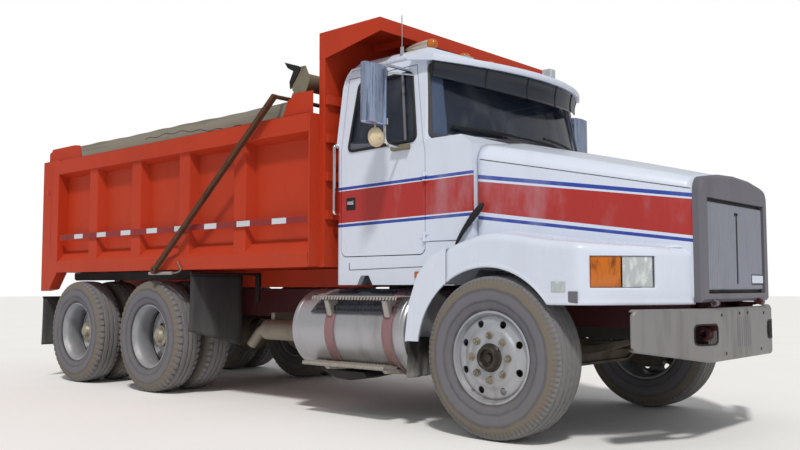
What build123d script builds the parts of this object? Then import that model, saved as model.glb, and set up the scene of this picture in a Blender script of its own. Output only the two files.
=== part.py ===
"""Tandem-axle dump truck with a bonneted cab, built as separate pieces in millimetres.

+X points forward, +Y to the truck's left, +Z up. The origin lies on the ground under the middle of the
overall length. Distances along the truck are measured from the front axle, forward with ahead() and
rearward with behind(). Pieces of the right side are mirrored to the left.
"""

import math
import os

from build123d import *

# Whole truck
FRONT_OVERHANG = 1170.0
MID_AXLE_BACK = 3914.0
TANDEM_SPREAD = 1350.0
REAR_AXLE_BACK = MID_AXLE_BACK + TANDEM_SPREAD
POST_BACK = 6020.0
GATE_DEPTH = 80.0
REAR_END_BACK = POST_BACK + GATE_DEPTH
FRONT_AXLE_X = (REAR_END_BACK - FRONT_OVERHANG) / 2
RUNNING_GAP = 0.08
SEAT_GAP = 0.3
MOVING_GAP = 8.0
CUT_OVERRUN = 40.0

# Tyres and rims
FRONT_TYRE_RADIUS = 526.0
FRONT_TYRE_WIDTH = 315.0
FRONT_TYRE_Y = 1057.5
REAR_TYRE_RADIUS = 518.0
REAR_TYRE_WIDTH = 275.0
REAR_OUTER_TYRE_Y = 1077.5
REAR_INNER_TYRE_Y = 742.5
RIM_SEAT_RADIUS = 286.0
RIM_FLANGE_RADIUS = 298.5
RIM_HALF_WIDTH = 108.0
RIM_FLANGE_WIDTH = 12.0
RIM_WALL = 10.0
DISC_WALL = 12.0
HAND_HOLE_RADIUS = 24.0
HAND_HOLE_COUNT = 8
HAND_HOLE_CIRCLE = 228.0
STUD_CIRCLE = 142.0
STUD_COUNT = 8
STUD_RADIUS = 15.0
STUD_LENGTH = 48.0
# Tyre section: columns are share of the half width, share of the section height above the rim seat
TYRE_SECTION_SHARES = (
    (0.66, 0.00), (0.68, 0.06), (1.00, 0.50), (0.93, 0.80), (0.82, 0.93), (0.62, 0.985), (0.00, 1.00),
)

# Front wheel disc and hub, distances along Y from the truck's centre line
FRONT_DISC_RIM_Y = 1132.0
FRONT_DISC_FACE_Y = 1186.0
FRONT_DISC_KNEE_RADIUS = 185.0
FRONT_DISC_BORE = 84.0
FRONT_HUB_RADIUS = 82.0
FRONT_HUB_END_Y = 1236.0
FRONT_HUB_BACK_Y = 1020.0
FRONT_FLANGE_RADIUS = 168.0
FRONT_FLANGE_THICKNESS = 16.0
FRONT_DRUM_RADIUS = 205.0
FRONT_DRUM_BACK_Y = 985.0
FRONT_DRUM_FRONT_Y = 1110.0
DRUM_WALL = 16.0

# Rear dual wheels
DISC_MEET_Y = 910.0
REAR_HUB_RADIUS = 92.0
REAR_HUB_BACK_Y = 640.0
REAR_HUB_END_Y = 1108.0
REAR_DRUM_RADIUS = 214.0
REAR_DRUM_BACK_Y = 655.0
REAR_DRUM_FRONT_Y = 880.0
REAR_FLANGE_RADIUS = 168.0
AXLE_CAP_RADIUS = 62.0
AXLE_CAP_LENGTH = 34.0

# Steering
KINGPIN_Y = 900.0
KINGPIN_RADIUS = 20.0
BEAM_EYE_RADIUS = 46.0
BEAM_EYE_HALF_HEIGHT = 48.0
KNUCKLE_EAR_THICKNESS = 30.0
KNUCKLE_PLATE_THICKNESS = 34.0
SPINDLE_RADIUS = 38.0
SPINDLE_END_Y = 1200.0
STEER_ARM_LENGTH = 200.0
STEER_ARM_WIDTH = 46.0
STEER_ARM_THICKNESS = 24.0
STEER_BALL_RADIUS = 24.0
TIE_ROD_RADIUS = 17.0
TIE_ROD_BAR_RADIUS = 14.0

# Front axle beam and springs
BEAM_WIDTH = 92.0
BEAM_DEPTH = 92.0
BEAM_DROP = 74.0
BEAM_BEND_Y = 560.0
BEAM_RISE_Y = 760.0
BEAM_POCKET = 24.0
BEAM_POCKET_MARGIN = 18.0
SPRING_WIDTH = 76.0
SPRING_HALF_LENGTH = 660.0
SPRING_EYE_Z = 640.0
SPRING_PACK = 62.0
SPRING_TIP = 16.0
SPRING_Y = 385.0
HANGER_LENGTH = 70.0

# Frame
RAIL_HALF_GAUGE = 430.0
RAIL_FLANGE = 85.0
RAIL_WALL = 9.0
RAIL_BOTTOM = 704.0
RAIL_TOP = 957.0
RAIL_FRONT = 1000.0
RAIL_BACK = 5860.0
HORN_FRONT_TOP = 837.0
CROSS_MEMBER_LENGTH = 110.0
CROSS_MEMBER_HEIGHT = 120.0
# Crossmembers behind the front axle: columns are distance back, bottom height share of the rail
CROSS_MEMBER_ROWS = (
    (-850.0, 0.62), (1150.0, 0.45), (1782.0, 0.00), (2500.0, 0.45), (3100.0, 0.45), (4589.0, 0.20),
    (5200.0, 0.45), (5780.0, 0.30),
)
CAB_MOUNT_BACKS = (880.0, 1500.0)
CAB_MOUNT_LENGTH = 70.0
TOW_EYE_THICKNESS = 25.0
TOW_EYE_RADIUS = 22.0
TOW_EYE_BOSS = 46.0
TOW_EYE_Z = 685.0
TOW_EYE_Y = 470.0
TOW_EYE_AHEAD = 1096.0

# Front bumper
BUMPER_TOP = 845.0
BUMPER_BOTTOM = 514.0
BUMPER_END_BOTTOM = 600.0
BUMPER_HALF_WIDTH = 1110.0
BUMPER_FLAT_HALF = 510.0
BUMPER_END_AHEAD = 950.0
BUMPER_DEPTH = 74.0
BUMPER_WALL = 8.0
TOW_HOLE_IN = 420.0
TOW_HOLE_OUT = 650.0
TOW_HOLE_LOW = 623.0
TOW_HOLE_HIGH = 747.0
TOW_HOLE_CORNER = 24.0
PLATE_HOLE_Y = 90.0
PLATE_HOLE_Z = 740.0
PLATE_HOLE_RADIUS = 6.75

# Hood hinge
HOOD_PIVOT_AHEAD = 1140.0
HOOD_PIVOT_Z = 873.0
HOOD_PIN_RADIUS = 12.0
HOOD_BRACKET_RADIUS = 17.0
HOOD_BRACKET_IN = 350.0
HOOD_BRACKET_OUT = 378.0
HOOD_EAR_OUT = 408.0
HOOD_EAR_RADIUS = 22.0

# Engine, gearbox, radiator
ENGINE_FRONT = 620.0
ENGINE_BACK = 200.0
ENGINE_HALF_WIDTH = 265.0
ENGINE_BOTTOM = 620.0
ENGINE_TOP = 1480.0
GEARBOX_BACK = 1050.0
GEARBOX_HALF_WIDTH = 190.0
GEARBOX_BOTTOM = 640.0
GEARBOX_TOP = 985.0
ENGINE_MOUNT_LENGTH = 110.0
ENGINE_MOUNT_HEIGHT = 60.0
ENGINE_MOUNT_AHEAD = 200.0
ENGINE_MOUNT_Z = 800.0
RADIATOR_BACK_FACE = 800.0
RADIATOR_DEPTH = 100.0
RADIATOR_HALF_WIDTH = 400.0
RADIATOR_TOP = 1500.0

# Drive axles, suspension and shafts
AXLE_TUBE_RADIUS = 72.0
AXLE_TUBE_END_Y = 630.0
AXLE_SPINDLE_RADIUS = 48.0
AXLE_SPINDLE_END_Y = 1080.0
BANJO_RADIUS = 205.0
BANJO_HALF_DEPTH = 105.0
BANJO_NOSE_RADIUS = 92.0
BANJO_NOSE_LENGTH = 210.0
WALKING_BEAM_WIDTH = 90.0
WALKING_BEAM_DEPTH = 120.0
SADDLE_LENGTH = 420.0
SADDLE_TOP_Z = 704.0
SHAFT_RADIUS = 45.0
SHAFT_REAR_Z = 560.0
SHAFT_FRONT_Z = 690.0

# Fuel tanks with straps and steps
TANK_RADIUS = 310.0
TANK_Y = 840.0
TANK_Z = 650.0
TANK_FRONT = 775.0
TANK_BACK = 2145.0
TANK_DOME = 40.0
TANK_INNER_LIMIT = 560.0
STRAP_WALL = 8.0
STRAP_WIDTH = 110.0
STRAP_BACKS = (886.0, 1515.0)
STEP_THICKNESS = 16.0
UPPER_STEP_FRONT = 803.0
UPPER_STEP_BACK = 1672.0
UPPER_STEP_Z = 966.0
UPPER_STEP_IN = 900.0
LOWER_STEP_FRONT = 925.0
LOWER_STEP_BACK = 1775.0
LOWER_STEP_Z = 392.0
LOWER_STEP_IN = 1040.0
STEP_OUT = 1195.0
STEP_HANGER = 50.0
STEP_HOLE_RADIUS = 11.0
STEP_HOLE_PITCH = 48.0

# Muffler
MUFFLER_RADIUS = 88.0
MUFFLER_Y = 750.0
MUFFLER_Z = 603.0
MUFFLER_BACK = 2720.0
MUFFLER_FRONT = 2250.0
PIPE_RADIUS = 45.0
PIPE_Z = 600.0
PIPE_Y = 255.0
PIPE_BEND = 95.0
PIPE_TURN = 2180.0
PIPE_FRONT = 1150.0
TAIL_PIPE_BACK = 2900.0
TAIL_PIPE_Z = 460.0
TAIL_PIPE_BEND = 80.0

# Mud flaps
FLAP_THICKNESS = 12.0
FLAP_IN = 620.0
FLAP_OUT = 1195.0
QUARTER_FLAP_BACK = 3250.0
QUARTER_FLAP_TOP = 1092.0
QUARTER_FLAP_LOW_IN = 430.0
QUARTER_FLAP_LOW_OUT = 580.0
REAR_FLAP_BACK = 5995.0
REAR_FLAP_TOP = 862.0
REAR_FLAP_LOW = 347.0
FLAP_ROD_RADIUS = 12.0
FLAP_POST_LENGTH = 60.0
SPLASH_FLAP_IN = 980.0
SPLASH_FLAP_BACK = 690.0
SPLASH_FLAP_LOW = 350.0

# Cab
CAB_BACK = 1560.0
CAB_HALF_WIDTH = 1050.0
CAB_WALL = 45.0
CAB_CORNER = 50.0
CAB_SILL = 990.0
CAB_FLOOR = 1160.0
CAB_FLOOR_THICKNESS = 40.0
CAB_BELT = 2020.0
CAB_COWL_FRONT = 235.0
CAB_COWL_TOP = 1945.0
CAB_COWL_LOW = 1275.0
CAB_TOE_BACK = 640.0
CAB_TOE_Z = 1105.0
CAB_SILL_FRONT = 735.0
ROOF_EDGE_Z = 2660.0
ROOF_TOP_Z = 2800.0
ROOF_HALF_WIDTH = 955.0
ROOF_SHOULDER_HALF = 880.0
ROOF_SHOULDER_Z = 2745.0
ROOF_BACK_Z = 2560.0
ROOF_BACK_SLOPE = 120.0
ROOF_ROUND = 110.0
WINDSHIELD_CORNER_BACK = 650.0
WINDSHIELD_CENTRE_BACK = 330.0
WINDSHIELD_TOP_CORNER_BACK = 745.0
WINDSHIELD_TOP_CENTRE_BACK = 520.0
WINDSHIELD_TOP_Z = 2620.0
ROOF_FRONT_INSET = 190.0
GLASS_WALL = 8.0
GLASS_INSET = 14.0
WINDSHIELD_OPEN_HALF_LOW = 925.0
WINDSHIELD_OPEN_HALF_HIGH = 880.0
WINDSHIELD_OPEN_LOW = 2060.0
WINDSHIELD_OPEN_HIGH = 2575.0
REAR_WINDOW_HALF = 480.0
REAR_WINDOW_LOW = 2080.0
REAR_WINDOW_HIGH = 2430.0
NOTCH_CENTRE_BACK = 1245.0
NOTCH_HALF_LENGTH = 80.0
NOTCH_HEIGHT = 70.0

# Doors
DOOR_BACK = 1500.0
DOOR_FRONT = 650.0
DOOR_LOW = 1200.0
DOOR_KNEE_Z = 1940.0
DOOR_TOP_FRONT = 795.0
DOOR_TOP = 2600.0
DOOR_GAP = 7.0
DOOR_CORNER = 55.0
DOOR_HINGE_ZS = (1330.0, 1750.0)
DOOR_HINGE_RADIUS = 12.0
DOOR_HINGE_PIN_RADIUS = 6.0
DOOR_HINGE_OFFSET = 8.0
DOOR_HINGE_HALF_HEIGHT = 36.0
DOOR_HINGE_EYE_HALF = 12.0
DOOR_HINGE_LEAF = 42.0
DOOR_HINGE_LEAF_WALL = 5.0
WINDOW_BACK = 1430.0
WINDOW_FRONT_LOW = 745.0
WINDOW_FRONT_HIGH = 835.0
WINDOW_BACK_HIGH = 1370.0
WINDOW_LOW_BACK = 2070.0
WINDOW_LOW_FRONT = 2010.0
WINDOW_HIGH = 2545.0
WINDOW_CORNER = 50.0

# Mirrors on the doors
MIRROR_STANDOFF = 350.0
MIRROR_Y = CAB_HALF_WIDTH + MIRROR_STANDOFF
MIRROR_BACK = 829.0
MIRROR_HALF_WIDTH = 100.0
MIRROR_DEPTH = 70.0
MIRROR_LOW = 2105.0
MIRROR_HIGH = 2530.0
MIRROR_CORNER = 28.0
MIRROR_TUBE_RADIUS = 10.0
MIRROR_TUBE_BEND = 60.0
MIRROR_FOOT_Z = 1960.0
MIRROR_TOP_FOOT_Z = 2570.0
SPOT_MIRROR_RADIUS = 60.0
SPOT_MIRROR_DEPTH = 36.0
SPOT_MIRROR_Z = 2023.0

# Cab interior
SEAT_WIDTH = 480.0
SEAT_Y = 500.0
SEAT_DEPTH = 460.0
SEAT_HEIGHT = 330.0
SEAT_BACK_HEIGHT = 720.0
SEAT_BACK_THICKNESS = 130.0
SEAT_FRONT = 930.0
DASH_BACK = 640.0
DASH_LOW = 1500.0
DASH_HIGH = 1925.0
WHEEL_RIM_RADIUS = 225.0
WHEEL_TUBE_RADIUS = 15.0
WHEEL_BACK = 780.0
WHEEL_Z = 1840.0
WHEEL_TILT = 35.0
COLUMN_RADIUS = 24.0
WHEEL_SPOKE_WIDTH = 36.0

# Sun visor, roof lamps, handles
VISOR_TIP_INSET = 15.0
VISOR_TIP_HALF = CAB_HALF_WIDTH - VISOR_TIP_INSET
VISOR_TIP_BACK = 840.0
VISOR_SHOULDER_INSET = 40.0
VISOR_SHOULDER_HALF = CAB_HALF_WIDTH - VISOR_SHOULDER_INSET
VISOR_SHOULDER_BACK = 640.0
VISOR_CENTRE_BACK = 300.0
VISOR_LOW = 2560.0
VISOR_THICKNESS = 22.0
VISOR_RISE = 70.0
LAMP_COUNT = 5
LAMP_SPREAD = 1500.0
LAMP_LENGTH = 150.0
LAMP_WIDTH = 60.0
LAMP_HEIGHT = 46.0
LAMP_BACK = 900.0
HANDLE_RADIUS = 12.0
HANDLE_LOW = 1536.0
HANDLE_HIGH = 2114.0
HANDLE_STANDOFF = 32.0
HANDLE_Y = CAB_HALF_WIDTH + HANDLE_STANDOFF
HANDLE_BACK = 1546.0
HANDLE_BEND = 22.0
ANTENNA_RADIUS = 4.0
ANTENNA_BASE_RADIUS = 16.0
ANTENNA_BASE_HEIGHT = 30.0
ANTENNA_BACK = 1000.0
ANTENNA_Y = 905.0
ANTENNA_TOP = 3020.0

# Hood with its fenders, grille and lamps
HOOD_BACK = 225.0
HOOD_FRONT = 1080.0
HOOD_WALL = 10.0
# Hood sections: columns are half width at the rear, height at the rear, half width in front, height there
HOOD_SECTION = (
    (1000.0, 1240.0, 560.0, 880.0),
    (1000.0, 1866.0, 560.0, 1595.0),
    (935.0, 1950.0, 515.0, 1655.0),
    (450.0, 2015.0, 260.0, 1690.0),
)
HOOD_SHOULDER_ROUND = 90.0
HOOD_CROWN_REAR = 2030.0
HOOD_CROWN_FRONT = 1700.0
FENDER_OUT = 1200.0
FENDER_BACK = 345.0
FENDER_ROUND = 55.0
FENDER_TUCK = 24.0
FENDER_BOTTOM = 867.0
FENDER_CORNER_AHEAD = 640.0
LAMP_CORNER_AHEAD = 700.0
LAMP_CORNER_Y = 1150.0
LAMP_END_AHEAD = 960.0
LAMP_END_Y = 850.0
# Fender crest: columns are distance ahead of the front axle, height
FENDER_CREST = ((-345.0, 1240.0), (-196.0, 1288.0), (23.0, 1324.0), (471.0, 1262.0), (1080.0, 1210.0))
ARCH_RADIUS = 575.0
ARCH_BACK = 30.0
REAR_FENDER_SKIN = 12.0
# Rear fender outline: columns are distance behind the front axle, height
REAR_FENDER_OUTLINE = ((353.0, 1236.0), (480.0, 1185.0), (600.0, 1060.0), (680.0, 860.0), (715.0, 605.0))
HEADLAMP_LOW = 970.0
HEADLAMP_HIGH = 1160.0
HEADLAMP_SPLIT_AHEAD = 888.0
LENS_DEPTH = 30.0
SURROUND_DEPTH = 60.0
GRILLE_HALF_WIDTH = 480.0
GRILLE_LOW = 933.0
GRILLE_HIGH = 1530.0
SURROUND_HALF_LOW = 560.0
SURROUND_CORNER = 40.0
GRILLE_BAR_PITCH = 16.0
GRILLE_BAR_WIDTH = 9.0
GRILLE_BAR_DEPTH = 8.0
GRILLE_RAIL = 18.0
GRILLE_SLOT = 22.0
GRILLE_SETBACK = 6.0

# Dump bed
BED_PIVOT_BACK = 5750.0
BED_PIVOT_Z = 1050.0
BED_PIN_RADIUS = 30.0
BED_HINGE_RADIUS = 58.0
BED_HINGE_PLATE = 20.0
BED_OUT = 1210.0
BED_PANEL_OUT = 1100.0
BED_WALL = 8.0
BED_RAIL_LOW = 1130.0
BED_RAIL_RIDGE = 1240.0
BED_RAIL_SLOPE_TOP = 1360.0
BED_TOP_LOW = 2180.0
BED_TOP_HIGH = 2330.0
BED_SIDE_FRONT = 1700.0
BED_SIDE_BACK = 5680.0
BED_TOP_RAIL_IN = 1070.0
RIB_WIDTH = 155.0
RIB_OUT = 1190.0
RIB_TAPER = 26.0
RIB_BACKS = (2580.0, 3383.0, 4180.0, 4981.0)
POST_TOP = 2340.0
POST_BOTTOM = 931.0
POST_FRONT_BOTTOM = 1124.0
POST_STEP_BACK = 5839.0
POST_CAP_BACK = 5750.0
POST_CAP_FRONT = 5480.0
POST_CAP_TOP = 2487.0
POST_CAP_LOW = 2352.0
MARKER_BAR_LOW = 1482.0
MARKER_BAR_HIGH = 1522.0
MARKER_BAR_FRONT = 1705.0
MARKER_BAR_BACK = 5630.0
MARKER_BAR_OUT = 1206.0
FLOOR_TOP = 1200.0
FLOOR_WALL = 10.0
SILL_IN = 350.0
SILL_OUT = 420.0
SILL_LOW = 972.0
SILL_FRONT = 1760.0
BED_BEARER_LENGTH = 80.0
BED_BEARER_COUNT = 9
BED_BEARER_LOW = 1130.0
FRONT_WALL_AT = 1635.0
FRONT_WALL = 8.0
CORNER_POST_TOP = 2763.0
CORNER_POST_IN = 1040.0
POCKET_HALF_WIDTH = 210.0
POCKET_BACK = 2330.0
POCKET_TOP = 2440.0
POCKET_WALL = 8.0
FRONT_RIB_DEPTH = 30.0
FRONT_RIB_HEIGHT = 70.0
FRONT_RIB_LOW = 1500.0
FRONT_RIB_PITCH = 300.0
FRONT_RIB_COUNT = 4
SHIELD_FRONT = 1043.0
SHIELD_TOP = 2976.0
SHIELD_LOW = 2763.0
SHIELD_FRONT_LOW = 2873.0
SHIELD_WALL = 6.0
SHIELD_LIP = 100.0
SHIELD_RIB = 60.0
BOARD_FRONT = 2000.0
BOARD_BACK = 5470.0
BOARD_OUT = 1150.0
BOARD_THICKNESS = 40.0
BOARD_TOP = 2465.0

# Tarp gear
TARP_PLATE_FRONT = 1747.0
TARP_PLATE_BACK = 1983.0
TARP_PLATE_LOW = 2495.0
TARP_PLATE_HIGH = 2726.0
TARP_PLATE_OUT = 1156.0
TARP_PLATE_WALL = 10.0
TARP_ROLL_RADIUS = 72.0
TARP_BRACKET_FRONT = 1936.0
TARP_BRACKET_BACK = 2046.0
BOW_PIVOT_BACK = 3730.0
BOW_PIVOT_Z = 1130.0
BOW_IN = 1240.0
BOW_OUT = 1280.0
BOW_BAR_WIDTH = 38.0
BOW_TIP_BACK = 2056.0
BOW_TIP_Z = 2497.0
BOW_TUBE_RADIUS = 17.0
BOW_BOSS_RADIUS = 36.0
BOW_PIN_RADIUS = 12.0
SPRING_TUBE_RADIUS = 26.0
SPRING_TUBE_FRONT = 3245.0
SPRING_TUBE_BACK = 3680.0
SPRING_TUBE_Z = 1096.0

# Tailgate
GATE_GAP = 6.0
GATE_WALL = 10.0
GATE_HALF_WIDTH = 1160.0
GATE_LOW = 1145.0
GATE_HIGH = 2300.0
GATE_RIB_COUNT = 5
GATE_RIB_WIDTH = 90.0
GATE_FRAME = 100.0
GATE_PIVOT_BACK = 5985.0
GATE_PIVOT_Z = 2385.0
GATE_ARM_IN = 1050.0
GATE_ARM_OUT = 1085.0
GATE_ARM_RADIUS = 34.0
GATE_PIN_RADIUS = 16.0
GATE_EAR_THICKNESS = 24.0

# Hoist: a telescopic cylinder in the pocket of the bed's front wall
HOIST_BACK = 1782.0
HOIST_BASE_Z = 950.0
HOIST_EYE_Z = 2350.0
HOIST_RADII = (98.0, 84.0, 70.0, 56.0)
HOIST_TUBE_GAP = 1.0
HOIST_TOP_Z = 2230.0
HOIST_STAGE_STEP = 14.0
HOIST_PIN_RADIUS = 26.0
HOIST_EYE_RADIUS = 48.0
HOIST_EYE_HALF = 34.0
HOIST_EAR_THICKNESS = 22.0
HOIST_EAR_GAP = 6.0
HOIST_TRUNNION_HALF = 130.0


BOTTOM = (Align.CENTER, Align.CENTER, Align.MIN)


def ahead(distance):
    """X of a point that lies this far in front of the front axle."""
    return FRONT_AXLE_X + distance


def behind(distance):
    """X of a point that lies this far behind the front axle."""
    return FRONT_AXLE_X - distance


def block(x_span, y_span, z_span):
    """A box between two X, two Y and two Z values, given in any order."""
    (x0, x1), (y0, y1), (z0, z1) = sorted(x_span), sorted(y_span), sorted(z_span)
    low = (Align.MIN, Align.MIN, Align.MIN)
    return Pos(x0, y0, z0) * Box(x1 - x0, y1 - y0, z1 - z0, align=low)


def outline(points):
    return Polygon(*points, align=None)


def prism_y(points, y_span):
    """An outline of (X, Z) points, made solid between two Y values."""
    y0, y1 = sorted(y_span)
    plane = Plane(origin=(0, y1, 0), x_dir=(1, 0, 0), z_dir=(0, -1, 0))
    return extrude(plane * outline(points), y1 - y0, dir=plane.z_dir)


def prism_x(points, x_span):
    """An outline of (Y, Z) points, made solid between two X values."""
    x0, x1 = sorted(x_span)
    plane = Plane(origin=(x0, 0, 0), x_dir=(0, 1, 0), z_dir=(1, 0, 0))
    return extrude(plane * outline(points), x1 - x0, dir=plane.z_dir)


def prism_z(points, z_span):
    """An outline of (X, Y) points, made solid between two heights."""
    z0, z1 = sorted(z_span)
    return extrude(Plane.XY.offset(z0) * outline(points), z1 - z0, dir=(0, 0, 1))


def rod(start, end, radius):
    """A round bar between two points."""
    a, b = Vector(*start), Vector(*end)
    along = b - a
    plane = Plane(origin=a, z_dir=along)
    return extrude(plane * Circle(radius), along.length)


def rod_y(x, z, radius, y_span):
    y0, y1 = sorted(y_span)
    return rod((x, y0, z), (x, y1, z), radius)


def tube(points, radius, bend):
    """A round bar along straight runs joined by equal bends."""
    path = FilletPolyline(*points, radius=bend)
    return sweep(Plane(origin=path @ 0, z_dir=path % 0) * Circle(radius), path=path)


def turned(profile, y_sign=1):
    """A ring about the Y axis from (Y, radius) points."""
    points = [(y_sign * y, r) for y, r in profile]
    plane = Plane(origin=(0, 0, 0), x_dir=(0, 1, 0), z_dir=(1, 0, 0))
    return revolve(plane * outline(points), Axis.Y)


def left(shape):
    """The left-hand twin of a right-hand piece."""
    return mirror(shape, about=Plane.XZ)


def both(shape):
    return [shape, left(shape)]


def fused(pieces):
    """One piece from pieces that touch or cross."""
    total = pieces[0]
    for piece in pieces[1:]:
        total = total + piece
    return total


def right(low, high):
    """A Y span on the truck's right side from two distances from the centre line."""
    return (-low, -high)


# Wheels
def tyre(radius, width):
    """A tyre about the Y axis at the origin, solid between its beads."""
    height = radius - RIM_SEAT_RADIUS - SEAT_GAP
    half = [
        (share_y * width / 2, RIM_SEAT_RADIUS + SEAT_GAP + share_r * height)
        for share_y, share_r in TYRE_SECTION_SHARES
    ]
    section = half + [(-y, r) for y, r in reversed(half[:-1])]
    return turned(section)


def rim(centre_y, disc_profile):
    """A rim whose well lies round centre_y, fused with the disc that carries it."""
    inner = RIM_SEAT_RADIUS - RIM_WALL
    end = RIM_HALF_WIDTH + RIM_FLANGE_WIDTH
    barrel = turned([
        (-end, inner), (end, inner), (end, RIM_FLANGE_RADIUS), (RIM_HALF_WIDTH, RIM_FLANGE_RADIUS),
        (RIM_HALF_WIDTH, RIM_SEAT_RADIUS), (-RIM_HALF_WIDTH, RIM_SEAT_RADIUS),
        (-RIM_HALF_WIDTH, RIM_FLANGE_RADIUS), (-end, RIM_FLANGE_RADIUS),
    ])
    return Pos(0, centre_y, 0) * barrel + turned(disc_profile)


def ring_of_rods(count, circle, radius, y_span):
    """Round bars along Y, evenly spaced on a circle about the Y axis."""
    return [
        rod_y(circle * math.sin(turn), circle * math.cos(turn), radius, y_span)
        for turn in (math.tau * (i + 0.5) / count for i in range(count))
    ]


def front_wheel():
    """A left-hand front wheel with its hub and drum, about the Y axis, placed at its real Y."""
    inner = RIM_SEAT_RADIUS - RIM_WALL + SEAT_GAP
    face, back = FRONT_DISC_FACE_Y, FRONT_DISC_FACE_Y - DISC_WALL
    disc = [
        (FRONT_DISC_RIM_Y, inner), (face, FRONT_DISC_KNEE_RADIUS), (face, FRONT_DISC_BORE),
        (back, FRONT_DISC_BORE), (back, FRONT_DISC_KNEE_RADIUS), (FRONT_DISC_RIM_Y - DISC_WALL, inner),
    ]
    wheel = rim(FRONT_TYRE_Y, disc)
    for hole in ring_of_rods(
        HAND_HOLE_COUNT, HAND_HOLE_CIRCLE, HAND_HOLE_RADIUS, (back - 2 * CUT_OVERRUN, face + CUT_OVERRUN)
    ):
        wheel = wheel - hole
    flange_back = back - FRONT_FLANGE_THICKNESS
    bore = SPINDLE_RADIUS + RUNNING_GAP
    drum_inner = FRONT_DRUM_RADIUS - DRUM_WALL
    hub = turned([
        (FRONT_HUB_BACK_Y, bore), (SPINDLE_END_Y + MOVING_GAP, bore), (SPINDLE_END_Y + MOVING_GAP, 0),
        (FRONT_HUB_END_Y, 0), (FRONT_HUB_END_Y, FRONT_HUB_RADIUS), (back, FRONT_HUB_RADIUS),
        (back, FRONT_FLANGE_RADIUS), (flange_back, FRONT_FLANGE_RADIUS),
        (FRONT_DRUM_FRONT_Y, FRONT_DRUM_RADIUS), (FRONT_DRUM_BACK_Y, FRONT_DRUM_RADIUS),
        (FRONT_DRUM_BACK_Y, drum_inner), (FRONT_DRUM_FRONT_Y - DRUM_WALL, drum_inner),
        (flange_back - DRUM_WALL, FRONT_HUB_RADIUS), (FRONT_HUB_BACK_Y, FRONT_HUB_RADIUS),
    ])
    studs = ring_of_rods(STUD_COUNT, STUD_CIRCLE, STUD_RADIUS, (face, face + STUD_LENGTH))
    return fused([wheel, hub, *studs])


def rear_wheels():
    """A left-hand pair of rear wheels with their hub and drum, about the Y axis."""
    inner = RIM_SEAT_RADIUS - RIM_WALL + SEAT_GAP
    bore = REAR_HUB_RADIUS
    meet, wall = DISC_MEET_Y, DISC_WALL
    outer_rim_y = REAR_OUTER_TYRE_Y - RIM_HALF_WIDTH
    inner_rim_y = REAR_INNER_TYRE_Y + RIM_HALF_WIDTH
    knee = FRONT_DISC_KNEE_RADIUS
    outer_disc = [
        (outer_rim_y + wall, inner), (meet + wall, knee), (meet + wall, bore - RUNNING_GAP),
        (meet, bore - RUNNING_GAP), (meet, knee), (outer_rim_y, inner),
    ]
    inner_disc = [
        (inner_rim_y - wall, inner), (meet - wall, knee), (meet - wall, bore - RUNNING_GAP),
        (meet, bore - RUNNING_GAP), (meet, knee), (inner_rim_y, inner),
    ]
    pair = rim(REAR_OUTER_TYRE_Y, outer_disc) + rim(REAR_INNER_TYRE_Y, inner_disc)
    span = (inner_rim_y - CUT_OVERRUN, outer_rim_y + CUT_OVERRUN)
    for hole in ring_of_rods(HAND_HOLE_COUNT, HAND_HOLE_CIRCLE, HAND_HOLE_RADIUS, span):
        pair = pair - hole
    spindle_bore = AXLE_SPINDLE_RADIUS + RUNNING_GAP
    drum_inner = REAR_DRUM_RADIUS - DRUM_WALL
    drum_front = REAR_DRUM_FRONT_Y
    cap_end = REAR_HUB_END_Y + AXLE_CAP_LENGTH
    hub = turned([
        (REAR_HUB_BACK_Y, spindle_bore), (AXLE_SPINDLE_END_Y + MOVING_GAP, spindle_bore),
        (AXLE_SPINDLE_END_Y + MOVING_GAP, 0), (cap_end, 0), (cap_end, AXLE_CAP_RADIUS),
        (REAR_HUB_END_Y, AXLE_CAP_RADIUS), (REAR_HUB_END_Y, REAR_HUB_RADIUS),
        (meet - wall, REAR_HUB_RADIUS), (meet - wall, REAR_FLANGE_RADIUS),
        (drum_front, REAR_DRUM_RADIUS), (REAR_DRUM_BACK_Y, REAR_DRUM_RADIUS),
        (REAR_DRUM_BACK_Y, drum_inner), (drum_front - DRUM_WALL, drum_inner),
        (drum_front - DRUM_WALL, REAR_HUB_RADIUS), (REAR_HUB_BACK_Y, REAR_HUB_RADIUS),
    ])
    studs = ring_of_rods(STUD_COUNT, STUD_CIRCLE, STUD_RADIUS, (meet + wall, meet + wall + STUD_LENGTH))
    return fused([pair, hub, *studs])


# Steering
def steer_z():
    return FRONT_TYRE_RADIUS


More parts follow.
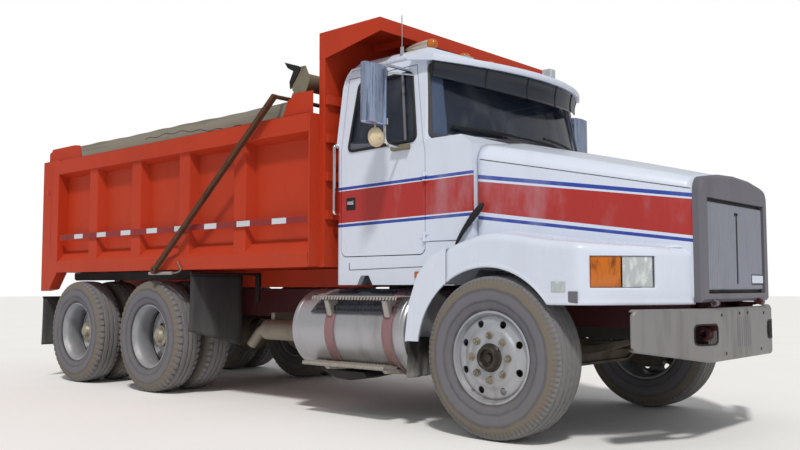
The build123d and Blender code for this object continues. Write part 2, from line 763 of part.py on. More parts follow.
def knuckle():
    """A left-hand knuckle: two ears round the beam's eye, a spindle and a steering arm."""
    z = steer_z()
    x = ahead(0)
    ear_low = z - BEAM_EYE_HALF_HEIGHT - SEAT_GAP
    ear_high = z + BEAM_EYE_HALF_HEIGHT + SEAT_GAP
    inner = KINGPIN_Y - BEAM_EYE_RADIUS
    plate_in = KINGPIN_Y + BEAM_EYE_RADIUS + MOVING_GAP
    plate_out = plate_in + KNUCKLE_PLATE_THICKNESS
    ears = [
        Pos(x, KINGPIN_Y, low) * Cylinder(BEAM_EYE_RADIUS, KNUCKLE_EAR_THICKNESS, align=BOTTOM)
        + block((x - BEAM_EYE_RADIUS, x + BEAM_EYE_RADIUS), (KINGPIN_Y, plate_out),
                (low, low + KNUCKLE_EAR_THICKNESS))
        for low in (ear_low - KNUCKLE_EAR_THICKNESS, ear_high)
    ]
    plate = block(
        (x - BEAM_EYE_RADIUS, x + BEAM_EYE_RADIUS), (plate_in, plate_out),
        (ear_low - KNUCKLE_EAR_THICKNESS, ear_high + KNUCKLE_EAR_THICKNESS),
    )
    pin = Pos(x, KINGPIN_Y, ear_low) * Cylinder(KINGPIN_RADIUS, ear_high - ear_low, align=BOTTOM)
    spindle = rod((x, plate_in, z), (x, SPINDLE_END_Y, z), SPINDLE_RADIUS)
    arm_high = ear_low
    arm_low = arm_high - STEER_ARM_THICKNESS
    arm = block(
        (x - STEER_ARM_LENGTH, x), (KINGPIN_Y - STEER_ARM_WIDTH / 2, KINGPIN_Y + STEER_ARM_WIDTH / 2),
        (arm_low, arm_high),
    ) + Pos(x - STEER_ARM_LENGTH, KINGPIN_Y, arm_low) * Cylinder(
        STEER_ARM_WIDTH / 2, STEER_ARM_THICKNESS, align=BOTTOM)
    return fused([*ears, plate, pin, spindle, arm])


def tie_rod():
    """The rod that joins the two steering arms, under them."""
    x = ahead(-STEER_ARM_LENGTH)
    top = steer_z() - BEAM_EYE_HALF_HEIGHT - SEAT_GAP - STEER_ARM_THICKNESS - SEAT_GAP
    z = top - TIE_ROD_RADIUS
    bar = rod((x, -KINGPIN_Y, z), (x, KINGPIN_Y, z), TIE_ROD_BAR_RADIUS)
    ends = [
        Pos(x, y, top - 2 * TIE_ROD_RADIUS) * Cylinder(STEER_BALL_RADIUS, 2 * TIE_ROD_RADIUS, align=BOTTOM)
        for y in (-KINGPIN_Y, KINGPIN_Y)
    ]
    return fused([bar, *ends])


def front_axle():
    """A forged beam of I section with an eye for each kingpin."""
    z = steer_z()
    x = ahead(0)
    high, low = z - BEAM_DROP + BEAM_DEPTH / 2, z - BEAM_DROP - BEAM_DEPTH / 2
    eye_half = BEAM_EYE_HALF_HEIGHT
    half = [
        (BEAM_BEND_Y, high), (BEAM_RISE_Y, z + eye_half), (KINGPIN_Y, z + eye_half),
        (KINGPIN_Y, z - eye_half), (BEAM_RISE_Y, z - eye_half), (BEAM_BEND_Y, low),
    ]
    whole = half + [(-y, h) for y, h in reversed(half)]
    beam = prism_x(whole, (x - BEAM_WIDTH / 2, x + BEAM_WIDTH / 2))
    pocket = [
        (BEAM_BEND_Y, high - BEAM_POCKET_MARGIN), (BEAM_RISE_Y, z + eye_half - BEAM_POCKET_MARGIN),
        (BEAM_RISE_Y, z - eye_half + BEAM_POCKET_MARGIN), (BEAM_BEND_Y, low + BEAM_POCKET_MARGIN),
    ]
    pocket = pocket + [(-y, h) for y, h in reversed(pocket)]
    for side in (-1, 1):
        face = x + side * BEAM_WIDTH / 2
        beam = beam - prism_x(pocket, (face, face - side * BEAM_POCKET))
    for y in (-KINGPIN_Y, KINGPIN_Y):
        beam = beam - block((x - BEAM_WIDTH, x + BEAM_WIDTH), (y, y + math.copysign(CUT_OVERRUN, y)),
                            (z - 2 * eye_half, z + 2 * eye_half))
        beam = beam + Pos(x, y, z) * Cylinder(BEAM_EYE_RADIUS, 2 * eye_half)
        beam = beam - Pos(x, y, z) * Cylinder(KINGPIN_RADIUS + RUNNING_GAP, 3 * eye_half)
    return beam


def spring_bottom_z():
    """The height of the front springs' lower face, which is the beam's top."""
    return steer_z() - BEAM_DROP + BEAM_DEPTH / 2


def arched_bar(x_front, x_back, x_mid, z_end, z_mid, tip, depth, y_span):
    """A leaf pack: a bar with arched faces that is thick in the middle and thin at its tips."""
    y0, y1 = sorted(y_span)
    with BuildSketch(Plane(origin=(0, y1, 0), x_dir=(1, 0, 0), z_dir=(0, -1, 0))) as face:
        with BuildLine():
            ThreePointArc((x_back, z_end), (x_mid, z_mid), (x_front, z_end))
            Line((x_front, z_end), (x_front, z_end + tip))
            ThreePointArc((x_front, z_end + tip), (x_mid, z_mid + depth), (x_back, z_end + tip))
            Line((x_back, z_end + tip), (x_back, z_end))
        make_face()
    return extrude(face.sketch, y1 - y0, dir=(0, -1, 0))


def suspension():
    """Front leaf packs and the rear walking beams with their saddles."""
    low = spring_bottom_z()
    spring = arched_bar(
        ahead(SPRING_HALF_LENGTH), behind(SPRING_HALF_LENGTH), ahead(0), SPRING_EYE_Z, low, SPRING_TIP, SPRING_PACK,
        right(SPRING_Y - SPRING_WIDTH / 2, SPRING_Y + SPRING_WIDTH / 2),
    )
    middle = behind(MID_AXLE_BACK + TANDEM_SPREAD / 2)
    beam_y = (RAIL_HALF_GAUGE - RAIL_FLANGE / 2 - WALKING_BEAM_WIDTH / 2,
              RAIL_HALF_GAUGE - RAIL_FLANGE / 2 + WALKING_BEAM_WIDTH / 2)
    top = REAR_TYRE_RADIUS + AXLE_TUBE_RADIUS + WALKING_BEAM_DEPTH / 2
    base = REAR_TYRE_RADIUS + AXLE_TUBE_RADIUS + SEAT_GAP
    beam = prism_y([
        (behind(REAR_AXLE_BACK) - AXLE_TUBE_RADIUS, base),
        (behind(MID_AXLE_BACK) + AXLE_TUBE_RADIUS, base),
        (behind(MID_AXLE_BACK) + AXLE_TUBE_RADIUS, base + WALKING_BEAM_DEPTH / 3),
        (middle + SADDLE_LENGTH / 2, SADDLE_TOP_Z), (middle - SADDLE_LENGTH / 2, SADDLE_TOP_Z),
        (behind(REAR_AXLE_BACK) - AXLE_TUBE_RADIUS, base + WALKING_BEAM_DEPTH / 3),
    ], right(*beam_y))
    return both(spring) + both(beam)


def drive_axles():
    """Two axle housings with their bowls, tubes and spindles."""
    axles = []
    for back in (MID_AXLE_BACK, REAR_AXLE_BACK):
        x, z = behind(back), REAR_TYRE_RADIUS
        tube_bar = rod_y(x, z, AXLE_TUBE_RADIUS, (-AXLE_TUBE_END_Y, AXLE_TUBE_END_Y))
        spindle = rod_y(x, z, AXLE_SPINDLE_RADIUS, (-AXLE_SPINDLE_END_Y, AXLE_SPINDLE_END_Y))
        bowl = rod((x - BANJO_HALF_DEPTH, 0, z), (x + BANJO_HALF_DEPTH, 0, z), BANJO_RADIUS)
        bowl = chamfer(bowl.edges().filter_by(GeomType.CIRCLE), BANJO_HALF_DEPTH / 2)
        nose = rod((x, 0, SHAFT_REAR_Z), (x + BANJO_NOSE_LENGTH, 0, SHAFT_REAR_Z), BANJO_NOSE_RADIUS)
        axles.append(fused([tube_bar, spindle, bowl, nose]))
    return axles


def drive_shafts():
    """The shaft from the gearbox to the middle axle, and the one between the axles."""
    front_start = behind(GEARBOX_BACK)
    front_end = behind(MID_AXLE_BACK) + BANJO_NOSE_LENGTH
    rear_start = behind(MID_AXLE_BACK) - BANJO_HALF_DEPTH
    rear_end = behind(REAR_AXLE_BACK) + BANJO_NOSE_LENGTH
    drop = (SHAFT_FRONT_Z - SHAFT_REAR_Z) / (front_start - front_end)
    longer = rod((front_start + SHAFT_RADIUS, 0, SHAFT_FRONT_Z + drop * SHAFT_RADIUS),
                 (front_end - SHAFT_RADIUS, 0, SHAFT_REAR_Z - drop * SHAFT_RADIUS), SHAFT_RADIUS)
    room = block((front_end, front_start), (-2 * SHAFT_RADIUS, 2 * SHAFT_RADIUS),
                 (SHAFT_REAR_Z - 2 * SHAFT_RADIUS, SHAFT_FRONT_Z + 2 * SHAFT_RADIUS))
    rear = rod((rear_start, 0, SHAFT_REAR_Z), (rear_end, 0, SHAFT_REAR_Z), SHAFT_RADIUS)
    return [longer & room, rear]


# Frame
def rail():
    """The right-hand channel rail, open towards the middle of the truck."""
    outer = RAIL_HALF_GAUGE
    section = [
        (-outer, RAIL_BOTTOM), (-outer, RAIL_TOP), (-outer + RAIL_FLANGE, RAIL_TOP),
        (-outer + RAIL_FLANGE, RAIL_TOP - RAIL_WALL), (-outer + RAIL_WALL, RAIL_TOP - RAIL_WALL),
        (-outer + RAIL_WALL, RAIL_BOTTOM + RAIL_WALL), (-outer + RAIL_FLANGE, RAIL_BOTTOM + RAIL_WALL),
        (-outer + RAIL_FLANGE, RAIL_BOTTOM),
    ]
    return prism_x(section, (behind(RAIL_BACK), ahead(RAIL_FRONT)))


def bumper_inside_x():
    return ahead(FRONT_OVERHANG) - BUMPER_WALL


def hood_bracket():
    """A gooseneck that carries the hood's hinge pin over the bumper's edge."""
    pivot_x = ahead(HOOD_PIVOT_AHEAD)
    bumper_back = ahead(FRONT_OVERHANG) - BUMPER_DEPTH - MOVING_GAP
    neck = prism_y([
        (ahead(RAIL_FRONT), HORN_FRONT_TOP), (bumper_back, HORN_FRONT_TOP),
        (bumper_back, BUMPER_TOP + MOVING_GAP / 2),
        (pivot_x - HOOD_BRACKET_RADIUS, HOOD_PIVOT_Z - HOOD_BRACKET_RADIUS),
        (pivot_x, HOOD_PIVOT_Z - HOOD_BRACKET_RADIUS), (pivot_x, HOOD_PIVOT_Z),
        (pivot_x - SURROUND_DEPTH - MOVING_GAP, HOOD_PIVOT_Z), (ahead(RAIL_FRONT), HOOD_PIVOT_Z),
    ], right(HOOD_BRACKET_IN, HOOD_BRACKET_OUT))
    boss = rod_y(pivot_x, HOOD_PIVOT_Z, HOOD_BRACKET_RADIUS, right(HOOD_BRACKET_IN, HOOD_BRACKET_OUT))
    pin = rod_y(pivot_x, HOOD_PIVOT_Z, HOOD_PIN_RADIUS, right(HOOD_BRACKET_IN, HOOD_EAR_OUT))
    return fused([neck, boss, pin])


def frame():
    """Rails, crossmembers, front horns, tow eyes, bed hinge ears, spring hangers and flap posts."""
    inner = RAIL_HALF_GAUGE - RAIL_WALL
    height = RAIL_TOP - RAIL_BOTTOM
    pieces = [rail()]
    horn = block(
        (ahead(RAIL_FRONT) - CROSS_MEMBER_LENGTH, bumper_inside_x()),
        right(RAIL_HALF_GAUGE - RAIL_FLANGE, RAIL_HALF_GAUGE), (RAIL_BOTTOM, HORN_FRONT_TOP))
    eye_x = ahead(TOW_EYE_AHEAD)
    eye_y = right(RAIL_HALF_GAUGE, TOW_EYE_Y + TOW_EYE_THICKNESS / 2)
    eye = rod_y(eye_x, TOW_EYE_Z, TOW_EYE_BOSS, eye_y) - rod_y(
        eye_x, TOW_EYE_Z, TOW_EYE_RADIUS, (-RAIL_HALF_GAUGE + RAIL_FLANGE, -TOW_EYE_Y - CUT_OVERRUN))
    ear_top = BED_PIVOT_Z
    pivot_x = behind(BED_PIVOT_BACK)
    hinge = block(
        (pivot_x - BED_HINGE_RADIUS, pivot_x + BED_HINGE_RADIUS),
        right(RAIL_HALF_GAUGE, RAIL_HALF_GAUGE + BED_HINGE_PLATE), (RAIL_BOTTOM + height / 3, ear_top),
    ) + rod_y(pivot_x, ear_top, BED_HINGE_RADIUS, right(RAIL_HALF_GAUGE, RAIL_HALF_GAUGE + BED_HINGE_PLATE))
    pin = rod_y(pivot_x, ear_top, BED_PIN_RADIUS, right(SILL_IN, RAIL_HALF_GAUGE + BED_HINGE_PLATE))
    hangers = [
        block((x - HANGER_LENGTH / 2, x + HANGER_LENGTH / 2),
              right(SPRING_Y - SPRING_WIDTH / 2, SPRING_Y + SPRING_WIDTH / 2),
              (SPRING_EYE_Z + SPRING_TIP, RAIL_BOTTOM))
        for x in (ahead(SPRING_HALF_LENGTH) - HANGER_LENGTH / 2, behind(SPRING_HALF_LENGTH) + HANGER_LENGTH / 2)
    ]
    cab_mounts = [
        block((behind(back), behind(back) + CAB_MOUNT_LENGTH), right(RAIL_HALF_GAUGE - RAIL_FLANGE, RAIL_HALF_GAUGE),
              (RAIL_TOP, CAB_FLOOR - SEAT_GAP))
        for back in CAB_MOUNT_BACKS
    ]
    pieces += [horn, eye, hood_bracket(), hinge, pin, *hangers, *cab_mounts]
    pieces = fused(pieces)
    pieces = pieces + left(pieces)
    for back, share in CROSS_MEMBER_ROWS:
        pieces = pieces + block(
            (behind(back) - CROSS_MEMBER_LENGTH / 2, behind(back) + CROSS_MEMBER_LENGTH / 2),
            (-inner, inner), member_heights(share))
    base_x = behind(HOIST_BACK)
    for side in (-1, 1):
        y_in = HOIST_RADII[0] + HOIST_EAR_GAP
        ear_y = (side * y_in, side * (y_in + HOIST_EAR_THICKNESS))
        ear = block((base_x - CROSS_MEMBER_LENGTH / 2, base_x + CROSS_MEMBER_LENGTH / 2), ear_y,
                    (member_heights(0)[0], HOIST_BASE_Z)) + rod_y(
            base_x, HOIST_BASE_Z, CROSS_MEMBER_LENGTH / 2, ear_y)
        pieces = pieces + ear
    pieces = pieces - rod_y(base_x, HOIST_BASE_Z, HOIST_PIN_RADIUS + RUNNING_GAP,
                            (-HOIST_TRUNNION_HALF - CUT_OVERRUN, HOIST_TRUNNION_HALF + CUT_OVERRUN))
    return pieces


def flap_hangers():
    """Posts on the rails with the rods that the mud flaps hang from, right side first."""
    height = RAIL_TOP - RAIL_BOTTOM
    quarter_x = behind(QUARTER_FLAP_BACK)
    post = block(
        (quarter_x - FLAP_POST_LENGTH / 2, quarter_x + FLAP_POST_LENGTH / 2),
        right(RAIL_HALF_GAUGE, RAIL_HALF_GAUGE + BED_HINGE_PLATE),
        (RAIL_BOTTOM + height / 2, QUARTER_FLAP_TOP + FLAP_ROD_RADIUS))
    quarter_rod = rod_y(quarter_x, QUARTER_FLAP_TOP, FLAP_ROD_RADIUS, right(RAIL_HALF_GAUGE, FLAP_OUT))
    rear_x = behind(REAR_FLAP_BACK)
    rear_post = block(
        (rear_x - FLAP_ROD_RADIUS, behind(RAIL_BACK)), right(RAIL_HALF_GAUGE - RAIL_FLANGE, RAIL_HALF_GAUGE),
        (REAR_FLAP_TOP - 2 * FLAP_ROD_RADIUS, REAR_FLAP_TOP + FLAP_ROD_RADIUS))
    rear_rod = rod_y(rear_x, REAR_FLAP_TOP, FLAP_ROD_RADIUS, right(RAIL_HALF_GAUGE - RAIL_FLANGE, FLAP_OUT))
    return both(post + quarter_rod) + both(rear_post + rear_rod)


def front_bumper():
    """A deep channel with swept ends, a rising lower edge at each side and two tow holes."""
    front = ahead(FRONT_OVERHANG)
    end = ahead(BUMPER_END_AHEAD)

    def shell(inset, back_inset):
        half = BUMPER_HALF_WIDTH - inset
        plan = prism_z([
            (front - inset, -BUMPER_FLAT_HALF), (front - inset, BUMPER_FLAT_HALF), (end - inset, half),
            (end - BUMPER_DEPTH - back_inset, half), (front - BUMPER_DEPTH - back_inset, BUMPER_FLAT_HALF),
            (front - BUMPER_DEPTH - back_inset, -BUMPER_FLAT_HALF),
            (end - BUMPER_DEPTH - back_inset, -half), (end - inset, -half),
        ], (BUMPER_BOTTOM, BUMPER_TOP))
        face = prism_x([
            (-half, BUMPER_END_BOTTOM + inset), (-BUMPER_FLAT_HALF, BUMPER_BOTTOM + inset),
            (BUMPER_FLAT_HALF, BUMPER_BOTTOM + inset), (half, BUMPER_END_BOTTOM + inset),
            (half, BUMPER_TOP - inset), (-half, BUMPER_TOP - inset),
        ], (end - 2 * BUMPER_DEPTH, front))
        return plan & face

    bumper = shell(0, 0) - shell(BUMPER_WALL, CUT_OVERRUN)
    for side in (-1, 1):
        hole = block((front - BUMPER_DEPTH, front), (side * TOW_HOLE_IN, side * TOW_HOLE_OUT),
                     (TOW_HOLE_LOW, TOW_HOLE_HIGH))
        hole = fillet(hole.edges().filter_by(Axis.X), TOW_HOLE_CORNER)
        bumper = bumper - Pos(BUMPER_WALL, 0, 0) * hole
        y = side * PLATE_HOLE_Y
        bumper = bumper - rod((front - BUMPER_DEPTH, y, PLATE_HOLE_Z), (front + BUMPER_WALL, y, PLATE_HOLE_Z),
                              PLATE_HOLE_RADIUS)
    return bumper


def engine_block():
    """The engine as one plain block, with the gearbox behind it and its mounts to the rails."""
    engine = block((behind(ENGINE_BACK), ahead(ENGINE_FRONT)), (-ENGINE_HALF_WIDTH, ENGINE_HALF_WIDTH),
                   (ENGINE_BOTTOM, ENGINE_TOP))
    gearbox = block((behind(GEARBOX_BACK), behind(ENGINE_BACK)),
                    (-GEARBOX_HALF_WIDTH, GEARBOX_HALF_WIDTH), (GEARBOX_BOTTOM, GEARBOX_TOP))
    mounts = block(
        (ahead(ENGINE_MOUNT_AHEAD), ahead(ENGINE_MOUNT_AHEAD) + ENGINE_MOUNT_LENGTH),
        (-RAIL_HALF_GAUGE + RAIL_WALL, RAIL_HALF_GAUGE - RAIL_WALL),
        (ENGINE_MOUNT_Z, ENGINE_MOUNT_Z + ENGINE_MOUNT_HEIGHT))
    return fused([engine, gearbox, mounts])


def member_heights(share):
    """Bottom and top of a crossmember that starts at this share of the room between the flanges."""
    room = RAIL_TOP - RAIL_BOTTOM - 2 * RAIL_WALL
    low = RAIL_BOTTOM + RAIL_WALL + share * room
    return low, min(low + CROSS_MEMBER_HEIGHT, RAIL_TOP - RAIL_WALL)


def radiator():
    _, top = member_heights(CROSS_MEMBER_ROWS[0][1])
    return block((ahead(RADIATOR_BACK_FACE), ahead(RADIATOR_BACK_FACE + RADIATOR_DEPTH)),
                 (-RAIL_HALF_GAUGE + RAIL_FLANGE + SEAT_GAP, RAIL_HALF_GAUGE - RAIL_FLANGE - SEAT_GAP),
                 (top, RAIL_TOP)) + block(
        (ahead(RADIATOR_BACK_FACE), ahead(RADIATOR_BACK_FACE + RADIATOR_DEPTH)),
        (-RADIATOR_HALF_WIDTH, RADIATOR_HALF_WIDTH), (RAIL_TOP, RADIATOR_TOP))


# Tanks
def fuel_tank():
    """A round tank with dished ends, on the right."""
    bar = rod((behind(TANK_BACK), -TANK_Y, TANK_Z), (behind(TANK_FRONT), -TANK_Y, TANK_Z), TANK_RADIUS)
    return fillet(bar.edges().filter_by(GeomType.CIRCLE), TANK_DOME)


def tank_mounts():
    """Straps and frame brackets of the right tank, with the two steps that they carry."""
    outer = TANK_RADIUS + SEAT_GAP + STRAP_WALL
    pieces = []
    room = rod((behind(TANK_BACK), -TANK_Y, TANK_Z), (behind(TANK_FRONT), -TANK_Y, TANK_Z),
               TANK_RADIUS + SEAT_GAP)
    for back in STRAP_BACKS:
        x0, x1 = behind(back) - STRAP_WIDTH / 2, behind(back) + STRAP_WIDTH / 2
        band = rod((x0, -TANK_Y, TANK_Z), (x1, -TANK_Y, TANK_Z), outer)
        bracket = block((x0, x1), right(RAIL_HALF_GAUGE, TANK_INNER_LIMIT),
                        (TANK_Z - TANK_RADIUS / 2, TANK_Z + TANK_RADIUS))
        upper = block((x0 + STRAP_WIDTH / 4, x1 - STRAP_WIDTH / 4), right(UPPER_STEP_IN, STEP_OUT - STEP_THICKNESS),
                      (TANK_Z + TANK_RADIUS / 2, UPPER_STEP_Z - STEP_THICKNESS))
        lower = block((x0 + STRAP_WIDTH / 4, x1 - STRAP_WIDTH / 4), right(TANK_Y + TANK_RADIUS / 3, STEP_OUT - STEP_THICKNESS),
                      (LOWER_STEP_Z - STEP_THICKNESS - STEP_HANGER / 2, LOWER_STEP_Z - STEP_THICKNESS))
        lower = lower + block((x0 + STRAP_WIDTH / 4, x1 - STRAP_WIDTH / 4),
                              right(TANK_Y + TANK_RADIUS / 3, LOWER_STEP_IN),
                              (LOWER_STEP_Z - STEP_THICKNESS, TANK_Z - TANK_RADIUS / 2))
        pieces += [band + bracket, upper, lower]
    steps = [
        (UPPER_STEP_FRONT, UPPER_STEP_BACK, UPPER_STEP_IN, UPPER_STEP_Z),
        (LOWER_STEP_FRONT, LOWER_STEP_BACK, LOWER_STEP_IN, LOWER_STEP_Z),
    ]
    for front, back, inside, top in steps:
        tread = block((behind(back), behind(front)), right(inside, STEP_OUT), (top - STEP_THICKNESS, top))
        count = int((back - front) // (2 * STEP_HOLE_PITCH))
        for i in range(count):
            x = behind(front) - (2 * i + 1) * STEP_HOLE_PITCH
            tread = tread - Pos(x, -(inside + STEP_OUT) / 2, top) * Cylinder(
                STEP_HOLE_RADIUS, 2 * CUT_OVERRUN)
        pieces.append(tread)
    return fused(pieces) - room


def muffler():
    """A round muffler behind the right tank with its inlet pipe and turned-down tail pipe."""
    can = rod((behind(MUFFLER_BACK), -MUFFLER_Y, MUFFLER_Z), (behind(MUFFLER_FRONT), -MUFFLER_Y, MUFFLER_Z),
              MUFFLER_RADIUS)
    tail = tube([
        (behind(MUFFLER_BACK), -MUFFLER_Y, MUFFLER_Z),
        (behind(MUFFLER_BACK) - TAIL_PIPE_BEND, -MUFFLER_Y, MUFFLER_Z),
        (behind(TAIL_PIPE_BACK), -MUFFLER_Y - TAIL_PIPE_BEND / 2, TAIL_PIPE_Z),
    ], PIPE_RADIUS, TAIL_PIPE_BEND)
    hanger = block((behind(MUFFLER_BACK) + PIPE_RADIUS, behind(MUFFLER_BACK) + 2 * PIPE_RADIUS),
                   right(RAIL_HALF_GAUGE, MUFFLER_Y), (MUFFLER_Z + MUFFLER_RADIUS / 2, RAIL_BOTTOM + PIPE_RADIUS))
    return fused([can, tail, hanger])


def mud_flaps():
    """Rubber flaps before and behind the drive wheels and behind the front wheels, right side."""
    quarter_x = behind(QUARTER_FLAP_BACK)
    quarter = prism_x([
        (-FLAP_IN, QUARTER_FLAP_TOP - FLAP_ROD_RADIUS), (-FLAP_OUT, QUARTER_FLAP_TOP - FLAP_ROD_RADIUS),
        (-FLAP_OUT, QUARTER_FLAP_LOW_OUT), (-FLAP_IN, QUARTER_FLAP_LOW_IN),
    ], (quarter_x - FLAP_THICKNESS / 2, quarter_x + FLAP_THICKNESS / 2))
    rear_x = behind(REAR_FLAP_BACK)
    rear = block((rear_x - FLAP_THICKNESS / 2, rear_x + FLAP_THICKNESS / 2), right(FLAP_IN, FLAP_OUT),
                 (REAR_FLAP_LOW, REAR_FLAP_TOP - FLAP_ROD_RADIUS))
    splash_x = behind(SPLASH_FLAP_BACK)
    splash = block((splash_x, splash_x + FLAP_THICKNESS), right(SPLASH_FLAP_IN, FENDER_OUT),
                   (SPLASH_FLAP_LOW, REAR_FENDER_OUTLINE[-1][1]))
    return both(quarter) + both(rear) + both(splash)


# Cab
def cab_lower(inset):
    """The cab below the belt, drawn in by a wall thickness, with rounded rear corners."""
    back = behind(CAB_BACK) + inset
    body = prism_y([
        (back, CAB_FLOOR + CAB_FLOOR_THICKNESS if inset else CAB_SILL),
        (back, CAB_BELT), (behind(WINDSHIELD_CENTRE_BACK) - inset, CAB_BELT - inset),
        (behind(CAB_COWL_FRONT) - inset, CAB_COWL_TOP - inset), (behind(CAB_COWL_FRONT) - inset, CAB_COWL_LOW),
        (behind(CAB_TOE_BACK) - inset, CAB_TOE_Z + (inset + CAB_FLOOR_THICKNESS if inset else 0)),
        (behind(CAB_SILL_FRONT) - inset, CAB_FLOOR + CAB_FLOOR_THICKNESS if inset else CAB_SILL),
    ], (-CAB_HALF_WIDTH + inset, CAB_HALF_WIDTH - inset))
    corners = [edge for edge in body.edges().filter_by(Axis.Z) if edge.center().X < back + inset + CAB_CORNER]
    return fillet(corners, CAB_CORNER - inset)


def cab_plan(z, corner_back, centre_back, inset):
    """A plan section of the cab above its belt: straight sides, a back with rounded corners, an arc in front."""
    half = CAB_HALF_WIDTH - inset
    back = behind(CAB_BACK) + inset
    with BuildSketch(Plane.XY.offset(z)) as plan:
        with BuildLine():
            Polyline(
                (behind(corner_back) - inset, -half), (back, -half),
                (back, half), (behind(corner_back) - inset, half))
            ThreePointArc(
                (behind(corner_back) - inset, half), (behind(centre_back) - inset, 0),
                (behind(corner_back) - inset, -half))
        make_face()
        fillet([v for v in plan.vertices() if v.X < back + CAB_CORNER], CAB_CORNER - inset)
    return plan.sketch


def roof_level_backs():
    """How far back the windshield's corner and centre planes lie once they reach the roof's top."""
    rise = (ROOF_TOP_Z - CAB_BELT) / (WINDSHIELD_TOP_Z - CAB_BELT)
    corner = WINDSHIELD_CORNER_BACK + rise * (WINDSHIELD_TOP_CORNER_BACK - WINDSHIELD_CORNER_BACK)
    centre = WINDSHIELD_CENTRE_BACK + rise * (WINDSHIELD_TOP_CENTRE_BACK - WINDSHIELD_CENTRE_BACK)
    return corner, centre


def cab_taper(inset):
    """The cab above its belt with upright sides, before the front view trims it."""
    corner, centre = roof_level_backs()
    return loft([
        cab_plan(CAB_BELT - inset, WINDSHIELD_CORNER_BACK, WINDSHIELD_CENTRE_BACK, inset).faces()[0],
        cab_plan(ROOF_TOP_Z, corner, centre, inset).faces()[0],
    ], ruled=True)


def cab_front_view(inset):
    """The cab's outline from the front above the belt, run through its whole length, with rounded roof edges."""
    low = CAB_BELT - inset
    half = [
        (CAB_HALF_WIDTH - inset, low), (CAB_HALF_WIDTH - inset, CAB_BELT),
        (ROOF_HALF_WIDTH - inset, ROOF_EDGE_Z - inset),
        (ROOF_SHOULDER_HALF - inset, ROOF_SHOULDER_Z - inset), (ROOF_SHOULDER_HALF / 2, ROOF_TOP_Z - inset),
    ]
    body = prism_x(half + [(-y, z) for y, z in reversed(half)], (behind(CAB_BACK), behind(CAB_COWL_FRONT)))
    return fillet(roof_edges(body, Axis.X, half[2][1], half[3][1]), ROOF_ROUND - inset)


def roof_edges(body, axis, low, high):
    """The long edges of a cab outline that lie between two heights, both counted in."""
    reach = CUT_OVERRUN
    return [edge for edge in body.edges().filter_by(axis) if low - reach < edge.center().Z < high + reach]


def cab_upper(inset):
    """The cab above its belt: the taper trimmed to the front view and to the roof."""
    low = CAB_BELT - inset
    corner, _ = roof_level_backs()
    side_view = prism_y([
        (behind(CAB_BACK), low), (behind(CAB_BACK), ROOF_BACK_Z),
        (behind(CAB_BACK) + inset + ROOF_BACK_SLOPE, ROOF_SHOULDER_Z - inset),
        (behind(CAB_BACK) + inset + 3 * ROOF_BACK_SLOPE, ROOF_TOP_Z - inset),
        (behind(corner) - ROOF_FRONT_INSET, ROOF_TOP_Z - inset),
        (behind(WINDSHIELD_TOP_CENTRE_BACK), ROOF_EDGE_Z - inset),
        (behind(CAB_COWL_FRONT), ROOF_EDGE_Z - inset), (behind(CAB_COWL_FRONT), low),
    ], (-CAB_HALF_WIDTH, CAB_HALF_WIDTH))
    rear = [
        edge for edge in side_view.edges().filter_by(Axis.Y)
        if edge.center().X < behind(CAB_BACK) + inset + 2 * ROOF_BACK_SLOPE and edge.center().Z > CAB_BELT
    ]
    return cab_taper(inset) & cab_front_view(inset) & fillet(rear, ROOF_ROUND - inset)


def door_outline(gap):
    """The side view of the door, larger or smaller than its opening by the gap."""
    return [
        (behind(DOOR_BACK) + gap, DOOR_LOW + gap), (behind(DOOR_FRONT) - gap, DOOR_LOW + gap),
        (behind(DOOR_FRONT) - gap, DOOR_KNEE_Z), (behind(DOOR_TOP_FRONT) - gap, DOOR_TOP - gap),
        (behind(DOOR_BACK) + gap, DOOR_TOP - gap),
    ]


def door_prism(gap):
    solid = prism_y(door_outline(gap), right(CAB_HALF_WIDTH - 4 * CAB_WALL, CAB_HALF_WIDTH + CUT_OVERRUN))
    low = solid.edges().filter_by(Axis.Y).sort_by(Axis.Z)[:2]
    return fillet(low, DOOR_CORNER)


def upright(point, radius, z_span):
    """A vertical cylinder."""
    low, high = z_span
    return Pos(point[0], point[1], low) * Cylinder(radius, high - low, align=BOTTOM)


def door_hinge_axis():
    return behind(DOOR_FRONT + DOOR_GAP), -CAB_HALF_WIDTH - DOOR_HINGE_OFFSET


def hinge_leaf(x_span, z_span):
    face = right(CAB_HALF_WIDTH - DOOR_HINGE_LEAF_WALL, CAB_HALF_WIDTH + DOOR_HINGE_LEAF_WALL)
    return block(x_span, face, z_span)


def hang_on_cab(shell):
    """Adds the cab's hinge eyes and pins on the right side and clears room for the door's."""
    axis = door_hinge_axis()
    for z in DOOR_HINGE_ZS:
        eye = (z - DOOR_HINGE_EYE_HALF, z + DOOR_HINGE_EYE_HALF)
        whole = (z - DOOR_HINGE_HALF_HEIGHT, z + DOOR_HINGE_HALF_HEIGHT)
        shell = shell - upright(axis, DOOR_HINGE_RADIUS + DOOR_GAP / 2, eye)
        for span in ((whole[0], eye[0]), (eye[1], whole[1])):
            shell = shell + upright(axis, DOOR_HINGE_RADIUS, span)
            shell = shell + hinge_leaf((axis[0], axis[0] + DOOR_HINGE_LEAF), span)
        shell = shell + upright(axis, DOOR_HINGE_PIN_RADIUS, whole)
    return shell


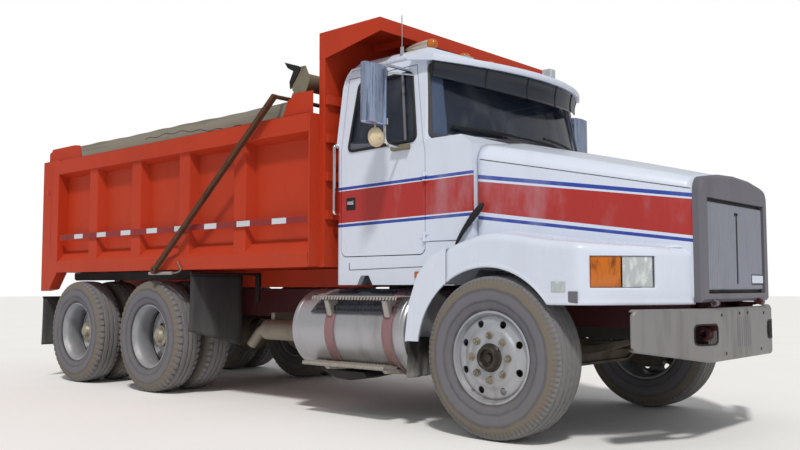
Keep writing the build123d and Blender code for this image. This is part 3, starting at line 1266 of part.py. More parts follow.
def hang_on_door(panel):
    """Adds the right door's hinge eyes and clears room for the cab's."""
    axis = door_hinge_axis()
    for z in DOOR_HINGE_ZS:
        eye = (z - DOOR_HINGE_EYE_HALF + SEAT_GAP, z + DOOR_HINGE_EYE_HALF - SEAT_GAP)
        room = (z - DOOR_HINGE_HALF_HEIGHT - DOOR_GAP / 2, z + DOOR_HINGE_HALF_HEIGHT + DOOR_GAP / 2)
        panel = panel - upright(axis, DOOR_HINGE_RADIUS + DOOR_GAP / 2, room)
        ring = upright(axis, DOOR_HINGE_RADIUS, eye) + hinge_leaf((axis[0] - DOOR_HINGE_LEAF, axis[0]), eye)
        panel = panel + (ring - upright(axis, DOOR_HINGE_PIN_RADIUS + RUNNING_GAP, eye))
    return panel


def window_prism():
    solid = prism_y([
        (behind(WINDOW_BACK), WINDOW_LOW_BACK), (behind(WINDOW_FRONT_LOW), WINDOW_LOW_FRONT),
        (behind(WINDOW_FRONT_HIGH), WINDOW_HIGH), (behind(WINDOW_BACK_HIGH), WINDOW_HIGH),
    ], right(CAB_HALF_WIDTH - 4 * CAB_WALL, CAB_HALF_WIDTH + CUT_OVERRUN))
    return fillet(solid.edges().filter_by(Axis.Y), WINDOW_CORNER)


def windshield_prism():
    return prism_x([
        (-WINDSHIELD_OPEN_HALF_LOW, WINDSHIELD_OPEN_LOW), (WINDSHIELD_OPEN_HALF_LOW, WINDSHIELD_OPEN_LOW),
        (WINDSHIELD_OPEN_HALF_HIGH, WINDSHIELD_OPEN_HIGH), (-WINDSHIELD_OPEN_HALF_HIGH, WINDSHIELD_OPEN_HIGH),
    ], (behind(DOOR_TOP_FRONT + 3 * CAB_WALL), behind(CAB_COWL_FRONT)))


def rear_window_prism():
    return block((behind(CAB_BACK), behind(CAB_BACK) + CAB_WALL), (-REAR_WINDOW_HALF, REAR_WINDOW_HALF),
                 (REAR_WINDOW_LOW, REAR_WINDOW_HIGH))


def rear_fender():
    """The fixed rear quarter of the right fender, an arched skin with a flat face."""
    outer = [(behind(back), z) for back, z in REAR_FENDER_OUTLINE]
    centre = (behind(ARCH_BACK), FRONT_TYRE_RADIUS)
    last = outer[-1]
    inner = [(x + REAR_FENDER_SKIN, z - REAR_FENDER_SKIN / 2) for x, z in outer]
    face = prism_y(outer + [(centre[0], last[1]), (centre[0], outer[0][1])],
                   right(FENDER_OUT - REAR_FENDER_SKIN, FENDER_OUT))
    face = face - rod_y(*centre, ARCH_RADIUS, right(CAB_HALF_WIDTH, FENDER_OUT + CUT_OVERRUN))
    face = face - block((outer[0][0], ahead(0)), right(CAB_HALF_WIDTH, FENDER_OUT + CUT_OVERRUN),
                        (FENDER_BOTTOM - 2 * ARCH_RADIUS, 2 * FENDER_BOTTOM))
    skin = prism_y(outer + inner[::-1], right(CAB_HALF_WIDTH, FENDER_OUT))
    front = max(x for x, _ in outer)
    past = block((front, front + 2 * REAR_FENDER_SKIN), right(CAB_HALF_WIDTH - CUT_OVERRUN, FENDER_OUT + CUT_OVERRUN),
                 (0, 2 * FENDER_BOTTOM))
    return face + skin - past


def cab_shell():
    """The hollow cab with its floor, door and window openings and the fixed rear fenders."""
    outer = cab_lower(0) + cab_upper(0)
    inner = cab_lower(CAB_WALL) + cab_upper(CAB_WALL)
    shell = outer - inner
    shell = shell - door_prism(0) - left(door_prism(0))
    shell = shell - windshield_prism() - rear_window_prism()
    notch_x = behind(NOTCH_CENTRE_BACK)
    notch = prism_y([
        (notch_x - NOTCH_HALF_LENGTH, CAB_SILL), (notch_x - NOTCH_HALF_LENGTH / 2, CAB_SILL + NOTCH_HEIGHT),
        (notch_x + NOTCH_HALF_LENGTH / 2, CAB_SILL + NOTCH_HEIGHT), (notch_x + NOTCH_HALF_LENGTH, CAB_SILL),
    ], (-CAB_HALF_WIDTH, CAB_HALF_WIDTH))
    under = block((behind(CAB_BACK) + CAB_WALL, behind(CAB_SILL_FRONT) - CAB_WALL),
                  (-CAB_HALF_WIDTH + CAB_WALL, CAB_HALF_WIDTH - CAB_WALL), (CAB_SILL, CAB_FLOOR))
    tunnel = block((behind(CAB_BACK), behind(CAB_COWL_FRONT)), (-RAIL_HALF_GAUGE, RAIL_HALF_GAUGE),
                   (CAB_SILL, CAB_TOE_Z))
    shell = shell - notch - under - tunnel
    shell = left(hang_on_cab(left(hang_on_cab(shell))))
    return fused([shell, rear_fender(), left(rear_fender())])


def door():
    """The right door, cut from the cab's own wall."""
    wall = (cab_lower(0) + cab_upper(0)) - (cab_lower(CAB_WALL) + cab_upper(CAB_WALL))
    return hang_on_door((wall & door_prism(DOOR_GAP)) - window_prism())


def door_glass():
    """The right door's pane, inside the wall's thickness."""
    pane = cab_front_view(GLASS_INSET) - cab_front_view(GLASS_INSET + GLASS_WALL)
    return pane & window_prism()


def cab_glass():
    """The curved windshield and the flat rear pane, each inside its wall."""
    front = (cab_taper(GLASS_INSET) - cab_taper(GLASS_INSET + GLASS_WALL)) & windshield_prism()
    back = block((behind(CAB_BACK) + GLASS_INSET, behind(CAB_BACK) + GLASS_INSET + GLASS_WALL),
                 (-REAR_WINDOW_HALF, REAR_WINDOW_HALF), (REAR_WINDOW_LOW, REAR_WINDOW_HIGH))
    return [front, back]


def mirror_set():
    """The right mirror, its tube loop and the round mirror under it."""
    x, y = behind(MIRROR_BACK), -MIRROR_Y
    head = block((x - MIRROR_DEPTH / 2, x + MIRROR_DEPTH / 2), (y - MIRROR_HALF_WIDTH, y + MIRROR_HALF_WIDTH),
                 (MIRROR_LOW, MIRROR_HIGH))
    head = fillet(head.edges().filter_by(Axis.Z), MIRROR_CORNER)
    wall_y = -CAB_HALF_WIDTH
    tube_x = x - MIRROR_DEPTH / 2 - MIRROR_TUBE_RADIUS / 2
    loop = tube([
        (tube_x, wall_y, MIRROR_FOOT_Z), (tube_x, y, MIRROR_FOOT_Z), (tube_x, y, MIRROR_TOP_FOOT_Z),
        (tube_x, wall_y + CAB_HALF_WIDTH - ROOF_HALF_WIDTH, MIRROR_TOP_FOOT_Z),
    ], MIRROR_TUBE_RADIUS, MIRROR_TUBE_BEND)
    spot = rod((tube_x, y, SPOT_MIRROR_Z), (tube_x + SPOT_MIRROR_DEPTH, y, SPOT_MIRROR_Z), SPOT_MIRROR_RADIUS)
    return fused([loop, head, spot]) - cab_lower(0) - cab_upper(0)


def cab_interior():
    """Two seats, the dashboard and the steering wheel."""
    pieces = []
    floor = CAB_FLOOR + CAB_FLOOR_THICKNESS
    front, back = behind(SEAT_FRONT), behind(SEAT_FRONT) - SEAT_DEPTH
    for y in (-SEAT_Y, SEAT_Y):
        span = (y - SEAT_WIDTH / 2, y + SEAT_WIDTH / 2)
        cushion = block((back, front), span, (floor, floor + SEAT_HEIGHT))
        rest = block((back, back + SEAT_BACK_THICKNESS), span, (floor, floor + SEAT_HEIGHT + SEAT_BACK_HEIGHT))
        pieces.append(cushion + rest)
    dash = prism_y([
        (behind(CAB_COWL_FRONT + CAB_WALL), DASH_LOW), (behind(DASH_BACK), DASH_LOW),
        (behind(DASH_BACK), (DASH_LOW + DASH_HIGH) / 2), (behind(CAB_COWL_FRONT + 3 * CAB_WALL), DASH_HIGH),
        (behind(CAB_COWL_FRONT + CAB_WALL), DASH_HIGH - CAB_WALL),
    ], (-CAB_HALF_WIDTH + CAB_WALL + SEAT_GAP, CAB_HALF_WIDTH - CAB_WALL - SEAT_GAP))
    column_foot = (behind(DASH_BACK) + CAB_WALL, SEAT_Y, WHEEL_Z - CAB_WALL - math.tan(
        math.radians(WHEEL_TILT)) * (WHEEL_BACK - DASH_BACK))
    hub = (behind(WHEEL_BACK), SEAT_Y, WHEEL_Z)
    column = rod(column_foot, hub, COLUMN_RADIUS)
    place = Plane(origin=hub, z_dir=Vector(*hub) - Vector(*column_foot))
    ring = place * Torus(WHEEL_RIM_RADIUS, WHEEL_TUBE_RADIUS)
    spoke = place * Box(2 * WHEEL_RIM_RADIUS, WHEEL_SPOKE_WIDTH, WHEEL_TUBE_RADIUS)
    cross = place * Box(WHEEL_SPOKE_WIDTH, 2 * WHEEL_RIM_RADIUS, WHEEL_TUBE_RADIUS)
    pieces.append(fused([dash, column, ring, spoke, cross]))
    return pieces


def sun_visor():
    """A bowed visor over the windshield, carried by the roof's front edge."""
    plan = Plane.XY.offset(VISOR_LOW)
    with BuildSketch(plan) as face:
        with BuildLine():
            shoulder = (behind(VISOR_SHOULDER_BACK), VISOR_SHOULDER_HALF)
            tip = (behind(VISOR_TIP_BACK), VISOR_TIP_HALF)
            ThreePointArc((shoulder[0], -shoulder[1]), (behind(VISOR_CENTRE_BACK), 0), shoulder)
            Polyline(shoulder, tip, (tip[0], -tip[1]), (shoulder[0], -shoulder[1]))
        make_face()
    body = extrude(face.sketch, VISOR_RISE + VISOR_THICKNESS, dir=(0, 0, 1))
    slope = prism_y([
        (behind(VISOR_CENTRE_BACK), VISOR_LOW), (behind(VISOR_CENTRE_BACK), VISOR_LOW + VISOR_THICKNESS),
        (behind(VISOR_TIP_BACK), VISOR_LOW + VISOR_RISE + VISOR_THICKNESS),
        (behind(VISOR_TIP_BACK), VISOR_LOW + VISOR_RISE),
    ], (-VISOR_TIP_HALF, VISOR_TIP_HALF))
    return (body & slope) - cab_upper(0)


def roof_lights():
    lamps = []
    for i in range(LAMP_COUNT):
        y = LAMP_SPREAD * (i / (LAMP_COUNT - 1) - 0.5)
        lamp = block((behind(LAMP_BACK) - LAMP_LENGTH, behind(LAMP_BACK)), (y - LAMP_WIDTH / 2, y + LAMP_WIDTH / 2),
                     (ROOF_SHOULDER_Z - LAMP_HEIGHT, ROOF_TOP_Z + LAMP_HEIGHT))
        lamps.append(lamp - cab_upper(0))
    return lamps


def grab_handles():
    """A chrome rail behind each door and an aerial on the cab's right shoulder."""
    x, wall = behind(HANDLE_BACK), CAB_CORNER - CAB_HALF_WIDTH
    bar = tube([(x, wall, HANDLE_LOW), (x, -HANDLE_Y, HANDLE_LOW), (x, -HANDLE_Y, HANDLE_HIGH - CAB_WALL),
                (x, wall, HANDLE_HIGH - CAB_WALL)], HANDLE_RADIUS, HANDLE_BEND)
    bar = bar - cab_lower(0) - cab_upper(0)
    base = Pos(behind(ANTENNA_BACK), -ANTENNA_Y, ROOF_SHOULDER_Z - ANTENNA_BASE_HEIGHT) * Cylinder(
        ANTENNA_BASE_RADIUS, 2 * ANTENNA_BASE_HEIGHT, align=BOTTOM)
    whip = rod((behind(ANTENNA_BACK), -ANTENNA_Y, ROOF_SHOULDER_Z), (behind(ANTENNA_BACK), -ANTENNA_Y, ANTENNA_TOP),
               ANTENNA_RADIUS)
    return both(bar) + [(base + whip) - cab_upper(0)]


# Hood
def section_face(x, column, crown, inset):
    """A hood section at one X from the table's columns, drawn in by the wall, with rounded shoulders."""
    half = [(row[column] - inset, row[column + 1] - (inset if i else 0)) for i, row in enumerate(HOOD_SECTION)]
    points = [(-y, z) for y, z in half] + [(0, crown - inset)] + half[::-1]
    section = outline(points)
    shoulders = [v for v in section.vertices() if abs(v.X) > half[-1][0] + inset and v.Y > half[0][1]]
    section = fillet(shoulders, HOOD_SHOULDER_ROUND - inset)
    plane = Plane(origin=(x, 0, 0), x_dir=(0, 1, 0), z_dir=(1, 0, 0))
    return (plane * section).faces()[0]


def hood_core(inset):
    """The bonnet between the cowl and the grille as a solid."""
    return loft([
        section_face(behind(HOOD_BACK) - (CUT_OVERRUN if inset else 0), 0, HOOD_CROWN_REAR, inset),
        section_face(ahead(HOOD_FRONT), 2, HOOD_CROWN_FRONT, inset),
    ], ruled=True)


def fender_core(inset):
    """The room of both front fenders and the nose between them, as a solid."""
    corner = SURROUND_HALF_LOW - FENDER_TUCK
    plan_right = [
        (ahead(FENDER_CREST[0][0]) - (CUT_OVERRUN if inset else 0), -FENDER_OUT + inset),
        (ahead(FENDER_CORNER_AHEAD) - inset, -FENDER_OUT + inset),
        (ahead(LAMP_CORNER_AHEAD) - inset, -LAMP_CORNER_Y + inset),
        (ahead(LAMP_END_AHEAD) - inset, -LAMP_END_Y + inset), (ahead(HOOD_FRONT), -corner + inset),
    ]
    plan = prism_z(plan_right + [(x, -y) for x, y in reversed(plan_right)],
                   (FENDER_BOTTOM - (CUT_OVERRUN if inset else 0), 2 * FENDER_BOTTOM))
    crest = [(ahead(d) - (CUT_OVERRUN if inset and i == 0 else 0), z - inset)
             for i, (d, z) in enumerate(FENDER_CREST)]
    side = prism_y(
        crest + [(crest[-1][0], FENDER_BOTTOM - 2 * CUT_OVERRUN), (crest[0][0], FENDER_BOTTOM - 2 * CUT_OVERRUN)],
        (-FENDER_OUT, FENDER_OUT))
    body = plan & side
    low = FENDER_CREST[-1][1] - FENDER_ROUND - inset
    rims = [
        edge for edge in body.edges()
        if abs(edge.center().Y) > corner - inset and edge.bounding_box().min.Z > low
        and edge.bounding_box().size.X > CUT_OVERRUN
    ]
    return fillet(rims, FENDER_ROUND - inset)


def hood_solid(inset):
    low = block((behind(HOOD_BACK) - (CUT_OVERRUN if inset else 0), ahead(HOOD_FRONT)),
                (-SURROUND_HALF_LOW + inset, SURROUND_HALF_LOW - inset),
                (FENDER_BOTTOM - (CUT_OVERRUN if inset else 0), HOOD_SECTION[0][1]))
    return fused([hood_core(inset), fender_core(inset), low])


def lamp_prism(from_ahead, to_ahead, gap=0):
    return block((ahead(from_ahead) + gap, ahead(to_ahead) - gap), right(LAMP_END_Y - CUT_OVERRUN, FENDER_OUT),
                 (HEADLAMP_LOW, HEADLAMP_HIGH))


def hood_shell():
    """A thin moulded hood: bonnet and fenders in one, open below and behind, with arches and lamp openings."""
    shell = hood_solid(0) - hood_solid(HOOD_WALL)
    arch = rod_y(behind(ARCH_BACK), FRONT_TYRE_RADIUS, ARCH_RADIUS,
                 right(SURROUND_HALF_LOW, FENDER_OUT + CUT_OVERRUN))
    lamps = lamp_prism(LAMP_CORNER_AHEAD, LAMP_END_AHEAD)
    behind_seam = block((behind(CAB_SILL_FRONT), behind(FENDER_BACK)), (-FENDER_OUT, FENDER_OUT),
                        (0, HOOD_CROWN_REAR))
    cowl_room = block((behind(CAB_SILL_FRONT), behind(HOOD_BACK)),
                      (-CAB_HALF_WIDTH - MOVING_GAP, CAB_HALF_WIDTH + MOVING_GAP), (0, HOOD_CROWN_REAR))
    shell = shell - arch - left(arch) - lamps - left(lamps) - behind_seam - cowl_room
    opening = block((ahead(HOOD_FRONT) - CUT_OVERRUN, ahead(HOOD_FRONT) + CUT_OVERRUN),
                    (-GRILLE_HALF_WIDTH, GRILLE_HALF_WIDTH), (GRILLE_LOW, GRILLE_HIGH))
    front_open = block((ahead(HOOD_FRONT) - 2 * HOOD_WALL, ahead(HOOD_FRONT)),
                       (-SURROUND_HALF_LOW + 2 * HOOD_WALL, SURROUND_HALF_LOW - 2 * HOOD_WALL),
                       (GRILLE_LOW, GRILLE_HIGH))
    return shell - opening - front_open


def headlamps():
    """The clear lamp and the amber corner lamp of the right side, set in the hood's openings."""
    skin = fender_core(0) - fender_core(LENS_DEPTH)
    amber = skin & lamp_prism(LAMP_CORNER_AHEAD, HEADLAMP_SPLIT_AHEAD)
    clear = skin & lamp_prism(HEADLAMP_SPLIT_AHEAD + SEAT_GAP, LAMP_END_AHEAD)
    return both(amber) + both(clear)


def grille_surround():
    """The frame round the grille with its crowned top, and the ears of the hood's hinge."""
    back, front = ahead(HOOD_FRONT), ahead(HOOD_FRONT + SURROUND_DEPTH)
    low = HOOD_SECTION[0][3]
    points = [
        (-SURROUND_HALF_LOW, low), (-SURROUND_HALF_LOW, HOOD_SECTION[1][3]),
        (-HOOD_SECTION[2][2], HOOD_SECTION[2][3]), (-HOOD_SECTION[3][2], HOOD_SECTION[3][3]),
        (0, HOOD_CROWN_FRONT),
    ]
    points = points + [(-y, z) for y, z in reversed(points[:-1])]
    ring = prism_x(points, (back, front))
    shoulders = [
        edge for edge in ring.edges().filter_by(Axis.X)
        if abs(edge.center().Y) > HOOD_SECTION[3][2] + SURROUND_CORNER and edge.center().Z > low + SURROUND_CORNER
    ]
    ring = fillet(shoulders, HOOD_SHOULDER_ROUND)
    ring = chamfer(ring.faces().sort_by(Axis.X)[-1].edges(), SURROUND_CORNER / 2)
    ring = ring - block((back, front), (-GRILLE_HALF_WIDTH, GRILLE_HALF_WIDTH), (GRILLE_LOW, GRILLE_HIGH))
    x = ahead(HOOD_PIVOT_AHEAD)
    for side in (-1, 1):
        span = (side * (HOOD_BRACKET_OUT + MOVING_GAP / 2), side * HOOD_EAR_OUT)
        ring = ring + rod_y(x, HOOD_PIVOT_Z, HOOD_EAR_RADIUS, span) + block(
            (x - HOOD_EAR_RADIUS, x), span, (HOOD_PIVOT_Z, GRILLE_LOW))
        ring = ring - rod_y(x, HOOD_PIVOT_Z, HOOD_PIN_RADIUS + RUNNING_GAP, span)
        ring = ring - rod_y(x, HOOD_PIVOT_Z, HOOD_BRACKET_RADIUS + MOVING_GAP,
                            (side * (HOOD_BRACKET_IN - MOVING_GAP), side * (HOOD_BRACKET_OUT + MOVING_GAP / 2)))
    return ring


def grille_bars():
    """Fine upright bars between four rails, with a slot down the middle."""
    front = ahead(HOOD_FRONT + SURROUND_DEPTH) - GRILLE_SETBACK
    low, high = GRILLE_LOW + GRILLE_SLOT, GRILLE_HIGH - GRILLE_SLOT
    bars = []
    count = int((GRILLE_HALF_WIDTH - GRILLE_SLOT) // GRILLE_BAR_PITCH)
    for side in (-1, 1):
        for i in range(count):
            y = side * (GRILLE_SLOT / 2 + (i + 0.5) * GRILLE_BAR_PITCH)
            bars.append(block((front - GRILLE_BAR_DEPTH, front),
                              (y - GRILLE_BAR_WIDTH / 2, y + GRILLE_BAR_WIDTH / 2), (low, high)))
    rails = [
        block((front - 2 * GRILLE_BAR_DEPTH, front - GRILLE_BAR_DEPTH), (-GRILLE_HALF_WIDTH, GRILLE_HALF_WIDTH),
              (z, z + GRILLE_RAIL))
        for z in (low, low + (high - low) / 3, low + 2 * (high - low) / 3, high - GRILLE_RAIL)
    ]
    body = rails[0].fuse(*rails[1:], *bars)
    return body


# Dump bed
def bed_side():
    """The right side of the bed: panel, boxed rails, tapered ribs and marker bar."""
    long_span = (behind(BED_SIDE_BACK), behind(BED_SIDE_FRONT))
    inner = BED_PANEL_OUT - BED_WALL
    low_rail = prism_x([
        (-BED_OUT, BED_RAIL_LOW), (-BED_OUT, BED_RAIL_RIDGE), (-BED_PANEL_OUT, BED_RAIL_SLOPE_TOP),
        (-inner, BED_RAIL_SLOPE_TOP), (-inner, BED_RAIL_LOW),
    ], long_span)
    panel = block(long_span, right(inner, BED_PANEL_OUT), (BED_RAIL_LOW, BED_TOP_LOW))
    top_rail = prism_x([
        (-BED_OUT, BED_TOP_LOW + BED_WALL), (-BED_OUT, BED_TOP_HIGH), (-BED_TOP_RAIL_IN, BED_TOP_HIGH),
        (-BED_TOP_RAIL_IN, BED_TOP_LOW + 2 * BED_WALL), (-inner, BED_TOP_LOW - 2 * BED_WALL),
        (-BED_PANEL_OUT, BED_TOP_LOW - 2 * BED_WALL),
    ], long_span)
    pieces = [low_rail, panel, top_rail]
    for back in RIB_BACKS:
        x = behind(back)
        half = RIB_WIDTH / 2
        rib = prism_z([
            (x - half - RIB_TAPER, -BED_PANEL_OUT), (x - half, -RIB_OUT), (x + half, -RIB_OUT),
            (x + half + RIB_TAPER, -BED_PANEL_OUT),
        ], (BED_RAIL_RIDGE, BED_TOP_LOW + 2 * BED_WALL))
        pieces.append(rib)
    corner = block((behind(BED_SIDE_FRONT), behind(FRONT_WALL_AT)), right(inner, BED_PANEL_OUT),
                   (BED_RAIL_LOW, CORNER_POST_TOP))
    bar = block((behind(MARKER_BAR_BACK), behind(MARKER_BAR_FRONT)), right(RIB_OUT, MARKER_BAR_OUT),
                (MARKER_BAR_LOW, MARKER_BAR_HIGH))
    return fused([*pieces, corner, bar])


def bed_posts():
    """The two rear posts with their stepped caps and the tailgate's hinge ears and pins."""
    inner = BED_PANEL_OUT - BED_WALL
    post = prism_y([
        (behind(BED_SIDE_BACK), POST_FRONT_BOTTOM), (behind(BED_SIDE_BACK), POST_TOP + MOVING_GAP),
        (behind(POST_BACK), POST_TOP), (behind(POST_BACK), POST_BOTTOM), (behind(POST_STEP_BACK), POST_BOTTOM + BED_WALL),
    ], right(inner, BED_OUT))
    cap = prism_y([
        (behind(POST_CAP_BACK), POST_TOP - BED_WALL), (behind(POST_CAP_BACK), POST_CAP_TOP),
        (behind(POST_CAP_FRONT), POST_CAP_TOP), (behind(POST_CAP_FRONT - RIB_TAPER), POST_CAP_LOW),
        (behind(POST_CAP_FRONT - RIB_TAPER), BED_TOP_HIGH), (behind(BED_SIDE_BACK), BED_TOP_HIGH),
    ], right(inner, inner + BED_WALL))
    ear = block(
        (behind(GATE_PIVOT_BACK) - GATE_ARM_RADIUS, behind(GATE_PIVOT_BACK) + GATE_ARM_RADIUS),
        right(BED_PANEL_OUT, BED_PANEL_OUT + GATE_EAR_THICKNESS), (POST_TOP - BED_WALL, GATE_PIVOT_Z),
    ) + rod_y(behind(GATE_PIVOT_BACK), GATE_PIVOT_Z, GATE_ARM_RADIUS,
              right(BED_PANEL_OUT, BED_PANEL_OUT + GATE_EAR_THICKNESS))
    pin = rod_y(behind(GATE_PIVOT_BACK), GATE_PIVOT_Z, GATE_PIN_RADIUS,
                right(GATE_ARM_IN, BED_PANEL_OUT + GATE_EAR_THICKNESS))
    return both(fused([post, cap, ear, pin]))


def tarp_spring():
    """The sprung pivot of the tarp bow under the bed's lower rail, right side."""
    x = behind(BOW_PIVOT_BACK)
    pin = rod_y(x, BOW_PIVOT_Z, BOW_PIN_RADIUS, right(BED_OUT - BOW_BOSS_RADIUS, BOW_OUT))
    lug = block((x - BOW_BOSS_RADIUS, x + BOW_BOSS_RADIUS), right(BED_OUT - BOW_BOSS_RADIUS, BED_OUT),
                (BOW_PIVOT_Z - BOW_BOSS_RADIUS, BED_RAIL_LOW))
    bar = rod((behind(SPRING_TUBE_BACK), -(BOW_IN + BOW_OUT) / 2, SPRING_TUBE_Z),
              (behind(SPRING_TUBE_FRONT), -(BOW_IN + BOW_OUT) / 2, SPRING_TUBE_Z), SPRING_TUBE_RADIUS)
    clamps = [
        block((back_x, back_x + BOW_BOSS_RADIUS), right(BED_OUT - BOW_BOSS_RADIUS, (BOW_IN + BOW_OUT) / 2),
              (SPRING_TUBE_Z - SPRING_TUBE_RADIUS / 2, BED_RAIL_LOW))
        for back_x in (behind(SPRING_TUBE_BACK) + BOW_BOSS_RADIUS, behind(SPRING_TUBE_FRONT) - 2 * BOW_BOSS_RADIUS)
    ]
    return fused([pin, lug, bar, *clamps])


def hoist_pocket_floor():
    """The room that the hoist takes through the bed's floor."""
    half = POCKET_HALF_WIDTH + POCKET_WALL
    return block((behind(POCKET_BACK) - POCKET_WALL, behind(FRONT_WALL_AT)), (-half, half), (SILL_LOW, FLOOR_TOP))


def bed_floor():
    """The floor plate with a row of bearers under it."""
    inner = BED_PANEL_OUT - BED_WALL
    front, back = behind(FRONT_WALL_AT) - FRONT_WALL, behind(POST_BACK) + BED_WALL
    pieces = [block((back, front), (-inner, inner), (FLOOR_TOP - FLOOR_WALL, FLOOR_TOP))]
    pitch = (BED_PIVOT_BACK - SILL_FRONT) / (BED_BEARER_COUNT - 1)
    for i in range(BED_BEARER_COUNT):
        x = behind(SILL_FRONT + i * pitch)
        pieces.append(block((x - BED_BEARER_LENGTH / 2, x + BED_BEARER_LENGTH / 2), (-inner, inner),
                            (BED_BEARER_LOW, FLOOR_TOP - FLOOR_WALL)))
    return fused(pieces) - hoist_pocket_floor()


def bed_sills():
    """The two long sills under the floor's bearers, with the bed's hinge bores at the rear."""
    pivot_x = behind(BED_PIVOT_BACK)
    span = right(SILL_IN, SILL_OUT)
    sill = prism_y([
        (pivot_x + BED_HINGE_RADIUS, SILL_LOW), (behind(SILL_FRONT), SILL_LOW),
        (behind(SILL_FRONT), BED_BEARER_LOW), (pivot_x - BED_HINGE_RADIUS, BED_BEARER_LOW),
        (pivot_x - BED_HINGE_RADIUS, BED_PIVOT_Z), (pivot_x, BED_PIVOT_Z),
    ], span) + rod_y(pivot_x, BED_PIVOT_Z, BED_HINGE_RADIUS, span)
    return both(sill - rod_y(pivot_x, BED_PIVOT_Z, BED_PIN_RADIUS + RUNNING_GAP, span))


def bed_front():
    """The front wall with its ribs and the hoist pocket behind it, open to the front."""
    inner = BED_PANEL_OUT - BED_WALL
    back, front = behind(FRONT_WALL_AT) - FRONT_WALL, behind(FRONT_WALL_AT)
    wall = block((back, front), (-inner, inner), (BED_RAIL_LOW, SHIELD_LOW))
    lows = [FRONT_RIB_LOW + i * FRONT_RIB_PITCH for i in range(FRONT_RIB_COUNT)]
    ribs = [
        block((front, front + FRONT_RIB_DEPTH), (-inner, inner), (z, z + FRONT_RIB_HEIGHT))
        for z in lows
    ]
    pocket_outer = block((behind(POCKET_BACK) - POCKET_WALL, front),
                         (-POCKET_HALF_WIDTH - POCKET_WALL, POCKET_HALF_WIDTH + POCKET_WALL),
                         (BED_BEARER_LOW, POCKET_TOP + POCKET_WALL))
    pocket_room = block((behind(POCKET_BACK), front + FRONT_RIB_DEPTH),
                        (-POCKET_HALF_WIDTH, POCKET_HALF_WIDTH), (SILL_LOW, POCKET_TOP))
    body = fused([wall, *ribs, pocket_outer]) - pocket_room
    x = behind(HOIST_BACK)
    for side in (-1, 1):
        y_in = HOIST_EYE_HALF + HOIST_EAR_GAP
        span = (side * y_in, side * (y_in + HOIST_EAR_THICKNESS))
        ear = block((x - HOIST_EYE_RADIUS, x + HOIST_EYE_RADIUS), span, (HOIST_EYE_Z, POCKET_TOP)) + rod_y(
            x, HOIST_EYE_Z, HOIST_EYE_RADIUS, span)
        body = body + (ear - rod_y(x, HOIST_EYE_Z, HOIST_PIN_RADIUS + RUNNING_GAP, span))
    return body


def cab_shield():
    """The guard over the cab: top plate, side fascias, a front lip and ribs underneath."""
    inner = BED_PANEL_OUT - SHIELD_WALL
    back, front = behind(BED_SIDE_FRONT), behind(SHIELD_FRONT)
    fascia_points = [
        (back, SHIELD_LOW), (behind(FRONT_WALL_AT), SHIELD_LOW), (front, SHIELD_FRONT_LOW),
        (front, SHIELD_TOP), (back, SHIELD_TOP),
    ]
    fascia = prism_y(fascia_points, right(inner, BED_PANEL_OUT))
    plate = block((back, front), (-inner, inner), (SHIELD_TOP - SHIELD_WALL, SHIELD_TOP))
    lip = block((front - SHIELD_WALL, front), (-inner, inner), (SHIELD_TOP - SHIELD_LIP, SHIELD_TOP))
    wall = block((behind(FRONT_WALL_AT) - FRONT_WALL, behind(FRONT_WALL_AT)), (-inner, inner),
                 (SHIELD_LOW, SHIELD_TOP))
    ribs = [
        block((behind(FRONT_WALL_AT), front), (y, y + SHIELD_WALL),
              (SHIELD_TOP - SHIELD_RIB, SHIELD_TOP))
        for y in (-inner / 2, 0, inner / 2)
    ]
    return fused([fascia, left(fascia), plate, lip, wall, *ribs])


def sideboards():
    board = block((behind(BOARD_BACK), behind(BOARD_FRONT)), right(BOARD_OUT - BOARD_THICKNESS, BOARD_OUT),
                  (BED_TOP_HIGH, BOARD_TOP))
    return both(board)


def tarp_housing():
    """Six-sided end plates on brackets with the tarp's roll between them."""
    mid = (TARP_PLATE_LOW + TARP_PLATE_HIGH) / 2
    x0, x1 = behind(TARP_PLATE_BACK), behind(TARP_PLATE_FRONT)
    cut = (x1 - x0) / 4
    span = right(TARP_PLATE_OUT - TARP_PLATE_WALL, TARP_PLATE_OUT)
    plate = prism_y([
        (x0, mid), (x0 + cut, TARP_PLATE_HIGH), (x1 - cut, TARP_PLATE_HIGH), (x1, mid),
        (x1 - cut, TARP_PLATE_LOW), (x0 + cut, TARP_PLATE_LOW),
    ], span)
    bracket = prism_y([
        (behind(TARP_BRACKET_BACK), BED_TOP_HIGH), (behind(TARP_BRACKET_BACK) + cut, BED_TOP_HIGH),
        (x0 + 2 * cut, TARP_PLATE_LOW + cut / 2), (x0 + cut / 2, TARP_PLATE_LOW + cut / 2),
    ], span) - block((behind(BOARD_BACK), behind(BOARD_FRONT)), right(0, BOARD_OUT), (BED_TOP_HIGH, BOARD_TOP))
    roll = rod(((x0 + x1) / 2, -TARP_PLATE_OUT + TARP_PLATE_WALL, mid),
               ((x0 + x1) / 2, TARP_PLATE_OUT - TARP_PLATE_WALL, mid), TARP_ROLL_RADIUS)
    return fused([plate, left(plate), bracket, left(bracket), roll])


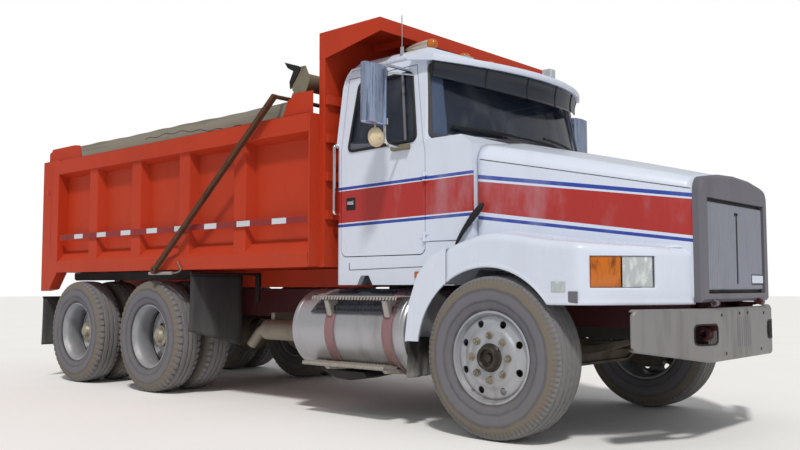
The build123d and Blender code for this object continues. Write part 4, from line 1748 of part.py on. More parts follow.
def tailgate():
    """A ribbed gate behind the posts, hung from arms at its top."""
    front = behind(POST_BACK) - GATE_GAP
    back = behind(REAR_END_BACK)
    inside = front - GATE_WALL
    panel = block((inside, front), (-GATE_HALF_WIDTH, GATE_HALF_WIDTH), (GATE_LOW, GATE_HIGH))
    beams = [
        block((back, inside), (-GATE_HALF_WIDTH, GATE_HALF_WIDTH), (z, z + GATE_FRAME))
        for z in (GATE_LOW, GATE_HIGH - GATE_FRAME)
    ]
    pitch = (2 * GATE_HALF_WIDTH - GATE_RIB_WIDTH) / (GATE_RIB_COUNT - 1)
    ribs = [
        block((back, inside), (-GATE_HALF_WIDTH + i * pitch, -GATE_HALF_WIDTH + i * pitch + GATE_RIB_WIDTH),
              (GATE_LOW, GATE_HIGH))
        for i in range(GATE_RIB_COUNT)
    ]
    gate = fused([panel, *beams, *ribs])
    x = behind(GATE_PIVOT_BACK)
    for side in (-1, 1):
        span = (side * GATE_ARM_IN, side * GATE_ARM_OUT)
        arm = prism_y([
            (x - GATE_ARM_RADIUS, GATE_PIVOT_Z), (x, GATE_PIVOT_Z - GATE_ARM_RADIUS),
            (front, GATE_HIGH), (front, GATE_HIGH - GATE_FRAME), (back, GATE_HIGH - GATE_FRAME),
            (back, GATE_HIGH),
        ], span) + rod_y(x, GATE_PIVOT_Z, GATE_ARM_RADIUS, span)
        gate = gate + arm
        gate = gate - rod_y(x, GATE_PIVOT_Z, GATE_PIN_RADIUS + RUNNING_GAP, span)
    return gate


def tarp_bow():
    """Two flat arms and the cross tube that draws the tarp over the bed."""
    foot = Vector(behind(BOW_PIVOT_BACK), 0, BOW_PIVOT_Z)
    tip = Vector(behind(BOW_TIP_BACK), 0, BOW_TIP_Z)
    along = (tip - foot).normalized()
    across = Vector(-along.Z, 0, along.X) * (BOW_BAR_WIDTH / 2)
    corners = [foot + across, tip + across, tip - across, foot - across]
    arm = prism_y([(p.X, p.Z) for p in corners], right(BOW_IN, BOW_OUT))
    arm = arm + rod_y(foot.X, foot.Z, BOW_BOSS_RADIUS, right(BOW_IN, BOW_OUT))
    arm = arm + rod_y(tip.X, tip.Z, BOW_BAR_WIDTH / 2, right(BOW_IN, BOW_OUT))
    arm = arm - rod_y(foot.X, foot.Z, BOW_PIN_RADIUS + RUNNING_GAP, right(BOW_IN, BOW_OUT))
    cross = rod_y(tip.X, tip.Z, BOW_TUBE_RADIUS, (-BOW_IN, BOW_IN))
    return fused([arm, left(arm), cross])


# Hoist
def hoist_stage(index):
    """One sleeve of the telescopic cylinder: 0 is the barrel on its trunnion, 3 carries the eye."""
    x = behind(HOIST_BACK)
    radius = HOIST_RADII[index]
    low = HOIST_BASE_Z + HOIST_PIN_RADIUS + (index + 1) * HOIST_STAGE_STEP
    high = HOIST_TOP_Z + index * HOIST_STAGE_STEP
    body = rod((x, 0, low), (x, 0, high), radius)
    if index < len(HOIST_RADII) - 1:
        bore_low = HOIST_BASE_Z + HOIST_PIN_RADIUS + (index + 2) * HOIST_STAGE_STEP - SEAT_GAP
        body = body - rod((x, 0, bore_low), (x, 0, high + CUT_OVERRUN), HOIST_RADII[index + 1] + HOIST_TUBE_GAP)
    else:
        body = body + rod((x, 0, high), (x, 0, HOIST_EYE_Z), HOIST_EYE_HALF)
        eye = rod_y(x, HOIST_EYE_Z, HOIST_EYE_RADIUS, (-HOIST_EYE_HALF, HOIST_EYE_HALF))
        body = fused([body, eye]) - rod_y(x, HOIST_EYE_Z, HOIST_PIN_RADIUS, (-HOIST_EYE_HALF, HOIST_EYE_HALF))
    if index == 0:
        foot = rod((x, 0, HOIST_BASE_Z), (x, 0, low), HOIST_EYE_RADIUS)
        trunnion = rod_y(x, HOIST_BASE_Z, HOIST_PIN_RADIUS, (-HOIST_TRUNNION_HALF, HOIST_TRUNNION_HALF))
        body = fused([body, foot, trunnion])
    return body


def placed_wheel(shape, back, radius, is_left):
    shape = Pos(behind(back), 0, radius) * shape
    return shape if is_left else left(shape)


def build():
    """All nodes by name, each a piece or a list of pieces that don't touch."""
    nodes = {
        "frame": frame(),
        "front_bumper": front_bumper(),
        "front_axle": front_axle(),
        "suspension": suspension(),
        "drive_axles": drive_axles(),
        "drive_shafts": drive_shafts(),
        "engine_block": engine_block(),
        "radiator": radiator(),
        "fuel_tanks": both(fuel_tank()),
        "tank_mounts": both(tank_mounts()),
        "muffler": muffler(),
        "flap_hangers": flap_hangers(),
        "mud_flaps": mud_flaps(),
        "cab_shell": cab_shell(),
        "cab_interior": cab_interior(),
        "cab_glass": cab_glass(),
        "sun_visor": sun_visor(),
        "roof_lights": roof_lights(),
        "grab_handles": grab_handles(),
        "hood_shell": hood_shell(),
        "headlamps": headlamps(),
        "grille_surround": grille_surround(),
        "grille_bars": grille_bars(),
        "tie_rod": tie_rod(),
        "bed_floor": bed_floor(),
        "bed_sills": bed_sills(),
        "bed_front": bed_front(),
        "bed_posts": bed_posts(),
        "cab_shield": cab_shield(),
        "sideboards": sideboards(),
        "tarp_housing": tarp_housing(),
        "tailgate": tailgate(),
        "tarp_bow": tarp_bow(),
        "hoist_barrel": hoist_stage(0),
        "hoist_stage_1": hoist_stage(1),
        "hoist_stage_2": hoist_stage(2),
        "hoist_rod": hoist_stage(3),
    }
    side_panel = fused([bed_side(), tarp_spring()])
    right_door, right_glass, right_mirror = door(), door_glass(), mirror_set()
    left_knuckle = knuckle()
    front, rear = front_wheel(), rear_wheels()
    front_tyre = Pos(0, FRONT_TYRE_Y, 0) * tyre(FRONT_TYRE_RADIUS, FRONT_TYRE_WIDTH)
    rear_tyre = tyre(REAR_TYRE_RADIUS, REAR_TYRE_WIDTH)
    pair = [Pos(0, y, 0) * rear_tyre for y in (REAR_INNER_TYRE_Y, REAR_OUTER_TYRE_Y)]
    for name, is_left in (("left", True), ("right", False)):
        def turn(shape, on_left=is_left):
            return left(shape) if on_left else shape
        nodes[f"bed_side_{name}"] = turn(side_panel)
        nodes[f"door_{name}"] = turn(right_door)
        nodes[f"door_glass_{name}"] = turn(right_glass)
        nodes[f"mirror_{name}"] = turn(right_mirror)
        nodes[f"knuckle_{name}"] = left_knuckle if is_left else left(left_knuckle)
        nodes[f"front_wheel_{name}"] = placed_wheel(front, 0, FRONT_TYRE_RADIUS, is_left)
        nodes[f"front_tyre_{name}"] = placed_wheel(front_tyre, 0, FRONT_TYRE_RADIUS, is_left)
        for place, back in (("mid", MID_AXLE_BACK), ("rear", REAR_AXLE_BACK)):
            nodes[f"{place}_wheels_{name}"] = placed_wheel(rear, back, REAR_TYRE_RADIUS, is_left)
            nodes[f"{place}_tyres_{name}"] = [
                placed_wheel(one, back, REAR_TYRE_RADIUS, is_left) for one in pair]
    return nodes


def main():
    os.makedirs("parts", exist_ok=True)
    for name, shape in build().items():
        pieces = shape if isinstance(shape, list) else [shape]
        solids = [solid for piece in pieces for solid in piece.solids()]
        export_step(Compound(children=solids), os.path.join("parts", f"{name}.step"))


main()
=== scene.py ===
"""Looks of a tandem-axle dump truck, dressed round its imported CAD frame.

Lengths are metres in the frame's own axes: X forward, Y to the truck's left, Z up.
"""
from __future__ import annotations

import logging
import math
from dataclasses import dataclass
from enum import Enum
from typing import ClassVar

import bmesh
import bpy
import numpy as np
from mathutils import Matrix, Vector

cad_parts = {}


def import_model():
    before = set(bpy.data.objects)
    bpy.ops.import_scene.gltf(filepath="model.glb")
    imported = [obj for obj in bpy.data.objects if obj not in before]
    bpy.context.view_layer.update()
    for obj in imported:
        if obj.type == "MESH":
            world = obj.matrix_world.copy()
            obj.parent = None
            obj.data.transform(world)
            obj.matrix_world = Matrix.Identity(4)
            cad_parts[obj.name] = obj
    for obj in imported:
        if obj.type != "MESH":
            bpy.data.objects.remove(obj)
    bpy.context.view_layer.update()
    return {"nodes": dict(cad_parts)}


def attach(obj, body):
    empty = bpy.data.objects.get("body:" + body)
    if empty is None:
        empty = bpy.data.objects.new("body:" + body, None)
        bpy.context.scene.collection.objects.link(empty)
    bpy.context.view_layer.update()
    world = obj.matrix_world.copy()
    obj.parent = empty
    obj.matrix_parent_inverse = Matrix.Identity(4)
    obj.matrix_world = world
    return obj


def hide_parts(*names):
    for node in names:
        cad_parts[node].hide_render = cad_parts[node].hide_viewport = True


LOG = logging.getLogger("dump_truck")
AXLE_X = 2.465
MID_AXLE_X = AXLE_X - 3.914
REAR_AXLE_X = AXLE_X - 5.264
Array = np.ndarray
Pair = tuple[float, float]
Point = tuple[float, float, float]


class Side(Enum):
    """The truck's two sides. Pieces are drawn on the right and mirrored to the left."""

    RIGHT = "right"
    LEFT = "left"


def tone(red: float, green: float, blue: float) -> tuple[float, float, float, float]:
    """Turns a display colour of 0 to 255 into the linear colour that a shader takes.

    Dark shares are divided by 12.92; the others are raised to the power 2.4 after an offset of 0.055.

    Args:
        red: Red, 0 to 255.
        green: Green, 0 to 255.
        blue: Blue, 0 to 255.

    Returns:
        Linear red, green and blue with full opacity.
    """
    share = np.array([red, green, blue]) / 255.0
    linear = np.where(share <= 0.04045, share / 12.92, ((share + 0.055) / 1.055) ** 2.4)
    return (*(float(v) for v in linear), 1.0)


class Graph:
    """The node tree of one material, with short calls for the nodes that the finishes use."""

    def __init__(self, name: str) -> None:
        """Starts an empty material with a Principled shader."""
        self.material = bpy.data.materials.new(name)
        self.material.use_nodes = True
        self.nodes = self.material.node_tree.nodes
        self.links = self.material.node_tree.links
        self.shader = self.nodes["Principled BSDF"]
        self.place = self.nodes.new("ShaderNodeTexCoord").outputs["Object"]

    def put(self, socket, value) -> None:
        """Links a socket to another, or sets its plain value."""
        if isinstance(value, bpy.types.NodeSocket):
            self.links.new(value, socket)
        else:
            socket.default_value = value

    def stretched(self, scale: Point):
        """Object coordinates, scaled along each axis."""
        node = self.nodes.new("ShaderNodeMapping")
        self.put(node.inputs["Vector"], self.place)
        node.inputs["Scale"].default_value = scale
        return node.outputs["Vector"]

    def noise(self, vector, scale: float, detail: float = 4.0, rough: float = 0.55):
        """A noise pattern between 0 and 1."""
        node = self.nodes.new("ShaderNodeTexNoise")
        self.put(node.inputs["Vector"], vector)
        node.inputs["Scale"].default_value = scale
        node.inputs["Detail"].default_value = detail
        node.inputs["Roughness"].default_value = rough
        return node.outputs["Fac"]

    def cells(self, vector, scale: float):
        """The distance to the nearest of many scattered points."""
        node = self.nodes.new("ShaderNodeTexVoronoi")
        self.put(node.inputs["Vector"], vector)
        node.inputs["Scale"].default_value = scale
        return node.outputs["Distance"]

    def math(self, kind: str, first, second=0.0):
        """One Math node."""
        node = self.nodes.new("ShaderNodeMath")
        node.operation = kind
        self.put(node.inputs[0], first)
        self.put(node.inputs[1], second)
        return node.outputs[0]

    def span(self, value, low: float, high: float, to_low: float = 0.0, to_high: float = 1.0):
        """Maps a range to another, clamped and eased."""
        node = self.nodes.new("ShaderNodeMapRange")
        node.interpolation_type = "SMOOTHSTEP"
        for socket, item in zip(node.inputs, (value, low, high, to_low, to_high)):
            self.put(socket, item)
        return node.outputs["Result"]

    def blend(self, share, first, second):
        """Mixes two colours."""
        node = self.nodes.new("ShaderNodeMix")
        node.data_type = "RGBA"
        self.put(node.inputs[0], share)
        self.put(node.inputs[6], first)
        self.put(node.inputs[7], second)
        return node.outputs[2]

    def axes(self):
        """The X, Y and Z of the surface point."""
        node = self.nodes.new("ShaderNodeSeparateXYZ")
        self.put(node.inputs[0], self.place)
        return node.outputs

    def bumped(self, height, strength: float, distance: float) -> None:
        """Feeds a height pattern to the shader's normal."""
        node = self.nodes.new("ShaderNodeBump")
        node.inputs["Strength"].default_value = strength
        node.inputs["Distance"].default_value = distance
        self.put(node.inputs["Height"], height)
        self.put(self.shader.inputs["Normal"], node.outputs["Normal"])


@dataclass(frozen=True)
class Finish:
    """A solid finish with drifting colour, dust that thickens downwards, grain and streaks.

    colour, the second colour (worn patches on most finishes, a painted highlight on the clear lenses and a
    painted reflection on the mirror chrome) and dust are display colours. The second colour's share and
    dust_share say how much of each shows, dust_top is the height at which the dust has faded out, and streak
    stretches the pattern.
    """

    name: str
    slot: str
    colour: Point
    wear_and_sheen: Point
    roughness: float = 0.45
    metallic: float = 0.0
    wear_and_sheen_share: float = 0.25
    dust: Point = (150, 138, 120)
    dust_share: float = 0.25
    dust_top: float = 1.3
    grain: float = 3.0
    streak: Point = (1.0, 1.0, 0.35)
    bump: float = 0.08
    bump_scale: float = 90.0
    coat: float = 0.0
    specular: float = 0.35

    def painted(self, graph: Graph):
        """The clean colour before wear, painted sheen and dust; a striped finish replaces it."""
        return tone(*self.colour)

    def material(self) -> bpy.types.Material:
        """Builds the node tree."""
        graph = Graph(self.name)
        vector = graph.stretched(self.streak)
        broad = graph.noise(vector, self.grain, 6.0, 0.6)
        fine = graph.noise(graph.place, self.bump_scale, 5.0, 0.65)
        # Patches of the second colour: worn paint on most finishes, a painted highlight on the clear lenses
        # and a painted reflection on the mirror chrome.
        patch = graph.span(broad, 0.48, 0.72)
        wear_and_sheen = graph.math("MULTIPLY", patch, self.wear_and_sheen_share * 2)
        colour = graph.blend(wear_and_sheen, self.painted(graph), tone(*self.wear_and_sheen))
        height = graph.span(graph.axes()[2], 0.0, self.dust_top, 1.0, 0.0)
        spread = graph.math("MULTIPLY", height,
                            graph.span(graph.noise(vector, self.grain * 2.3), 0.25, 0.75, 0.4, 1.3))
        dust = graph.math("MULTIPLY", spread, self.dust_share * 2)
        colour = graph.blend(graph.math("MINIMUM", dust, 1.0), colour, tone(*self.dust))
        shader = graph.shader.inputs
        graph.put(shader["Base Color"], colour)
        rough = graph.math("ADD", graph.span(broad, 0.3, 0.7, self.roughness - 0.07, self.roughness + 0.09),
                           graph.math("MULTIPLY", dust, 0.35))
        graph.put(shader["Roughness"], rough)
        shader["Metallic"].default_value = self.metallic
        shader["Specular IOR Level"].default_value = self.specular
        shader["Coat Weight"].default_value = self.coat
        shader["Coat Roughness"].default_value = 0.12
        if self.bump:
            graph.bumped(fine, self.bump, 0.002)
        return graph.material


@dataclass(frozen=True)
class Band:
    """A painted band: its colour, and its lower and upper edge as a height and a slope along X."""

    colour: Point
    low: Pair
    high: Pair


@dataclass(frozen=True)
class StripedFinish(Finish):
    """Paint with bands that run along the sides of the truck, outside a given half width."""

    bands: tuple[Band, ...] = ()
    origin: float = 0.0
    least_half_width: float = 0.3

    def painted(self, graph: Graph):
        """Lays each band over the plain colour, where the point lies between its two edges."""
        x, y, z = graph.axes()[:3]
        run = graph.math("SUBTRACT", x, self.origin)
        outside = graph.math("GREATER_THAN", graph.math("ABSOLUTE", y), self.least_half_width)
        colour = tone(*self.colour)
        for band in self.bands:
            low = graph.math("ADD", graph.math("MULTIPLY", run, band.low[1]), band.low[0])
            high = graph.math("ADD", graph.math("MULTIPLY", run, band.high[1]), band.high[0])
            inside = graph.math("MULTIPLY", graph.math("GREATER_THAN", z, low),
                                graph.math("LESS_THAN", z, high))
            colour = graph.blend(graph.math("MULTIPLY", inside, outside), colour, tone(*band.colour))
        return colour


@dataclass(frozen=True)
class TyreFinish(Finish):
    """Dusty rubber: a bluish sidewall, a brown dusty shoulder and a pale tread, in rings round one axle.

    centre is the axle's X and Z; rings are radii with the display colour that starts there.
    """

    centre: Pair = (0.0, 0.0)
    rings: tuple[tuple[float, Point], ...] = ()

    def painted(self, graph: Graph):
        """Steps through the rings by the distance from the axle."""
        x, _, z = graph.axes()[:3]
        across, up = graph.math("SUBTRACT", x, self.centre[0]), graph.math("SUBTRACT", z, self.centre[1])
        square = graph.math("ADD", graph.math("MULTIPLY", across, across), graph.math("MULTIPLY", up, up))
        ripple = graph.math("MULTIPLY", graph.math("SUBTRACT", graph.noise(graph.place, 9.0), 0.5), 0.03)
        radius = graph.math("ADD", graph.math("SQRT", square), ripple)
        colour = tone(*self.colour)
        for start, shade in self.rings:
            colour = graph.blend(graph.span(radius, start - 0.010, start + 0.010), colour, tone(*shade))
        return colour


def tyre_finish(name: str, x: float, z: float) -> TyreFinish:
    """The tyres' finish for one axle."""
    return TyreFinish(
        name, "tyre", (72, 72, 76), (118, 116, 116), roughness=0.85, wear_and_sheen_share=0.22, grain=6.0,
        streak=(1, 1, 1), bump=0.25, bump_scale=160, dust=(128, 122, 112), dust_share=0.12, dust_top=1.2,
        specular=0.2, centre=(x, z),
        rings=((0.310, (104, 104, 112)), (0.352, (84, 84, 92)), (0.366, (110, 110, 118)),
               (0.425, (92, 90, 94)),
               (0.442, (118, 110, 100)), (0.486, (108, 106, 106)), (0.500, (122, 121, 124))))


STRIPE_RED = (172, 48, 44)
STRIPE_BLUE = (48, 72, 162)
HOOD_BANDS = (
    Band(STRIPE_BLUE, (1.709, -0.1380), (1.737, -0.1402)),
    Band(STRIPE_RED, (1.485, -0.1480), (1.692, -0.1342)),
    Band(STRIPE_BLUE, (1.434, -0.1399), (1.458, -0.1420)),
)
DOOR_BANDS = (
    Band(STRIPE_BLUE, (1.716, 0.0188), (1.738, 0.0188)),
    Band(STRIPE_RED, (1.463, 0.0188), (1.708, 0.0188)),
    Band(STRIPE_BLUE, (1.431, 0.0188), (1.453, 0.0188)),
)
WHITE = dict(colour=(214, 222, 238), wear_and_sheen=(190, 197, 214), roughness=0.3, wear_and_sheen_share=0.12, coat=0.25,
    dust_share=0.10, dust=(176, 168, 158), bump=0.03)
HOOD_WHITE = StripedFinish("hood_white", "cab_white", bands=HOOD_BANDS, origin=AXLE_X - 0.246, **WHITE)
CAB_WHITE = StripedFinish("cab_white", "cab_white", bands=DOOR_BANDS, origin=AXLE_X - 1.5,
    least_half_width=1.035, **WHITE)
PLAIN_WHITE = Finish("plain_white", "cab_white", **WHITE)
BED_RED = Finish("bed_orange_red", "bed_red", (186, 58, 30), (164, 54, 34), roughness=0.45, specular=0.22,
    wear_and_sheen_share=0.22, dust=(150, 84, 62), dust_share=0.12, dust_top=2.2, grain=1.8, bump=0.10)
# Frame maroon: set about as dark as the frame looks in the gap under the hood, so partly the frame's own
# maroon paint and partly painted shade.
FRAME_RED = Finish("frame_maroon", "frame_red", (74, 26, 32), (48, 26, 28), roughness=0.5, dust=(96, 80, 72),
    dust_share=0.12)
BUMPER = Finish("bumper_dull_silver", "bumper_steel", (140, 139, 142), (104, 101, 100), roughness=0.46,
    metallic=0.45, streak=(1.0, 1.0, 0.12), grain=9.0, wear_and_sheen_share=0.3, dust_share=0.12)
AXLE_BLACK = Finish("axle_black", "axle_black", (44, 42, 40), (70, 60, 52), roughness=0.6, metallic=0.2,
    dust_share=0.3)
ENGINE_GREY = Finish("engine_grey", "engine_grey", (72, 74, 78), (48, 44, 42), roughness=0.55, metallic=0.3)
CORE = Finish("radiator_core", "core", (40, 40, 42), (60, 58, 54), roughness=0.5, metallic=0.4,
    bump_scale=260, bump=0.4)
TANK = Finish("tank_aluminium", "tank_alu", (176, 176, 182), (140, 138, 136), roughness=0.40, metallic=0.6,
    grain=5.0, wear_and_sheen_share=0.3, dust=(112, 104, 78), dust_share=0.5, dust_top=0.62)
PIPE = Finish("weathered_pipe", "steel_pipe", (150, 144, 134), (104, 84, 66), roughness=0.5, metallic=0.7)
RUBBER = Finish("flap_rubber", "rubber", (52, 53, 58), (86, 86, 90), roughness=0.8, dust=(126, 124, 122),
    dust_share=0.2)
WORN_RUBBER = Finish("worn_flap_rubber", "rubber", (44, 43, 42), (96, 94, 90), roughness=0.8, wear_and_sheen_share=0.4,
    grain=7.0, dust=(176, 174, 170), dust_share=0.9, dust_top=0.56)
WHEEL = Finish("wheel_silver", "wheel_silver", (180, 184, 192), (140, 140, 142), roughness=0.4, metallic=0.55,
    grain=9.0, dust=(150, 136, 116), dust_share=0.2, dust_top=0.9)
WHEEL_GREASY = Finish("hub_greasy_steel", "wheel_silver", (48, 44, 42), (26, 24, 22), roughness=0.4,
    metallic=0.5, grain=22.0, wear_and_sheen_share=0.45, dust_share=0.1)
DARK_STEEL = Finish("dark_steel", "dark_steel", (44, 44, 46), (66, 60, 54), roughness=0.5, metallic=0.4)
INTERIOR = Finish("interior_plastic", "interior", (46, 46, 50), (34, 34, 36), roughness=0.6, bump=0.3,
    bump_scale=320, dust_share=0.02)
SURROUND = Finish("surround_grey", "surround", (106, 105, 114), (88, 86, 94), roughness=0.45, dust_share=0.06)
GRILLE = Finish("grille_bar_grey", "surround", (146, 149, 162), (120, 122, 132), roughness=0.4, metallic=0.3,
    dust_share=0.06)
BOARD = Finish("weathered_board", "board", (142, 138, 126), (106, 101, 90), roughness=0.85, wear_and_sheen_share=0.4,
    grain=2.4, streak=(0.25, 1.0, 6.0), bump=0.5, bump_scale=60, dust_share=0.05)
RUST = Finish("rusty_bar", "bare_rust", (92, 62, 44), (60, 42, 34), roughness=0.75, metallic=0.2, grain=14.0,
    wear_and_sheen_share=0.5, dust_share=0.05)
CHROME = Finish("chrome", "bright", (222, 224, 228), (190, 192, 196), roughness=0.12, metallic=1.0,
    wear_and_sheen_share=0.1, dust_share=0.0, bump=0.0)
POLISHED_ROD = Finish("polished_rod", "bright", (205, 206, 208), (180, 180, 182), roughness=0.18,
    metallic=1.0, dust_share=0.0, bump=0.0)
AMBER = Finish("amber_lens", "lamp", (196, 104, 8), (120, 58, 4), roughness=0.18, wear_and_sheen_share=0.5, grain=24.0,
    coat=0.6, dust_share=0.0, bump=0.0)
# Clear lens: the brighter second colour in noise patches is a painted highlight, standing in for the
# reflector's glint behind the lens.
CLEAR = Finish("clear_lens", "lamp", (176, 184, 186), (226, 230, 230), roughness=0.12, wear_and_sheen_share=0.5,
    grain=20.0, coat=0.8, dust_share=0.0, bump=0.0)
RED_LENS = Finish("red_lens", "lamp", (176, 26, 22), (140, 18, 16), roughness=0.18, coat=0.6, dust_share=0.0,
    bump=0.0)
TAPE_WHITE = Finish("tape_white", "lamp", (206, 212, 222), (170, 168, 166), roughness=0.4, bump=0.2,
    bump_scale=420, dust_share=0.05)
TAPE_RED = Finish("tape_red", "lamp", (138, 40, 40), (112, 34, 34), roughness=0.4, bump=0.2, bump_scale=420,
    dust_share=0.05)
GASKET = Finish("black_gasket", "rubber", (26, 26, 28), (40, 40, 42), roughness=0.55, dust_share=0.03)
SEAT_CLOTH = Finish("seat_cloth", "interior", (62, 60, 66), (50, 48, 54), roughness=0.9, bump=0.6,
    bump_scale=700, dust_share=0.0)
# Mirror chrome: the bluish colour and the darker blue upright streaks are a painted reflection.
MIRROR_CHROME = Finish("mirror_chrome", "bright", (176, 190, 218), (92, 106, 142), roughness=0.16,
    metallic=0.9, wear_and_sheen_share=0.5, grain=16.0, streak=(5.0, 5.0, 0.3), dust_share=0.0, bump=0.0)
BEIGE_CHROME = Finish("lamp_body", "bright", (206, 200, 188), (150, 140, 122), roughness=0.25, metallic=0.5,
    dust_share=0.0)
TREAD = Finish("step_aluminium", "tank_alu", (176, 172, 168), (120, 114, 106), roughness=0.5, metallic=0.5,
    grain=12.0)
STRAP_MAROON = Finish("strap_maroon", "frame_red", (138, 98, 110), (98, 64, 72), roughness=0.55, grain=8.0)
SMOKED = Finish("smoked_visor_panel", "glass", (40, 44, 54), (58, 62, 70), roughness=0.18, dust_share=0.05,
    bump=0.0)
CREAM = Finish("cream_mirror_back", "bright", (222, 206, 172), (188, 168, 132), roughness=0.5, grain=18.0,
    dust_share=0.0)
NUT_STEEL = Finish("nut_steel", "wheel_silver", (150, 144, 130), (104, 96, 84), roughness=0.5, metallic=0.35,
    grain=30.0, wear_and_sheen_share=0.5, dust_share=0.1)
HUB_SILVER = Finish("dusty_hub", "wheel_silver", (168, 164, 150), (108, 102, 90), roughness=0.5,
    metallic=0.35, grain=22.0, wear_and_sheen_share=0.4, dust_share=0.15)
FRAME_GASKET = Finish("grey_gasket", "rubber", (70, 66, 70), (94, 90, 94), roughness=0.6, dust_share=0.03)
# Guard grey: darkened to the shade the sheet lies in under the step, so partly its own bluish grey and partly
# painted shade.
GUARD_GREY = Finish("guard_grey", "tank_alu", (70, 73, 84), (96, 98, 106), roughness=0.55, metallic=0.2,
    dust_share=0.05)
BEIGE = Finish("beige_plate", "dark_steel", (128, 120, 102), (104, 92, 78), roughness=0.6, metallic=0.2,
    grain=8.0, wear_and_sheen_share=0.35)


@dataclass(frozen=True)
class Glass:
    """Tinted window glass: mostly dark and glossy, with a little seen through it."""

    name: str
    slot: str
    colour: Point
    see_through: float

    def material(self) -> bpy.types.Material:
        """Mixes a dark glossy surface with a tinted see-through one, streaked by faint dust."""
        graph = Graph(self.name)
        film = graph.noise(graph.stretched((1.0, 1.0, 0.4)), 7.0)
        colour = graph.blend(graph.span(film, 0.45, 0.8, 0.0, 0.35), tone(*self.colour), tone(120, 122, 128))
        graph.put(graph.shader.inputs["Base Color"], colour)
        graph.put(graph.shader.inputs["Roughness"], graph.span(film, 0.3, 0.8, 0.04, 0.14))
        graph.shader.inputs["Alpha"].default_value = 1.0 - self.see_through
        graph.shader.inputs["Specular IOR Level"].default_value = 0.6
        return graph.material


WINDSHIELD = Glass("windshield_glass", "glass", (38, 46, 62), 0.35)
CORNER_GLASS = Glass("corner_glass", "glass", (66, 82, 110), 0.10)


class Paintshop:
    """Makes each finish's material once and hands it out."""

    def __init__(self) -> None:
        """Starts with no material made."""
        self._made: dict[str, bpy.types.Material] = {}

    def get(self, finish: Finish | Glass) -> bpy.types.Material:
        """Returns the finish's material."""
        if finish.name not in self._made:
            self._made[finish.name] = finish.material()
        return self._made[finish.name]

    def dress(self, node: bpy.types.Object, finish: Finish | Glass) -> None:
        """Gives a carried-over CAD node its finish."""
        for slot in node.material_slots:
            slot.material = self.get(finish)


def smooth_curve(points: Array, count: int) -> Array:
    """Points along a curve through the given ones.

    Each span is a cubic whose slope at a point is half the chord between that point's neighbours.

    Args:
        points: The points to pass through, one row each.
        count: How many points to return.

    Returns:
        The curve's points, one row each.
    """
    points = np.asarray(points, float)
    ends = np.vstack([2 * points[0] - points[1], points, 2 * points[-1] - points[-2]])
    run = np.linspace(0, len(points) - 1, count)
    at = np.minimum(run.astype(int), len(points) - 2)
    f = (run - at)[:, None]
    a, b, c, d = ends[at], ends[at + 1], ends[at + 2], ends[at + 3]
    return 0.5 * (2 * b + (c - a) * f + (2 * a - 5 * b + 4 * c - d) * f**2 + (3 * b - a - 3 * c + d) * f**3)


def rounded(points: Array, radius: float, steps: int = 5) -> Array:
    """A closed outline with each corner eased by a parabola that starts a radius before it.

    Args:
        points: The outline's corners in order, one row each.
        radius: How far from a corner its curve starts, at most 45% of the shorter edge.
        steps: Points on each corner.

    Returns:
        The eased outline's points.
    """
    points = np.asarray(points, float)
    before, after = np.roll(points, 1, 0) - points, np.roll(points, -1, 0) - points
    long_b, long_a = np.linalg.norm(before, axis=1), np.linalg.norm(after, axis=1)
    reach = np.minimum(radius, 0.45 * np.minimum(long_b, long_a))[:, None]
    start, end = points + before / long_b[:, None] * reach, points + after / long_a[:, None] * reach
    t = np.linspace(0, 1, steps)[None, :, None]
    curve = (1 - t) ** 2 * start[:, None] + 2 * t * (1 - t) * points[:, None] + t**2 * end[:, None]
    return curve.reshape(-1, points.shape[1])


